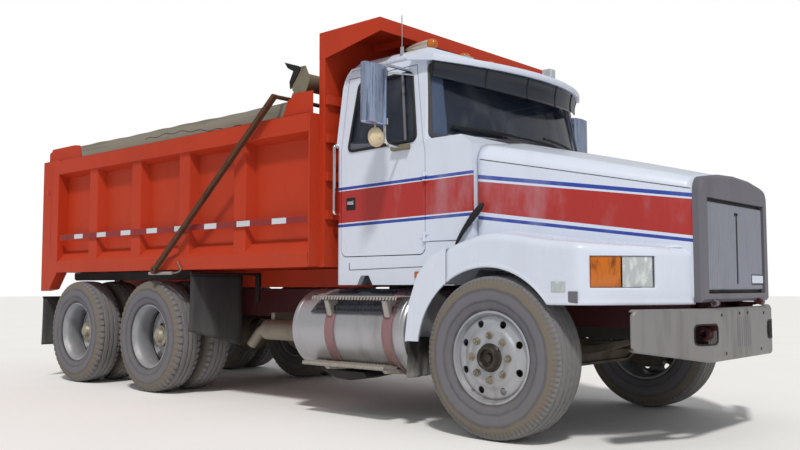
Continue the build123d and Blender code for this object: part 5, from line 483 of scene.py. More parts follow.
class Skin:
    """The points and faces of one piece, gathered as arrays before they become a mesh."""

    def __init__(self) -> None:
        """Starts with nothing."""
        self.points: list[Array] = []
        self.faces: list[list[int]] = []
        self.count = 0

    def _take(self, points: Array, faces: list[list[int]]) -> "Skin":
        """Adds points, and faces that count from them."""
        self.points.append(np.asarray(points, float).reshape(-1, 3))
        self.faces += faces
        self.count += len(self.points[-1])
        return self

    def grid(self, xyz: Array, wrap: bool = False, keep: Array | None = None) -> "Skin":
        """Adds a surface given as rows and columns of points.

        Args:
            xyz: Points in an array of rows, columns, 3.
            wrap: Whether the last column joins the first.
            keep: Which cells to keep, one truth value for each.

        Returns:
            The skin itself.
        """
        rows, cols = xyz.shape[:2]
        index = np.arange(rows * cols).reshape(rows, cols) + self.count
        if wrap:
            index = np.concatenate([index, index[:, :1]], axis=1)
        quads = np.stack([index[:-1, :-1], index[:-1, 1:], index[1:, 1:], index[1:, :-1]], axis=-1)
        quads = quads.reshape(-1, 4) if keep is None else quads[keep]
        return self._take(xyz, quads.tolist())

    def prism(self, outline: Array, axis: int, low: float | Array, high: float | Array) -> "Skin":
        """Adds a closed solid: an outline in the two other axes, carried along one axis.

        Args:
            outline: The outline's points in the two axes left over, in their order X, Y, Z.
            axis: Which axis it is carried along, 0 to 2.
            low: Where it starts, as one number or one for each point.
            high: Where it ends.

        Returns:
            The skin itself.
        """
        outline = np.asarray(outline, float)
        rings = []
        for end in (low, high):
            ring = np.insert(outline, axis, np.broadcast_to(end, len(outline)), axis=1)
            rings.append(ring)
        count = len(outline)
        caps = [list(range(self.count, self.count + count)),
                list(range(self.count + count, self.count + 2 * count))]
        self.grid(np.stack(rings), wrap=True)
        self.faces += caps
        return self

    def slab(self, low: Point, high: Point) -> "Skin":
        """Adds a flat plate or bar between two corners; its piece rounds the edges."""
        outline = np.array([(low[0], low[1]), (high[0], low[1]), (high[0], high[1]), (low[0], high[1])])
        return self.prism(outline, 2, low[2], high[2])

    def lathe(self, profile: Array, centre: Point, axis: int = 1, segments: int = 64,
              closed: bool = False) -> "Skin":
        """Adds a turned surface: each profile point's radius is swept round an axis.

        Args:
            profile: Rows of position along the axis and radius.
            centre: A point on the axis.
            axis: The axis it turns about, 0 to 2.
            segments: Points round.
            closed: Whether the profile's end joins its start.

        Returns:
            The skin itself.
        """
        profile = np.asarray(profile, float)
        if closed:
            profile = np.vstack([profile, profile[:1]])
        turn = np.linspace(0, 2 * math.pi, segments, endpoint=False)
        first, second = [i for i in range(3) if i != axis]
        xyz = np.zeros((len(profile), segments, 3))
        xyz[..., axis] = profile[:, :1] + centre[axis]
        xyz[..., first] = profile[:, 1:] * np.cos(turn) + centre[first]
        xyz[..., second] = profile[:, 1:] * np.sin(turn) + centre[second]
        return self.grid(xyz, wrap=True)

    def tube(self, path: Array, radius: float | Array, segments: int = 12, capped: bool = True) -> "Skin":
        """Adds a tube: a circle carried along a path, square to the path's run at each point.

        Args:
            path: The middle line's points.
            radius: One radius, or one for each point.
            segments: Points round.
            capped: Whether the ends are closed.

        Returns:
            The skin itself.
        """
        path = np.asarray(path, float)
        run = np.gradient(path, axis=0)
        run /= np.linalg.norm(run, axis=1)[:, None]
        spread = path.max(0) - path.min(0)
        guide = np.zeros(3)
        guide[int(np.argmin(spread))] = 1.0
        side = np.cross(run, guide)
        side /= np.linalg.norm(side, axis=1)[:, None]
        up = np.cross(side, run)
        turn = np.linspace(0, 2 * math.pi, segments, endpoint=False)
        reach = np.broadcast_to(radius, len(path))[:, None, None]
        ring = side[:, None] * np.cos(turn)[None, :, None] + up[:, None] * np.sin(turn)[None, :, None]
        start = self.count
        self.grid(path[:, None] + ring * reach, wrap=True)
        if capped:
            last = start + (len(path) - 1) * segments
            self.faces += [list(range(start, start + segments)), list(range(last, last + segments))]
        return self

    def cylinder(self, start: Point, end: Point, radius: float,
                 segments: int = 24, ease: float = 0.12) -> "Skin":
        """Adds a round bar whose two rims are eased by a share of its radius.

        Args:
            start: Middle of one end.
            end: Middle of the other end.
            radius: The bar's radius.
            segments: Sides round the bar.
            ease: The rims' rounding as a share of the radius.

        Returns:
            The skin itself.
        """
        start, end = np.array(start, float), np.array(end, float)
        run = end - start
        length = np.linalg.norm(run)
        soft = min(ease * radius, 0.4 * length)
        steps = np.array([0, 0.3 * soft, soft, length - soft, length - 0.3 * soft, length]) / length
        reach = np.array([radius - soft, radius - 0.3 * soft, radius, radius, radius - 0.3 * soft,
                          radius - soft])
        return self.tube(start + run * steps[:, None], reach, segments)

    def joined(self, other: "Skin", shift: Point = (0, 0, 0)) -> "Skin":
        """Adds a moved copy of another skin."""
        points = np.vstack(other.points) + np.array(shift)
        return self._take(points, [[i + self.count for i in face] for face in other.faces])

    def mirrored(self) -> "Skin":
        """Returns a copy on the other side of the truck."""
        copy = Skin()
        copy._take(np.vstack(self.points) * (1, -1, 1), [face[::-1] for face in self.faces])
        return copy

    def spun(self, count: int, centre: Point) -> "Skin":
        """Returns copies spaced evenly round an axis along Y."""
        ring, base = Skin(), np.vstack(self.points) - np.array(centre)
        for angle in np.linspace(0, 2 * math.pi, count, endpoint=False):
            c, s = math.cos(angle), math.sin(angle)
            turned = base @ np.array([[c, 0, s], [0, 1, 0], [-s, 0, c]])
            ring._take(turned + np.array(centre), [[i + ring.count for i in face] for face in self.faces])
        return ring


class Workshop:
    """Turns skins into finished pieces that ride on the frame's bodies."""

    def __init__(self, shop: Paintshop) -> None:
        """Keeps the paint shop that hands out materials."""
        self.shop = shop
        self.made = 0

    def piece(self, name: str, skin: Skin, body: str, finish: Finish | Glass, *, bevel: float = 0.0,
              wall: float = 0.0, sharp: float = 35.0, replaces: tuple[str, ...] = (),
              merge: float = 1e-5) -> bpy.types.Object:
        """Makes one piece.

        Args:
            name: The piece's plain name.
            skin: Its points and faces.
            body: The body that it rides on.
            finish: Its finish.
            bevel: Width of the rounding on its hard edges.
            wall: Thickness that an open sheet gets, inwards.
            sharp: Edges that turn by more than this many degrees stay sharp.
            replaces: The CAD nodes that it stands for.
            merge: Points nearer than this become one.

        Returns:
            The piece's object.
        """
        mesh = bpy.data.meshes.new(name)
        mesh.from_pydata(np.vstack(skin.points).tolist(), [], skin.faces)
        work = bmesh.new()
        work.from_mesh(mesh)
        bmesh.ops.remove_doubles(work, verts=work.verts, dist=merge)
        bmesh.ops.dissolve_degenerate(work, edges=work.edges, dist=merge)
        bmesh.ops.recalc_face_normals(work, faces=work.faces)
        if wall:
            middle = sum((face.calc_center_median() for face in work.faces), Vector()) / len(work.faces)
            outward = sum(face.normal.dot(face.calc_center_median() - middle) * face.calc_area()
                          for face in work.faces)
            if outward < 0:
                bmesh.ops.reverse_faces(work, faces=work.faces)
        work.to_mesh(mesh)
        work.free()
        mesh.polygons.foreach_set("use_smooth", np.ones(len(mesh.polygons), bool))
        mesh.set_sharp_from_angle(angle=math.radians(sharp))
        mesh.materials.append(self.shop.get(finish))
        obj = bpy.data.objects.new(name, mesh)
        bpy.context.collection.objects.link(obj)
        if wall:
            solid = obj.modifiers.new("wall", "SOLIDIFY")
            solid.thickness, solid.offset = wall, -1.0
        if bevel:
            edge = obj.modifiers.new("edge", "BEVEL")
            edge.width, edge.segments, edge.limit_method = bevel, 2, "ANGLE"
            edge.angle_limit = math.radians(sharp)
            edge.use_clamp_overlap = True
        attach(obj, body)
        if replaces:
            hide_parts(*replaces)
        self.made += 1
        LOG.info("%s: %d faces, on %s", name, len(mesh.polygons), body)
        return obj

    def pair(self, name: str, skin: Skin, body: str, finish: Finish | Glass, **extra) -> None:
        """Makes a right-hand piece and its left-hand mirror, and fills in {side} in body and node names.

        Args:
            name: The pair's name; the side is added to it.
            skin: The right-hand piece.
            body: The body, with {side} where there is one on each side.
            finish: The finish of both.
            extra: What piece takes besides; replaces may hold {side} too.
        """
        nodes = extra.pop("replaces", ())
        for side, shape in ((Side.RIGHT.value, skin), (Side.LEFT.value, skin.mirrored())):
            self.piece(f"{name}_{side}", shape, body.format(side=side), finish,
                       replaces=tuple(node.format(side=side) for node in nodes), **extra)


@dataclass(frozen=True)
class Tyre:
    """A truck tyre. The section runs from bead to bead; grooves and side cuts sink into the tread.

    grooves are shares of the half width, and cuts is how many side cuts each shoulder has.
    """

    radius: float
    width: float
    grooves: tuple[float, ...]
    cuts: int
    cut_reach: float
    groove_depth: float = 0.013
    groove_width: float = 0.0055
    seat: float = 0.286
    floor_gap: float = 0.0006
    shoulder: float = 0.82
    crown_steps: int = 26
    columns_per_cut: int = 6

    def section(self) -> tuple[Array, Array]:
        """The smooth section: lateral position and radius, from one bead to the other."""
        shares = np.array([(0.70, 0.0), (0.80, 0.035), (0.845, 0.07), (0.94, 0.22), (1.0, 0.48),
                           (0.965, 0.70), (0.885, 0.87), (0.80, 0.945), (0.60, 0.985), (0.30, 0.997),
                           (0.0, 1.0)])
        half = smooth_curve(shares, 46)
        tread = half[:, 0] < self.shoulder
        wide = np.concatenate([half[~tread, 0], np.linspace(self.shoulder, 0.0, self.crown_steps)])
        high = np.interp(wide[::-1][:self.crown_steps], half[::-1, 0][: np.sum(tread) + 2],
                         half[::-1, 1][: np.sum(tread) + 2])[::-1]
        rise = np.minimum(np.concatenate([half[~tread, 1], high]), 1.0)
        lateral = np.concatenate([-wide, wide[::-1][1:]]) * self.width / 2
        height = self.radius - self.floor_gap - self.seat
        radius = np.concatenate([rise, rise[::-1][1:]]) * height + self.seat
        return lateral, radius

    def skin(self, centre: Point) -> Skin:
        """The tread's radius is the section's, less a flat-bottomed dip at each groove and each side cut.

        Args:
            centre: The middle of the tyre.

        Returns:
            The tyre's surface.
        """
        lateral, radius = self.section()
        share = np.abs(lateral) / (self.width / 2)
        columns = self.cuts * self.columns_per_cut
        turn = np.linspace(0, 2 * math.pi, columns, endpoint=False)
        wave = 0.012 * np.sin(turn * self.cuts / 2)
        dip = np.zeros((len(lateral), columns))
        for groove in self.grooves:
            away = (np.abs(lateral)[:, None] - groove * self.width / 2 - wave * 0.2) / self.groove_width
            dip = np.maximum(dip, np.exp(-(away**4)))
        phase = (np.arange(columns) % self.columns_per_cut) < self.columns_per_cut / 3
        high_enough = radius > self.seat + 0.66 * (self.radius - self.seat)
        reach = (share > 1 - self.cut_reach) & (share < 0.93) & high_enough
        stagger = np.where(lateral < 0, 0, self.columns_per_cut // 2)
        cut = phase[(np.arange(columns)[None, :] + stagger[:, None]) % columns] & reach[:, None]
        dip = np.maximum(dip, 0.75 * cut)
        band = ((radius - self.seat) / (self.radius - self.seat))[:, None]
        ring = 0.0018 * (np.abs(band - 0.34) < 0.022) + 0.0015 * (np.abs(band - 0.80) < 0.02)
        deep = radius[:, None] - dip * self.groove_depth * (band > 0.62)
        side = lateral[:, None] + np.sign(lateral)[:, None] * ring * (band < 0.85)
        xyz = np.stack([centre[0] + deep * np.cos(turn), np.broadcast_to(side + centre[1], deep.shape),
                        centre[2] + deep * np.sin(turn)], axis=-1)
        return Skin().grid(xyz, wrap=True)


@dataclass(frozen=True)
class Wheel:
    """A disc wheel with round hand holes. Distances are measured out from the truck's middle.

    rims are pairs of outer and inner edge; disc is the disc's profile as distance and radius, from its
    outer edge to its bore.
    """

    rims: tuple[Pair, ...]
    discs: tuple[tuple[Pair, ...], ...]
    hub: tuple[Pair, ...]
    drum: tuple[Pair, ...]
    hole_circle: float
    hole_radius: float
    nut_seat: float
    nut_length: float = 0.022
    stud_length: float = 0.046
    holes: int = 8
    studs: int = 8
    stud_circle: float = 0.142
    flange: float = 0.2985
    wall: float = 0.009

    def rim(self, centre: Point, outer: float, inner: float) -> Skin:
        """A rim turned from a closed section: two flanges, two bead seats and the well between them."""
        step, drop = self.flange, self.flange - 0.036
        inside = [(outer - 0.003, step), (outer, step - 0.004), (outer, step - 0.014),
                  (outer - 0.018, step - 0.020), (outer - 0.036, step - 0.028), (outer - 0.055, drop),
                  (inner + 0.06, drop), (inner + 0.03, step - 0.018), (inner + 0.004, step - 0.014),
                  (inner, step)]
        under = [(inner + 0.008, step), (inner + 0.012, step - 0.006), (inner + 0.034, step - 0.009),
                 (inner + 0.064, drop + self.wall), (outer - 0.058, drop + self.wall),
                 (outer - 0.034, step - 0.016), (outer - 0.014, step - 0.010), (outer - 0.010, step)]
        profile = np.array([(-d, r) for d, r in inside + under])
        return Skin().lathe(profile, (centre[0], 0.0, centre[2]), segments=96, closed=True)

    def disc(self, centre: Point, profile: tuple[Pair, ...]) -> Skin:
        """The disc. Its face is a function of radius, and round each hand hole the points run from the
        hole's circle out to the edge of its sector, so the hole is a true one with a wall."""
        table = smooth_curve(np.array(profile), 60)
        order = np.argsort(table[:, 1])
        radii, faces = table[order, 1], table[order, 0]
        skin, outer, bore = Skin(), profile[0][1], profile[-1][1]
        half_turn, half_rise = math.pi / self.holes, self.hole_radius * 1.35
        across = np.linspace(-1, 1, 13)
        upward = np.linspace(-1, 1, 9)
        edge = np.concatenate([
            np.stack([across, -np.ones(13)], 1), np.stack([np.ones(9), upward], 1)[1:],
            np.stack([across[::-1], np.ones(13)], 1)[1:], np.stack([-np.ones(9), upward[::-1]], 1)[1:-1]])
        flat = edge * (half_turn * self.hole_circle, half_rise)
        angle = np.arctan2(flat[:, 1], flat[:, 0])
        circle = np.stack([np.cos(angle), np.sin(angle)], 1) * self.hole_radius
        share = np.array([0, 0.06, 0.2, 0.45, 0.7, 1.0])[:, None, None]
        patch = circle[None] * (1 - share) + flat[None] * share
        low, high = self.hole_circle - half_rise, self.hole_circle + half_rise

        def placed(turn: Array, radius: Array, back: float | Array = 0.0) -> Array:
            """Points of the disc at an angle and radius, sunk behind its face by a distance."""
            away = np.interp(radius, radii, faces) - back
            return np.stack([centre[0] + radius * np.cos(turn), -away, centre[2] + radius * np.sin(turn)], -1)

        for k in range(self.holes):
            mid = (2 * k + 1) * half_turn
            turn, radius = mid + patch[..., 0] / self.hole_circle, self.hole_circle + patch[..., 1]
            skin.grid(placed(turn, radius), wrap=True)
            back = np.array([0.0, 0.002, self.wall])[:, None]
            spread = np.array([1.0, 0.985, 0.985])[:, None, None]
            wall_turn = mid + (circle[None] * spread)[..., 0] / self.hole_circle
            skin.grid(placed(wall_turn, self.hole_circle + (circle[None] * spread)[..., 1], back), wrap=True)
            arc = mid + across * half_turn
            for start, end, rows in ((bore, low, 12), (high, outer, 4)):
                ring = np.linspace(start, end, rows)[:, None]
                skin.grid(placed(np.broadcast_to(arc, (rows, 13)), np.broadcast_to(ring, (rows, 13))))
        return skin

    def nuts(self, centre: Point) -> Skin:
        """One six-sided nut with its washer and stud, repeated round the stud circle."""
        turn = np.linspace(0, 2 * math.pi, 6, endpoint=False)
        seat = -self.nut_seat
        one, x = Skin(), centre[0] + self.stud_circle
        hexagon = np.stack([x + 0.0205 * np.cos(turn), centre[2] + 0.0205 * np.sin(turn)], 1)
        one.prism(hexagon, 1, seat, seat - self.nut_length)
        one.cylinder((x, seat + 0.004, centre[2]), (x, seat - 0.006, centre[2]), 0.026, 20)
        one.cylinder((x, seat, centre[2]), (x, seat - self.stud_length, centre[2]), 0.0105, 12, 0.3)
        return one.spun(self.studs, centre)

    def build(self, shop: Workshop, name: str, body: str, node: str, x: float, z: float, hub: Finish) -> None:
        """Makes the right and left wheel: silver rims and discs, the nuts, and a hub with its drum.

        Args:
            shop: The workshop.
            name: The wheel's name.
            body: The body, with {side} in it.
            node: The CAD node it stands for, with {side} in it.
            x: The axle's place along.
            z: The axle's height.
            hub: The hub's finish.
        """
        centre = (x, 0.0, z)
        silver, steel = Skin(), Skin()
        for outer, inner in self.rims:
            silver.joined(self.rim(centre, outer, inner))
        for profile in self.discs:
            silver.joined(self.disc(centre, profile))
        steel.lathe(np.array([(-d, r) for d, r in self.hub]), centre, segments=48)
        steel.lathe(np.array([(-d, r) for d, r in self.drum]), centre, segments=64, closed=True)
        shop.pair(name, silver, body, WHEEL, replaces=(node,), sharp=40.0)
        shop.pair(f"{name}_hub", steel, body, hub, sharp=30.0)
        shop.pair(f"{name}_nuts", self.nuts(centre), body, NUT_STEEL, sharp=30.0)


@dataclass(frozen=True)
class Wheels:
    """All ten wheels and tyres."""

    front_z: float = 0.526
    rear_z: float = 0.518
    steer: Wheel = Wheel(
        rims=((1.190, 0.925),),
        discs=(((1.146, 0.272), (1.158, 0.262), (1.164, 0.248), (1.167, 0.226), (1.172, 0.205),
                (1.185, 0.186), (1.192, 0.168), (1.192, 0.140), (1.190, 0.110), (1.190, 0.080)),),
        hub=((1.150, 0.092), (1.192, 0.092), (1.196, 0.086), (1.204, 0.080), (1.228, 0.076), (1.236, 0.070),
             (1.236, 0.058), (1.228, 0.052), (1.206, 0.050), (1.204, 0.030), (1.214, 0.026), (1.216, 0.001)),
        drum=((0.985, 0.05), (0.985, 0.205), (1.105, 0.205), (1.115, 0.18), (1.115, 0.05)),
        hole_circle=0.226, hole_radius=0.0245, nut_seat=1.192, stud_length=0.036)
    dual_disc: ClassVar = ((0.975, 0.2625), (0.948, 0.254), (0.930, 0.238), (0.922, 0.215), (0.920, 0.180),
                           (0.920, 0.090))
    inner_disc: ClassVar = ((0.845, 0.2625), (0.872, 0.254), (0.890, 0.238), (0.900, 0.215), (0.902, 0.180),
                            (0.902, 0.090))
    dual: Wheel = Wheel(
        rims=((1.187, 0.968), (0.852, 0.633)), discs=(dual_disc, inner_disc),
        hub=((0.900, 0.098), (0.945, 0.098), (0.960, 0.090), (1.020, 0.084), (1.050, 0.080), (1.052, 0.098),
             (1.062, 0.100), (1.068, 0.096), (1.070, 0.070), (1.086, 0.062), (1.104, 0.050), (1.110, 0.030),
             (1.111, 0.001)),
        drum=((0.655, 0.05), (0.655, 0.214), (0.880, 0.214), (0.895, 0.19), (0.895, 0.05)),
        hole_circle=0.212, hole_radius=0.0265, nut_seat=0.922)
    steer_tyre: Tyre = Tyre(0.526, 0.315, (0.0, 0.33, 0.66), 96, 0.22, columns_per_cut=4)
    drive_tyre: Tyre = Tyre(0.518, 0.275, (0.16, 0.55), 52, 0.44, columns_per_cut=6, groove_depth=0.016)
    tyre_y: float = 1.0575
    dual_ys: Pair = (1.0775, 0.7425)

    def build(self, shop: Workshop) -> None:
        """Makes the steered wheels and the two pairs of duals on each side."""
        self.steer.build(shop, "steer_wheel", "front_wheel_{side}", "front_wheel_{side}", AXLE_X,
                         self.front_z, WHEEL_GREASY)
        tyre = self.steer_tyre.skin((AXLE_X, -self.tyre_y, self.front_z))
        rubber = tyre_finish("steer_tyre_rubber", AXLE_X, self.front_z)
        shop.pair("steer_tyre", tyre, "front_wheel_{side}", rubber, replaces=("front_tyre_{side}",),
                  sharp=32.0)
        for place, x in (("mid", MID_AXLE_X), ("rear", REAR_AXLE_X)):
            body = place + "_wheels_{side}"
            self.dual.build(shop, f"{place}_wheels_disc", body, place + "_wheels_{side}", x, self.rear_z,
                            HUB_SILVER)
            tyres = Skin()
            for y in self.dual_ys:
                tyres.joined(self.drive_tyre.skin((x, -y, self.rear_z)))
            rubber = tyre_finish(place + "_tyre_rubber", x, self.rear_z)
            shop.pair(f"{place}_dual_tyres", tyres, body, rubber, replaces=(place + "_tyres_{side}",),
                      sharp=32.0)


@dataclass(frozen=True)
class DumpBed:
    """The bed's sides and rear posts, with ribs, rails, reflective tape and marker lamps.

    Widths are out from the middle; rib_backs are places behind the front axle.
    """

    out: float = 1.210
    panel: float = 1.100
    wall: float = 0.008
    back: float = AXLE_X - 5.680
    front: float = AXLE_X - 1.700
    low: float = 1.130
    ridge: float = 1.240
    slope_top: float = 1.360
    top_low: float = 2.180
    top_high: float = 2.330
    rib_backs: tuple[float, ...] = (2.580, 3.383, 4.180, 4.981)
    rib_half: float = 0.0775
    rib_flare: float = 0.030
    rib_out: float = 1.190
    tape_low: float = 1.474
    tape_high: float = 1.526
    tape_start: float = AXLE_X - 5.235
    tape_step: float = 0.4553
    tape_half: float = 0.087

    def side(self) -> Skin:
        """The right side's rails and panel: sections in Y and Z carried along X."""
        skin, inner = Skin(), self.panel - self.wall
        span = (self.back, self.front)
        chamfer = np.array([0.0, -0.012, -0.002, 0.0, 0.0])
        low_rail = [(-self.out, self.low), (-self.out, self.ridge), (-self.panel, self.slope_top),
                    (-inner - 0.003, self.slope_top), (-inner - 0.003, self.low)]
        skin.prism(low_rail, 0, span[0], span[1] + chamfer)
        skin.slab((span[0], -self.panel, self.low + 0.01), (span[1], -inner, self.top_low))
        skin.prism([(-self.out, self.top_low + 0.006), (-self.out, self.top_high), (-1.070, self.top_high),
                    (-1.070, self.top_low + 0.012), (-inner, self.top_low - 0.03),
                    (-self.panel, self.top_low - 0.03)],
                   0, *span)
        skin.slab((span[0] + 0.01, -self.out - 0.001, self.low - 0.001),
                  (span[1] - 0.02, -self.out + 0.004, self.low + 0.012))
        return skin

    def rib(self, x: float) -> Skin:
        """A pressed rib: a box that flares to the panel, with its face leaning in at top and bottom."""
        half, flare = self.rib_half, self.rib_flare
        levels = np.array([self.ridge - 0.02, self.ridge + 0.05, self.top_low - 0.10, self.top_low + 0.01])
        face = np.array([self.out - 0.004, self.rib_out, self.rib_out, self.out - 0.02])
        rows = np.stack([
            np.stack([np.full(4, x - half - flare), -np.full(4, self.panel - 0.002), levels], 1),
            np.stack([np.full(4, x - half), -face, levels], 1),
            np.stack([np.full(4, x + half), -face, levels], 1),
            np.stack([np.full(4, x + half + flare), -np.full(4, self.panel - 0.002), levels], 1)], axis=1)
        return Skin().grid(rows)

    def build(self, shop: Workshop) -> None:
        """Makes both sides with their tape, and the rear posts with their lamps."""
        skin = self.side()
        inner = self.panel - self.wall
        corner = (AXLE_X - 1.635, 2.763)
        skin.slab((self.front, -self.panel, self.low), (corner[0], -inner, corner[1]))
        skin.slab((self.front, -self.out, self.low + 0.004),
                  (self.front + 0.012, -inner - 0.003, self.top_high))
        skin.slab((AXLE_X - 5.630, -1.2045, self.tape_low - 0.003),
                  (AXLE_X - 1.705, -1.190, self.tape_high + 0.003))
        shop.pair("bed_side_panel", skin, "bed", BED_RED, bevel=0.005, replaces=("bed_side_{side}",))
        ribs = Skin()
        for back in self.rib_backs:
            ribs.joined(self.rib(AXLE_X - back))
        shop.pair("bed_ribs", ribs, "bed", BED_RED, bevel=0.008)
        red = Skin().slab((AXLE_X - 5.613, -1.2062, self.tape_low), (AXLE_X - 1.715, -1.2040, self.tape_high))
        shop.pair("reflective_tape_red", red, "bed", TAPE_RED)
        white = Skin()
        for middle in self.tape_start + self.tape_step * np.arange(8):
            white.slab((middle - self.tape_half, -1.2072, self.tape_low + 0.003),
                       (middle + self.tape_half, -1.2060, self.tape_high - 0.003))
        shop.pair("reflective_tape_white", white, "bed", TAPE_WHITE)
        self.posts(shop)

    def posts(self, shop: Workshop) -> None:
        """The rear posts: a side outline in X and Z carried across, a stepped cap plate and four lamps."""
        def at(back: float) -> float:
            """The X of a place this far behind the front axle."""
            return AXLE_X - back

        inner = self.panel - self.wall
        post = [(at(5.680), 1.124), (at(5.680), 2.345), (at(6.020), 2.340), (at(6.020), 0.931),
                (at(5.839), 0.950)]
        cap = [(at(6.012), 2.338), (at(6.012), 2.448), (at(5.965), 2.462), (at(5.945), 2.487),
               (at(5.500), 2.487), (at(5.452), 2.338)]
        skin = Skin().prism(post, 1, -self.out, -inner).prism(cap, 1, -1.152, -1.140)
        skin.slab((at(5.835), -self.out, 1.30), (at(5.828), -self.out + 0.004, 2.28))
        pivot = (at(5.985), 2.385)
        skin.slab((pivot[0] - 0.034, -1.124, 2.332), (pivot[0] + 0.034, -1.100, pivot[1]))
        skin.cylinder((pivot[0], -1.124, pivot[1]), (pivot[0], -1.100, pivot[1]), 0.034)
        skin.cylinder((pivot[0], -1.128, pivot[1]), (pivot[0], -1.050, pivot[1]), 0.016)
        whole = Skin().joined(skin).joined(skin.mirrored())
        shop.piece("rear_posts", whole, "bed", BED_RED, bevel=0.006, replaces=("bed_posts",))
        lamps = Skin()
        for z in (1.26, 1.40, 1.54):
            lamps.lathe([(0.0, 0.0), (-0.012, 0.006), (-0.014, 0.030), (-0.008, 0.042), (0.0, 0.046)][::-1],
                        (at(6.020), -1.15, z), axis=0, segments=32)
        lamps.lathe([(0.006, 0.026), (-0.002, 0.026), (-0.010, 0.022), (-0.013, 0.001)],
                    (at(5.899), -self.out, 2.000), axis=1, segments=28)
        shop.pair("post_lamps", lamps, "bed", RED_LENS)


@dataclass(frozen=True)
class Hood:
    """The moulded hood: a crowned bonnet that narrows forwards, and fenders that roll over to an arched face.

    sections holds the half width and height at the cowl and at the grille; plan holds places ahead of the
    axle and out from the middle; crest holds places ahead of the axle and heights.
    """

    rear: float = -0.225
    front: float = 1.080
    sections: tuple[tuple[float, float, float, float], ...] = (
        (1.000, 1.240, 0.560, 0.880), (1.000, 1.866, 0.560, 1.595), (0.935, 1.950, 0.515, 1.655),
        (0.450, 2.015, 0.260, 1.690))
    crown: Pair = (2.030, 1.700)
    shoulder: float = 0.050
    plan: tuple[Pair, ...] = (
        (-0.345, 1.200), (0.640, 1.200), (0.700, 1.150), (0.960, 0.850), (1.078, 0.545))
    columns: tuple[int, ...] = (52, 6, 26, 10)
    crest: tuple[Pair, ...] = (
        (-0.345, 1.240), (-0.196, 1.288), (0.023, 1.324), (0.471, 1.262), (1.080, 1.210))
    roll: float = 0.055
    low: float = 0.867
    arch_centre: Pair = (-0.030, 0.526)
    arch_radius: float = 0.575
    lamp_span: Point = (0.700, 0.830, 0.960)
    lamp_heights: Pair = (0.970, 1.160)
    wall: float = 0.008

    def bonnet(self) -> Skin:
        """A ruled surface between two eased sections, whose sides swell a little halfway along."""
        ends = []
        table = np.array(self.sections)
        for column, crown in ((0, self.crown[0]), (2, self.crown[1])):
            half = table[:, column:column + 2]
            line = np.vstack([half * (-1, 1), [(0.0, crown)], half[::-1]])
            ends.append(rounded(line, self.shoulder, 9))
        u = np.linspace(0, 1, 30)[:, None, None]
        yz = ends[0][None] * (1 - u) + ends[1][None] * u
        swell = 0.010 * np.sin(math.pi * u[..., 0])
        y = yz[..., 0] + swell * np.sign(yz[..., 0]) * (np.abs(yz[..., 0]) > 0.3)
        x = AXLE_X + self.rear * (1 - u[..., 0]) + self.front * u[..., 0]
        return Skin().grid(np.stack([np.broadcast_to(x, y.shape), y, yz[..., 1] + 0.6 * swell], axis=-1))

    def path(self) -> tuple[Array, Array]:
        """The fender's plan line with softened corners, and the outward direction at each of its points."""
        parts = [np.linspace(a, b, n, endpoint=False)
                 for a, b, n in zip(np.array(self.plan[:-1]), np.array(self.plan[1:]), self.columns)]
        line = np.vstack([*parts, self.plan[-1:]])
        for _ in range(5):
            line[1:-1] = (line[:-2] + 2 * line[1:-1] + line[2:]) / 4
        run = np.gradient(line, axis=0)
        run /= np.linalg.norm(run, axis=1)[:, None]
        return line, np.stack([-run[:, 1], run[:, 0]], 1)

    def heights(self, line: Array) -> tuple[Array, Array]:
        """The crest's height and the lower edge's height along the plan line: the arch, or the plain hem."""
        curve = smooth_curve(np.array(self.crest), 80)
        top = np.interp(line[:, 0], curve[:, 0], curve[:, 1])
        reach = np.clip(self.arch_radius**2 - (line[:, 0] - self.arch_centre[0]) ** 2, 0, None)
        return top, np.maximum(self.arch_centre[1] + np.sqrt(reach), self.low)

    def at(self, line: Array, out: Array, offset: Array | float, height: Array) -> Array:
        """Points of the right fender from the plan line, an offset outwards and a height."""
        place = line + out * np.asarray(offset)[..., None]
        rise = np.broadcast_to(height, place.shape[:-1])
        return np.stack([AXLE_X + place[..., 0], -place[..., 1], rise], -1)

    def fender(self) -> Skin:
        """The right fender in rows: top from the bonnet outwards, roll-over, face and rolled lip."""
        line, out = self.path()
        top, low = self.heights(line)
        share = np.clip((line[:, 0] - self.rear) / (self.front - self.rear), 0, 1)
        inner = np.where(line[:, 0] < self.rear, 1.062, 1.0 + (0.545 - 1.0) * share)
        rows = []
        edge = line - out * self.roll
        for t in np.linspace(0, 1, 10):
            start = np.stack([line[:, 0], np.minimum(inner, edge[:, 1])], 1)
            rows.append(self.at(start * (1 - t) + edge * t, out, 0.0, top + 0.022 * (1 - t) ** 2))
        for angle in np.linspace(0, math.pi / 2, 9)[1:]:
            rows.append(self.at(line, out, -self.roll * (1 - math.sin(angle)),
                                top - self.roll * (1 - math.cos(angle))))
        first = top - self.roll
        lamp = np.clip((line[:, 0] - 0.56) / 0.12, 0, 1)
        keys = [first, *(
            (first + (low - first) * f) * (1 - lamp) + np.minimum(z, first - 0.004) * lamp
            for f, z in ((0.35, self.lamp_heights[1]), (0.70, self.lamp_heights[0]))), low + 0.030]
        top_rows = len(rows)
        for a, b in zip(keys[:-1], keys[1:]):
            for t in np.linspace(0, 1, 6)[1:]:
                rows.append(self.at(line, out, 0.0, a * (1 - t) + b * t))
        for offset, rise in ((0.004, 0.020), (0.005, 0.006), (0.000, 0.0), (-0.014, 0.0), (-0.040, 0.004)):
            rows.append(self.at(line, out, offset, low + rise))
        grid = np.stack(rows)
        keep = np.ones((grid.shape[0] - 1, grid.shape[1] - 1), bool)
        middle = (line[:-1, 0] + line[1:, 0]) / 2
        inside = (middle > self.lamp_span[0]) & (middle < self.lamp_span[2])
        keep[top_rows + 4:top_rows + 9, inside] = False
        return Skin().grid(grid, keep=keep)

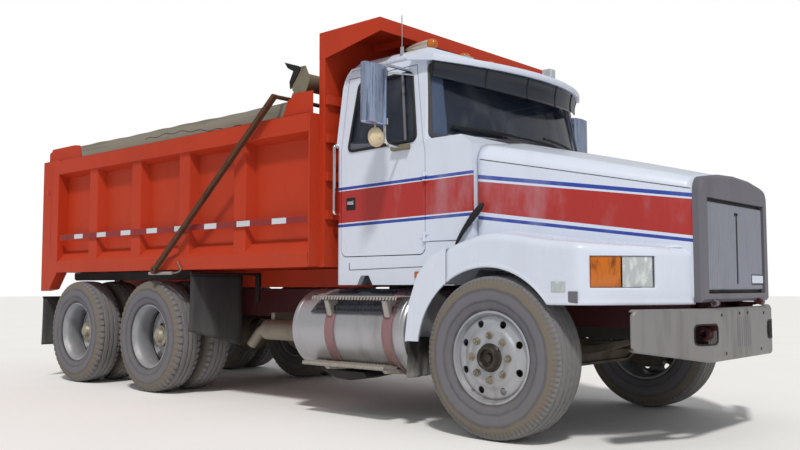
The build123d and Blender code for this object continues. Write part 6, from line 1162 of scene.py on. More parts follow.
    def lens(self, start: float, end: float, offset: float, bulge: float, ribs: int) -> Skin:
        """A lens over part of the lamp opening: follows the plan line, bulges, has faint upright ribs.

        Args:
            start: Where on the plan line it starts.
            end: Where it ends.
            offset: How far out its edge lies.
            bulge: How much further out its middle lies.
            ribs: How many ribs it has.

        Returns:
            The lens's surface.
        """
        line, out = self.path()
        x = np.linspace(start, end, 8 * ribs + 1)
        place = np.stack([x, np.interp(x, line[:, 0], line[:, 1])], 1)
        face = np.stack([np.interp(x, line[:, 0], out[:, i]) for i in (0, 1)], 1)
        u, v = np.linspace(0, 1, len(x))[None, :], np.linspace(0, 1, 15)[:, None]
        swell = offset + bulge * (np.sin(math.pi * u) * np.sin(math.pi * v)) ** 0.35
        swell = swell + 0.0012 * np.cos(2 * math.pi * ribs * u) * (np.sin(math.pi * v) > 0.2)
        low, high = self.lamp_heights
        return Skin().grid(self.at(place[None], face[None], swell, low + 0.003 + (high - low - 0.006) * v))

    def build(self, shop: Workshop) -> None:
        """Makes bonnet, fenders, lamps, side markers and the small fittings on the hood."""
        bonnet = self.bonnet()
        shop.piece("bonnet", bonnet, "hood", HOOD_WHITE, wall=self.wall, replaces=("hood_shell",), sharp=28.0)
        share = np.linspace(0.01, 0.995, 30)
        across = 1.0005 - 0.44 * share + 0.010 * np.sin(math.pi * share)
        seam = np.stack([AXLE_X + self.rear + (self.front - self.rear) * share, -across,
                         1.842 - 0.262 * share], 1)
        shop.pair("bonnet_seam", Skin().tube(seam, 0.0022, 6), "hood", GASKET)
        shop.pair("front_fender", self.fender(), "hood", PLAIN_WHITE, wall=self.wall, sharp=50.0)
        start, split, end = self.lamp_span
        pocket = self.lens(start - 0.01, end + 0.01, -0.045, -0.010, 2)
        shop.piece("lamp_pockets", pocket.joined(pocket.mirrored()), "hood", DARK_STEEL,
                   replaces=("headlamps",))
        shop.pair("corner_lamp", self.lens(start + 0.004, split - 0.002, -0.010, 0.010, 6), "hood", AMBER)
        shop.pair("headlamp", self.lens(split + 0.004, end - 0.004, -0.010, 0.010, 5), "hood", CLEAR)
        marker = Skin().slab((AXLE_X + 0.468, -1.206, 0.947), (AXLE_X + 0.564, -1.198, 1.009))
        shop.pair("side_marker", marker, "hood", CLEAR, bevel=0.003)
        reflector = Skin().slab((AXLE_X + 0.583, -1.204, 0.879), (AXLE_X + 0.648, -1.198, 0.949))
        shop.pair("side_reflector", reflector, "hood", SURROUND, bevel=0.003)


@dataclass(frozen=True)
class Grille:
    """Fine upright ribs between rails, with dark slots above and below, and a black strip down the middle as
    painted shade for the centre slot.
    """

    face: float = AXLE_X + 1.134
    half: float = 0.468
    low: float = 0.945
    high: float = 1.518
    slot: float = 0.020
    pitch: float = 0.0252

    def build(self, shop: Workshop) -> None:
        """Makes the ribs, the dark plate behind them and the bare plate at the truck's lower left."""
        count = int(self.half // self.pitch)
        y = self.pitch * (np.arange(count) + 0.5)
        ribs, low, high = Skin(), self.low + self.slot, self.high - self.slot
        section = np.array([(-0.012, -0.0088), (-0.004, -0.0082), (-0.0006, -0.005), (0.0, 0.0),
                            (-0.0006, 0.005), (-0.004, 0.0082), (-0.012, 0.0088)])
        for middle in np.concatenate([-y[::-1], y]):
            ribs.prism(section + (self.face, middle), 2, low, high)
        for z in (low, low + (high - low) / 2, high):
            ribs.slab((self.face - 0.013, -self.half, z - 0.008), (self.face - 0.009, self.half, z + 0.008))
        shop.piece("grille_ribs", ribs, "hood", GRILLE, replaces=("grille_bars",), sharp=60.0)
        back = Skin().slab((self.face - 0.030, -self.half - 0.01, self.low - 0.01),
                           (self.face - 0.024, self.half + 0.01, self.high + 0.01))
        shop.piece("grille_backing", back, "hood", GASKET, bevel=0.002)
        # A black strip, proud of the face, with a short bar across its top: painted shade for the slot down
        # the grille's middle.
        centre = Skin().slab((self.face - 0.004, -0.011, 0.995), (self.face + 0.0015, 0.011, 1.452))
        centre.slab((self.face - 0.004, -0.024, 1.440), (self.face + 0.0015, 0.024, 1.456))
        shop.piece("grille_centre_shade_strip", centre, "hood", GASKET, bevel=0.001)
        edge = Skin().slab((self.face - 0.004, 0.243, 0.989), (self.face + 0.0008, 0.462, 1.057))
        shop.piece("plate_edge", edge, "hood", GASKET, bevel=0.0005)
        plate = Skin().slab((self.face - 0.004, 0.252, 0.998), (self.face + 0.002, 0.453, 1.050))
        shop.piece("bare_plate", plate, "hood", PLAIN_WHITE, bevel=0.001)


@dataclass(frozen=True)
class Cab:
    """Fittings of the cab: gaskets, divider, handles, drip rail, seams, wipers, visor, roof lamps, mirrors.

    Sizes are in the frame; widths are out from the middle.
    """

    belt: float = 2.020
    half: float = 1.050
    roof_half: float = 0.955
    roof_edge: float = 2.660
    pane: tuple[Pair, ...] = (
        (-1.420, 2.008), (-0.735, 2.022), (-0.838, 2.548), (-1.376, 2.548))
    gasket: float = 0.011
    mirror_x: float = -0.829
    mirror_y: float = -1.385
    mirror_half: float = 0.113
    loop_y: float = -1.236

    def wall(self, z: Array) -> Array:
        """How far out the cab's side lies at a height: upright to the belt, then leaning in."""
        lean = (np.asarray(z, float) - self.belt) / (self.roof_edge - self.belt)
        return self.half - (self.half - self.roof_half) * np.clip(lean, 0, 1)

    def on_side(self, points: Array, proud: float = 0.0) -> Array:
        """Points on the right side from rows of place behind the axle (negative) and height."""
        points = np.asarray(points, float)
        return np.stack([AXLE_X + points[:, 0], -self.wall(points[:, 1]) - proud, points[:, 1]], 1)

    def ring(self, path: Array, radius: float) -> Skin:
        """A closed rubber bead along a path."""
        return Skin().tube(np.vstack([path, path[:2]]), radius, 10, capped=False)

    def front_at(self, y: Array, z: Array | float, proud: float = 0.0) -> Array:
        """Points on the cab's front.

        Across the cab the front is a parabola. Its middle and its two ends lean back with height, each
        by its own slope, and a point in between is set back by the square of its share of the half width.

        Args:
            y: Places across, left positive.
            z: Heights.
            proud: How far ahead of the front the points stand.

        Returns:
            The points, with X, Y and Z in the last axis.
        """
        y, z = np.broadcast_arrays(np.asarray(y, float), np.asarray(z, float))
        rise = (z - 2.02) / 0.60
        corner, centre = -0.650 - 0.095 * rise, -0.330 - 0.190 * rise
        return np.stack([AXLE_X + centre + (corner - centre) * (y / 1.05) ** 2 + proud, y, z], -1)

    def windshield_path(self) -> Array:
        """The line of the windshield's outer gasket."""
        t = np.linspace(-1, 1, 25)
        loop = np.vstack([self.front_at(t * 1.014, 2.040, -0.002),
                          self.front_at(t * 0.944, 2.586, -0.002)[::-1]])
        return rounded(loop, 0.035, 4)

    def openings(self, shop: Workshop) -> None:
        """Gaskets round the glass, the door window's divider bar, and strips of glass at the edges."""
        corners = rounded(np.array(self.pane), 0.05, 6)
        path = np.vstack([np.linspace(a, b, 6, endpoint=False)
                          for a, b in zip(corners, np.roll(corners, -1, 0))])
        beads = self.ring(self.on_side(path, 0.001), self.gasket)
        shop.pair("door_window_gasket", beads, "door_{side}", GASKET)
        bar = self.on_side(np.linspace((-0.842, 2.032), (-0.936, 2.540), 8), -0.004)
        shop.pair("door_window_divider", Skin().tube(bar, 0.011, 10), "door_{side}", SURROUND)
        u, v = np.linspace(0, 1, 24)[None, :, None], np.linspace(0, 1, 6)[:, None, None]
        low, high = np.array([(-1.414, 2.008), (-0.760, 2.022)]), np.array([(-1.430, 2.090), (-0.760, 2.030)])
        plane = (low[0] * (1 - u) + low[1] * u) * (1 - v) + (high[0] * (1 - u) + high[1] * u) * v
        foot = self.on_side(plane.reshape(-1, 2), 0.002).reshape(6, 24, 3)
        shop.pair("door_glass_foot", Skin().grid(foot), "door_{side}", WINDSHIELD, wall=0.002)
        shop.piece("windshield_gasket", self.ring(self.windshield_path(), 0.019), "chassis", FRAME_GASKET)
        u, v = np.linspace(0, 1, 12)[None, :], np.linspace(0, 1, 20)[:, None]
        end = self.front_at((0.905 + 0.110 * u) * (1 - v) + (0.862 + 0.083 * u) * v, 2.045 + 0.54 * v, 0.012)
        shop.pair("windshield_end", Skin().grid(end * (1, -1, 1)), "chassis", CORNER_GLASS, wall=0.002)
        u, v = np.linspace(-1, 1, 49)[None, :], np.linspace(0, 1, 5)[:, None]
        band = self.front_at(u * 1.012, 2.008 + 0.058 * v, 0.005)
        shop.piece("windshield_foot", Skin().grid(band), "chassis", FRAME_GASKET, wall=0.004)

    def trim(self, shop: Workshop) -> None:
        """Door handles, drip rails, seams, the plates under the cab and the sill's marker lamps."""
        handle = Skin().slab((AXLE_X - 1.440, -1.0545, 1.558), (AXLE_X - 1.345, -1.046, 1.652))
        shop.pair("door_handle_plate", handle, "door_{side}", DARK_STEEL, bevel=0.010)
        lever = Skin().slab((AXLE_X - 1.425, -1.062, 1.598), (AXLE_X - 1.360, -1.052, 1.626))
        shop.pair("door_handle", lever, "door_{side}", CHROME, bevel=0.004)
        run = np.array([(-1.545, 2.050), (-1.545, 2.30), (-1.538, 2.56), (-1.49, 2.655), (-1.42, 2.672),
                        (-1.1, 2.672), (-0.80, 2.668)])
        path = smooth_curve(run, 40)
        rail = Skin().tube(self.on_side(path, 0.004), 0.007, 8)
        shop.pair("drip_rail", rail, "chassis", PLAIN_WHITE)
        seams = {
            "sill_seam": [(-1.407, 1.103), (-1.407, 1.157), (-1.405, 1.103), (-0.640, 1.118)],
            "cowl_seam": [(-0.648, 1.294), (-0.355, 1.292)],
        }
        for name, line in seams.items():
            line = np.concatenate([np.linspace(a, b, 8) for a, b in zip(line[:-1], line[1:])])
            shop.pair(name, Skin().tube(self.on_side(line, 0.0005), 0.0022, 6), "chassis", GASKET)
        under = Skin().slab((AXLE_X - 1.560, -0.440, 0.850), (AXLE_X - 0.620, -0.432, 0.988))
        shop.pair("cab_splash_plate", under, "chassis", GASKET, bevel=0.002)
        marker = Skin().slab((AXLE_X - 0.749, -1.060, 1.040), (AXLE_X - 0.640, -1.048, 1.084))
        shop.pair("sill_marker", marker, "chassis", AMBER, bevel=0.004)

    def wipers(self, shop: Workshop) -> None:
        """Two wiper arms with blades that lie on the glass."""
        arms = Skin()
        for start, end in ((-0.86, -0.06), (0.02, 0.78)):
            y = np.linspace(start, end, 9)
            z = 2.115 - 0.035 * np.linspace(0, 1, 9)
            path = self.front_at(y, z, 0.018)
            arms.tube(path, 0.007, 8)
            arms.tube(path[:6] + (-0.010, 0, 0.010), 0.008, 6)
        shop.piece("wipers", arms, "chassis", GASKET)

    def visor(self, shop: Workshop) -> None:
        """The visor's white shell, and smoked panels under it in five bays parted by ribs."""
        t = np.linspace(-1, 1, 61)
        rows = []
        for s, z in ((1.0, 2.628), (0.0, 2.558), (-0.012, 2.566), (-0.016, 2.582), (-0.012, 2.598),
                     (0.0, 2.606), (1.0, 2.668)):
            x = (-0.300 - 0.310 * t**2) * (1 - s) - 0.840 * s
            rows.append(np.stack([AXLE_X + x, t * (1.010 + 0.025 * s), z + 0.035 * t**2 * (1 - s)], 1))
        shell = Skin().grid(np.stack(rows).transpose(1, 0, 2), wrap=True)
        shell.faces += [list(range(7)), list(range(60 * 7, 61 * 7))]
        shop.piece("visor_shell", shell, "chassis", PLAIN_WHITE, replaces=("sun_visor",))
        rows = []
        for drop in np.linspace(0, 1, 7):
            x = -0.322 - 0.020 * drop - 0.010 * math.sin(math.pi * drop) - 0.305 * t**2
            top, foot = 2.566 + 0.035 * t**2, 2.398 + 0.090 * t**2
            rows.append(np.stack([AXLE_X + x, t * 0.985, top * (1 - drop) + foot * drop], 1))
        grid = np.stack(rows)
        shop.piece("visor_panels", Skin().grid(grid), "chassis", SMOKED, wall=0.004)
        ribs = Skin()
        for i in (0, 12, 24, 36, 48, 60):
            ribs.tube(grid[:, i], 0.007, 8)
        shop.piece("visor_ribs", ribs, "chassis", GASKET)

    def roof(self, shop: Workshop) -> None:
        """A long torpedo lamp on the right, three small amber lamps, and a square clear one on the left."""
        body, amber, clear = Skin(), Skin(), Skin()
        shape = np.array([(0.0, 0.003), (0.05, 0.020), (0.13, 0.034), (0.21, 0.038), (0.255, 0.039),
                          (0.258, 0.001)])
        torpedo = (AXLE_X - 1.107, -0.750, 2.802)
        body.lathe(smooth_curve(shape[:5], 24), torpedo, axis=0, segments=32)
        body.slab((AXLE_X - 1.060, -0.775, 2.745), (AXLE_X - 0.880, -0.725, 2.790))
        nose = np.array([(0.255, 0.0385), (0.275, 0.038), (0.300, 0.031), (0.318, 0.014), (0.321, 0.001)])
        amber.lathe(smooth_curve(nose, 16), torpedo, axis=0, segments=32)
        for y in (-0.33, 0.0, 0.33):
            drop = Skin().slab((AXLE_X - 0.905, y - 0.055, 2.768), (AXLE_X - 0.800, y + 0.055, 2.784))
            body.joined(drop)
            cap = np.array([(0.0, 0.045), (0.018, 0.043), (0.030, 0.030), (0.035, 0.001)])
            amber.lathe(smooth_curve(cap, 10), (AXLE_X - 0.852, y, 2.782), axis=2, segments=32)
        clear.slab((AXLE_X - 0.800, 0.710, 2.790), (AXLE_X - 0.715, 0.795, 2.868))
        body.cylinder((AXLE_X - 0.757, 0.752, 2.740), (AXLE_X - 0.757, 0.752, 2.792), 0.012, 12)
        shop.piece("roof_lamps_amber", amber, "chassis", AMBER, replaces=("roof_lights",))
        shop.piece("roof_lamp_bodies", body, "chassis", BEIGE_CHROME, bevel=0.002)
        shop.piece("roof_lamp_clear", clear, "chassis", CLEAR, bevel=0.006)

    def mirrors(self, shop: Workshop) -> None:
        """A tall chrome mirror in a tube loop, with a round cream mirror under it."""
        x, y, half = AXLE_X + self.mirror_x, self.mirror_y, self.mirror_half
        outline = rounded(np.array([(x - 0.035, y - half), (x + 0.020, y - half), (x + 0.035, y),
                                    (x + 0.020, y + half), (x - 0.035, y + half)]), 0.02, 5)
        head = Skin().prism(outline, 2, 2.105, 2.530)
        shop.pair("mirror_head", head, "door_{side}", MIRROR_CHROME, bevel=0.010, replaces=("mirror_{side}",))
        face = Skin().slab((x - 0.037, y - 0.100, 2.120), (x - 0.034, y + 0.100, 2.515))
        shop.pair("mirror_glass", face, "door_{side}", WINDSHIELD, bevel=0.001)
        tubes = Skin()
        tx, ty = x - 0.040, self.loop_y
        bend = rounded(np.array([(tx, -1.040, 1.985), (tx, ty, 1.985), (tx, ty, 2.560), (tx, -0.968, 2.560)]),
                       0.06, 6)
        tubes.tube(np.vstack([[(tx, -1.040, 1.985)], bend[6:-6], [(tx, -0.968, 2.560)]]), 0.011, 12)
        for z in (2.150, 2.500):
            tubes.cylinder((tx, ty, z), (tx, y, z), 0.008, 12)
            tubes.slab((tx - 0.012, ty - 0.020, z - 0.022), (tx + 0.012, ty + 0.020, z + 0.022))
        tubes.cylinder((tx, ty, 2.500), (tx + 0.050, -0.980, 2.520), 0.008, 12)
        foot = Skin().slab((AXLE_X - 0.955, -1.088, 1.962), (AXLE_X - 0.790, -1.046, 2.000))
        shop.pair("mirror_foot", foot, "door_{side}", BEIGE, bevel=0.006)
        shop.pair("mirror_tubes", tubes, "door_{side}", CHROME)
        spot = Skin().lathe([(-0.012, 0.001), (-0.012, 0.064), (0.000, 0.070), (0.016, 0.069), (0.028, 0.060),
                             (0.036, 0.036), (0.038, 0.012), (0.048, 0.010), (0.049, 0.001)],
                            (tx + 0.002, -1.335, 2.022), axis=0, segments=40)
        spot.cylinder((tx, -1.335, 2.11), (tx, -1.335, 2.03), 0.007, 10)
        spot.cylinder((tx, -1.335, 2.00), (tx, ty, 2.00), 0.007, 10)
        shop.pair("round_mirror", spot, "door_{side}", CREAM, sharp=50.0)

    def build(self, shop: Workshop) -> None:
        """Makes all the cab's fittings."""
        self.openings(shop)
        self.trim(shop)
        self.wipers(shop)
        self.visor(shop)
        self.roof(shop)
        self.mirrors(shop)


@dataclass(frozen=True)
class Interior:
    """Two padded seats on boxes, the dashboard and the steering wheel."""

    floor: float = 1.205
    seat_y: float = 0.500
    width: float = 0.480

    def cushion(self, low: Point, high: Point,
                crown: float) -> Skin:
        """A pillow form: a sphere's grid pushed towards a box, with its faces crowned.

        Each coordinate of the unit sphere is raised to the power crown and keeps its sign.

        Args:
            low: The box's lowest corner.
            high: The box's highest corner.
            crown: That power, under 1: the smaller, the squarer.

        Returns:
            The pillow's surface.
        """
        u = np.linspace(-math.pi / 2, math.pi / 2, 25)[:, None]
        v = np.linspace(-math.pi, math.pi, 48, endpoint=False)[None, :]
        shape = np.stack([np.cos(u) * np.cos(v), np.cos(u) * np.sin(v), np.sin(u) * np.ones_like(v)], -1)
        boxy = np.sign(shape) * np.abs(shape) ** crown
        middle, half = (np.array(low) + high) / 2, (np.array(high) - low) / 2
        return Skin().grid(middle + boxy * half, wrap=True)

    def build(self, shop: Workshop) -> None:
        """Makes the seats, dashboard and steering wheel."""
        front, back = AXLE_X - 0.930, AXLE_X - 1.390
        base, dash, wheel = Skin(), Skin(), Skin()
        for side, y in ((Side.RIGHT.value, -self.seat_y), (Side.LEFT.value, self.seat_y)):
            low, high = y - self.width / 2, y + self.width / 2
            base.slab((back + 0.02, low + 0.04, self.floor), (front - 0.04, high - 0.04, self.floor + 0.20))
            seat = self.cushion((back + 0.02, low, self.floor + 0.18), (front, high, self.floor + 0.335),
                                0.42)
            rest = self.cushion((back, low + 0.01, self.floor + 0.29),
                                (back + 0.135, high - 0.01, self.floor + 1.04), 0.42)
            shop.piece(f"seat_cushion_{side}", seat, "chassis", SEAT_CLOTH)
            shop.piece(f"seat_back_{side}", rest, "chassis", SEAT_CLOTH)
        shop.piece("seat_boxes", base, "chassis", INTERIOR, bevel=0.01, replaces=("cab_interior",))
        outline = [(AXLE_X - 0.282, 1.500), (AXLE_X - 0.640, 1.500), (AXLE_X - 0.650, 1.700),
                   (AXLE_X - 0.560, 1.800), (AXLE_X - 0.370, 1.915), (AXLE_X - 0.282, 1.885)]
        dash.prism(rounded(np.array(outline), 0.03, 5), 1, -1.0, 1.0)
        shop.piece("dashboard", dash, "chassis", INTERIOR, bevel=0.006)
        hub, tilt = np.array((AXLE_X - 0.780, 0.500, 1.840)), math.radians(35)
        along = np.array((math.cos(tilt), 0.0, -math.sin(tilt)))
        across = np.array((math.sin(tilt), 0.0, math.cos(tilt)))
        turn = np.linspace(0, 2 * math.pi, 49)[:-1, None]
        rim = hub + 0.225 * (np.cos(turn) * across + np.sin(turn) * np.array((0.0, 1.0, 0.0)))
        wheel.tube(np.vstack([rim, rim[:2]]), 0.015, 12, capped=False)
        for angle in (0.0, 2.1, 4.2):
            tip = hub + 0.215 * (math.cos(angle) * across + math.sin(angle) * np.array((0.0, 1.0, 0.0)))
            wheel.cylinder(tuple(hub), tuple(tip), 0.012, 10)
        wheel.cylinder(tuple(hub - 0.02 * along), tuple(hub + 0.03 * along), 0.045, 24)
        wheel.cylinder(tuple(hub), tuple(hub + 0.22 * along), 0.024, 16)
        shop.piece("steering_wheel", wheel, "chassis", GASKET)


@dataclass(frozen=True)
class Underbody:
    """Fuel tanks with straps and pierced steps, the mud flaps, and the plates under the tanks."""

    tank_y: float = 0.840
    tank_z: float = 0.650
    guard_radius: float = 0.324
    step_outer: float = 1.193
    radius: float = 0.310
    front: float = AXLE_X - 0.775
    back: float = AXLE_X - 1.955
    straps: tuple[float, ...] = (AXLE_X - 0.928, AXLE_X - 1.520)
    step_top: float = 0.906
    foot_step: float = 0.410
    strap_half: float = 0.046

    def shell(self) -> Skin:
        """The tank turned about its long axis: dished ends, rolled rims and two weld beads."""
        length = self.front - self.back
        end = np.array([(0.022, 0.001), (0.020, 0.120), (0.012, 0.225), (0.004, 0.272), (0.000, 0.288),
                        (0.004, 0.302), (0.016, 0.310), (0.040, 0.310)])
        bead = np.array([(0.044, 0.3125), (0.050, 0.3125), (0.054, 0.310)])
        half = np.vstack([end, bead])
        profile = np.vstack([half, [(length / 2, 0.310)], (half * (-1, 1) + (length, 0))[::-1]])
        return Skin().lathe(profile, (self.back, -self.tank_y, self.tank_z), axis=0, segments=96)

    def strap(self, x: float) -> Skin:
        """A folded strap: a thin band with raised edges round the tank, and its bracket to the rail."""
        h, r = self.strap_half, self.radius
        band = np.array([(-h, r), (-h, r + 0.012), (-h + 0.006, r + 0.012), (-h + 0.010, r + 0.006),
                         (h - 0.010, r + 0.006), (h - 0.006, r + 0.012), (h, r + 0.012), (h, r)])
        skin = Skin().lathe(band, (x, -self.tank_y, self.tank_z), axis=0, segments=72, closed=True)
        skin.prism([(-0.432, 0.50), (-0.560, 0.50), (-0.600, 0.66), (-0.585, 0.94), (-0.432, 0.955)], 0,
                   x - h, x + h)
        return skin

    def pierced(self, rows: int, columns: int, place) -> Skin:
        """A sheet with small square holes. place turns row and column shares into points.

        Args:
            rows: Holes across.
            columns: Holes along.
            place: A function from two arrays of shares to points.

        Returns:
            The sheet, with one cell in nine left out.
        """
        v, u = np.meshgrid(np.linspace(0, 1, rows * 3 + 1), np.linspace(0, 1, columns * 3 + 1), indexing="ij")
        i, j = np.meshgrid(np.arange(rows * 3) % 3, np.arange(columns * 3) % 3, indexing="ij")
        return Skin().grid(place(v, u), keep=~((i == 1) & (j == 1)))

    def tread(self, front: float, back: float, inner: float, top: float, rows: int) -> Skin:
        """A pierced step with a turned-down rim; its top rises a little at each row of teeth."""
        outer = self.step_outer

        def place(v: Array, u: Array) -> Array:
            """A flat sheet whose two long edges are folded down."""
            y = inner + (outer - inner) * np.clip((v - 0.06) / 0.88, 0, 1)
            z = top - 0.026 * (v < 0.05) - 0.026 * (v > 0.95) + 0.004 * (np.arange(u.shape[1]) % 3 == 1)
            return np.stack([back + (front - back) * u, -y, np.broadcast_to(z, u.shape)], -1)

        return self.pierced(rows, int((front - back) / 0.030), place)

    def guard(self) -> Skin:
        """The pierced sheet that lies on the tank's upper front, an arc about the tank's axis; its dark grey
        is partly painted shade from the step above.
        """
        def place(v: Array, u: Array) -> Array:
            """An arc from near the top down to the outer side."""
            angle = np.radians(66 - 42 * v)
            x = AXLE_X - 0.985 - (0.660 + 0.100 * v) * (1 - u)
            out, up = self.guard_radius * np.cos(angle), self.guard_radius * np.sin(angle)
            return np.stack([x, -self.tank_y - out, self.tank_z + up], -1)

        return self.pierced(4, 22, place)

    def flap(self, x: float, inner: float, outer: float, top: float, low_in: float, low_out: float) -> Skin:
        """A hanging rubber sheet that bows and curls a little towards its foot."""
        v, u = np.meshgrid(np.linspace(0, 1, 17), np.linspace(0, 1, 13), indexing="ij")
        low = low_in + (low_out - low_in) * u
        bow = 0.014 * np.sin(math.pi * u) * v + 0.020 * v**2 * np.sin(2.2 * math.pi * u + 0.6)
        return Skin().grid(np.stack([x - bow, -(inner + (outer - inner) * u), top + (low - top) * v], -1))

    def build(self, shop: Workshop) -> None:
        """Makes both sides."""
        tank = self.shell()
        shop.piece("fuel_tank_shells", tank.joined(tank.mirrored()), "chassis", TANK, sharp=30.0,
                   replaces=("fuel_tanks",))
        straps, hangers, flaps = Skin(), Skin(), Skin()
        for x in self.straps:
            straps.joined(self.strap(x))
            low = self.step_top - 0.030
            hangers.prism([(-0.960, low), (-1.184, low), (-1.178, low - 0.022), (-1.150, low - 0.118),
                           (-1.126, low - 0.118), (-1.120, low - 0.040), (-1.000, low - 0.036)], 0,
                          x - 0.024, x + 0.024)
            hangers.prism([(-1.182, self.foot_step - 0.024), (-0.95, self.foot_step - 0.024), (-0.90, 0.352),
                           (-0.96, 0.346), (-1.16, 0.362)], 0, x - 0.020, x + 0.020)
        shop.piece("tank_straps", straps.joined(straps.mirrored()), "chassis", STRAP_MAROON, bevel=0.001,
                   replaces=("tank_mounts",))
        shop.pair("step_hangers", hangers, "chassis", TREAD, bevel=0.003)
        treads = self.tread(AXLE_X - 0.803, AXLE_X - 1.672, 0.930, self.step_top, 8)
        treads.joined(self.tread(AXLE_X - 0.925, AXLE_X - 1.775, 1.030, self.foot_step, 5))
        shop.pair("pierced_steps", treads, "chassis", TREAD, wall=0.004)
        shop.pair("tank_guard", self.guard(), "chassis", GUARD_GREY, wall=0.003)
        cap = Skin().lathe([(0.0, 0.060), (0.022, 0.058), (0.030, 0.050), (0.032, 0.001)],
                           (AXLE_X - 1.20, -0.72, self.tank_z + 0.282), axis=2, segments=32)
        shop.pair("filler_cap", cap, "chassis", CHROME)
        plate = Skin().prism([(AXLE_X - 1.785, 0.338), (AXLE_X - 1.30, 0.338), (AXLE_X - 1.27, 0.305),
                              (AXLE_X - 1.44, 0.268), (AXLE_X - 1.60, 0.275)], 1, -1.00, -0.70)
        shop.pair("tank_bracket", plate, "chassis", GASKET, bevel=0.004)
        flaps.joined(self.flap(AXLE_X - 3.250, 0.620, 1.192, 1.085, 0.432, 0.582))
        flaps.joined(self.flap(AXLE_X - 5.990, 0.620, 1.192, 0.852, 0.350, 0.350))
        shop.piece("drive_flaps", flaps.joined(flaps.mirrored()), "chassis", RUBBER, wall=0.009,
                   replaces=("mud_flaps",))
        splash = self.flap(AXLE_X - 0.680, 0.980, 1.196, 0.625, 0.352, 0.352)
        shop.pair("splash_flap", splash, "chassis", WORN_RUBBER, wall=0.009)


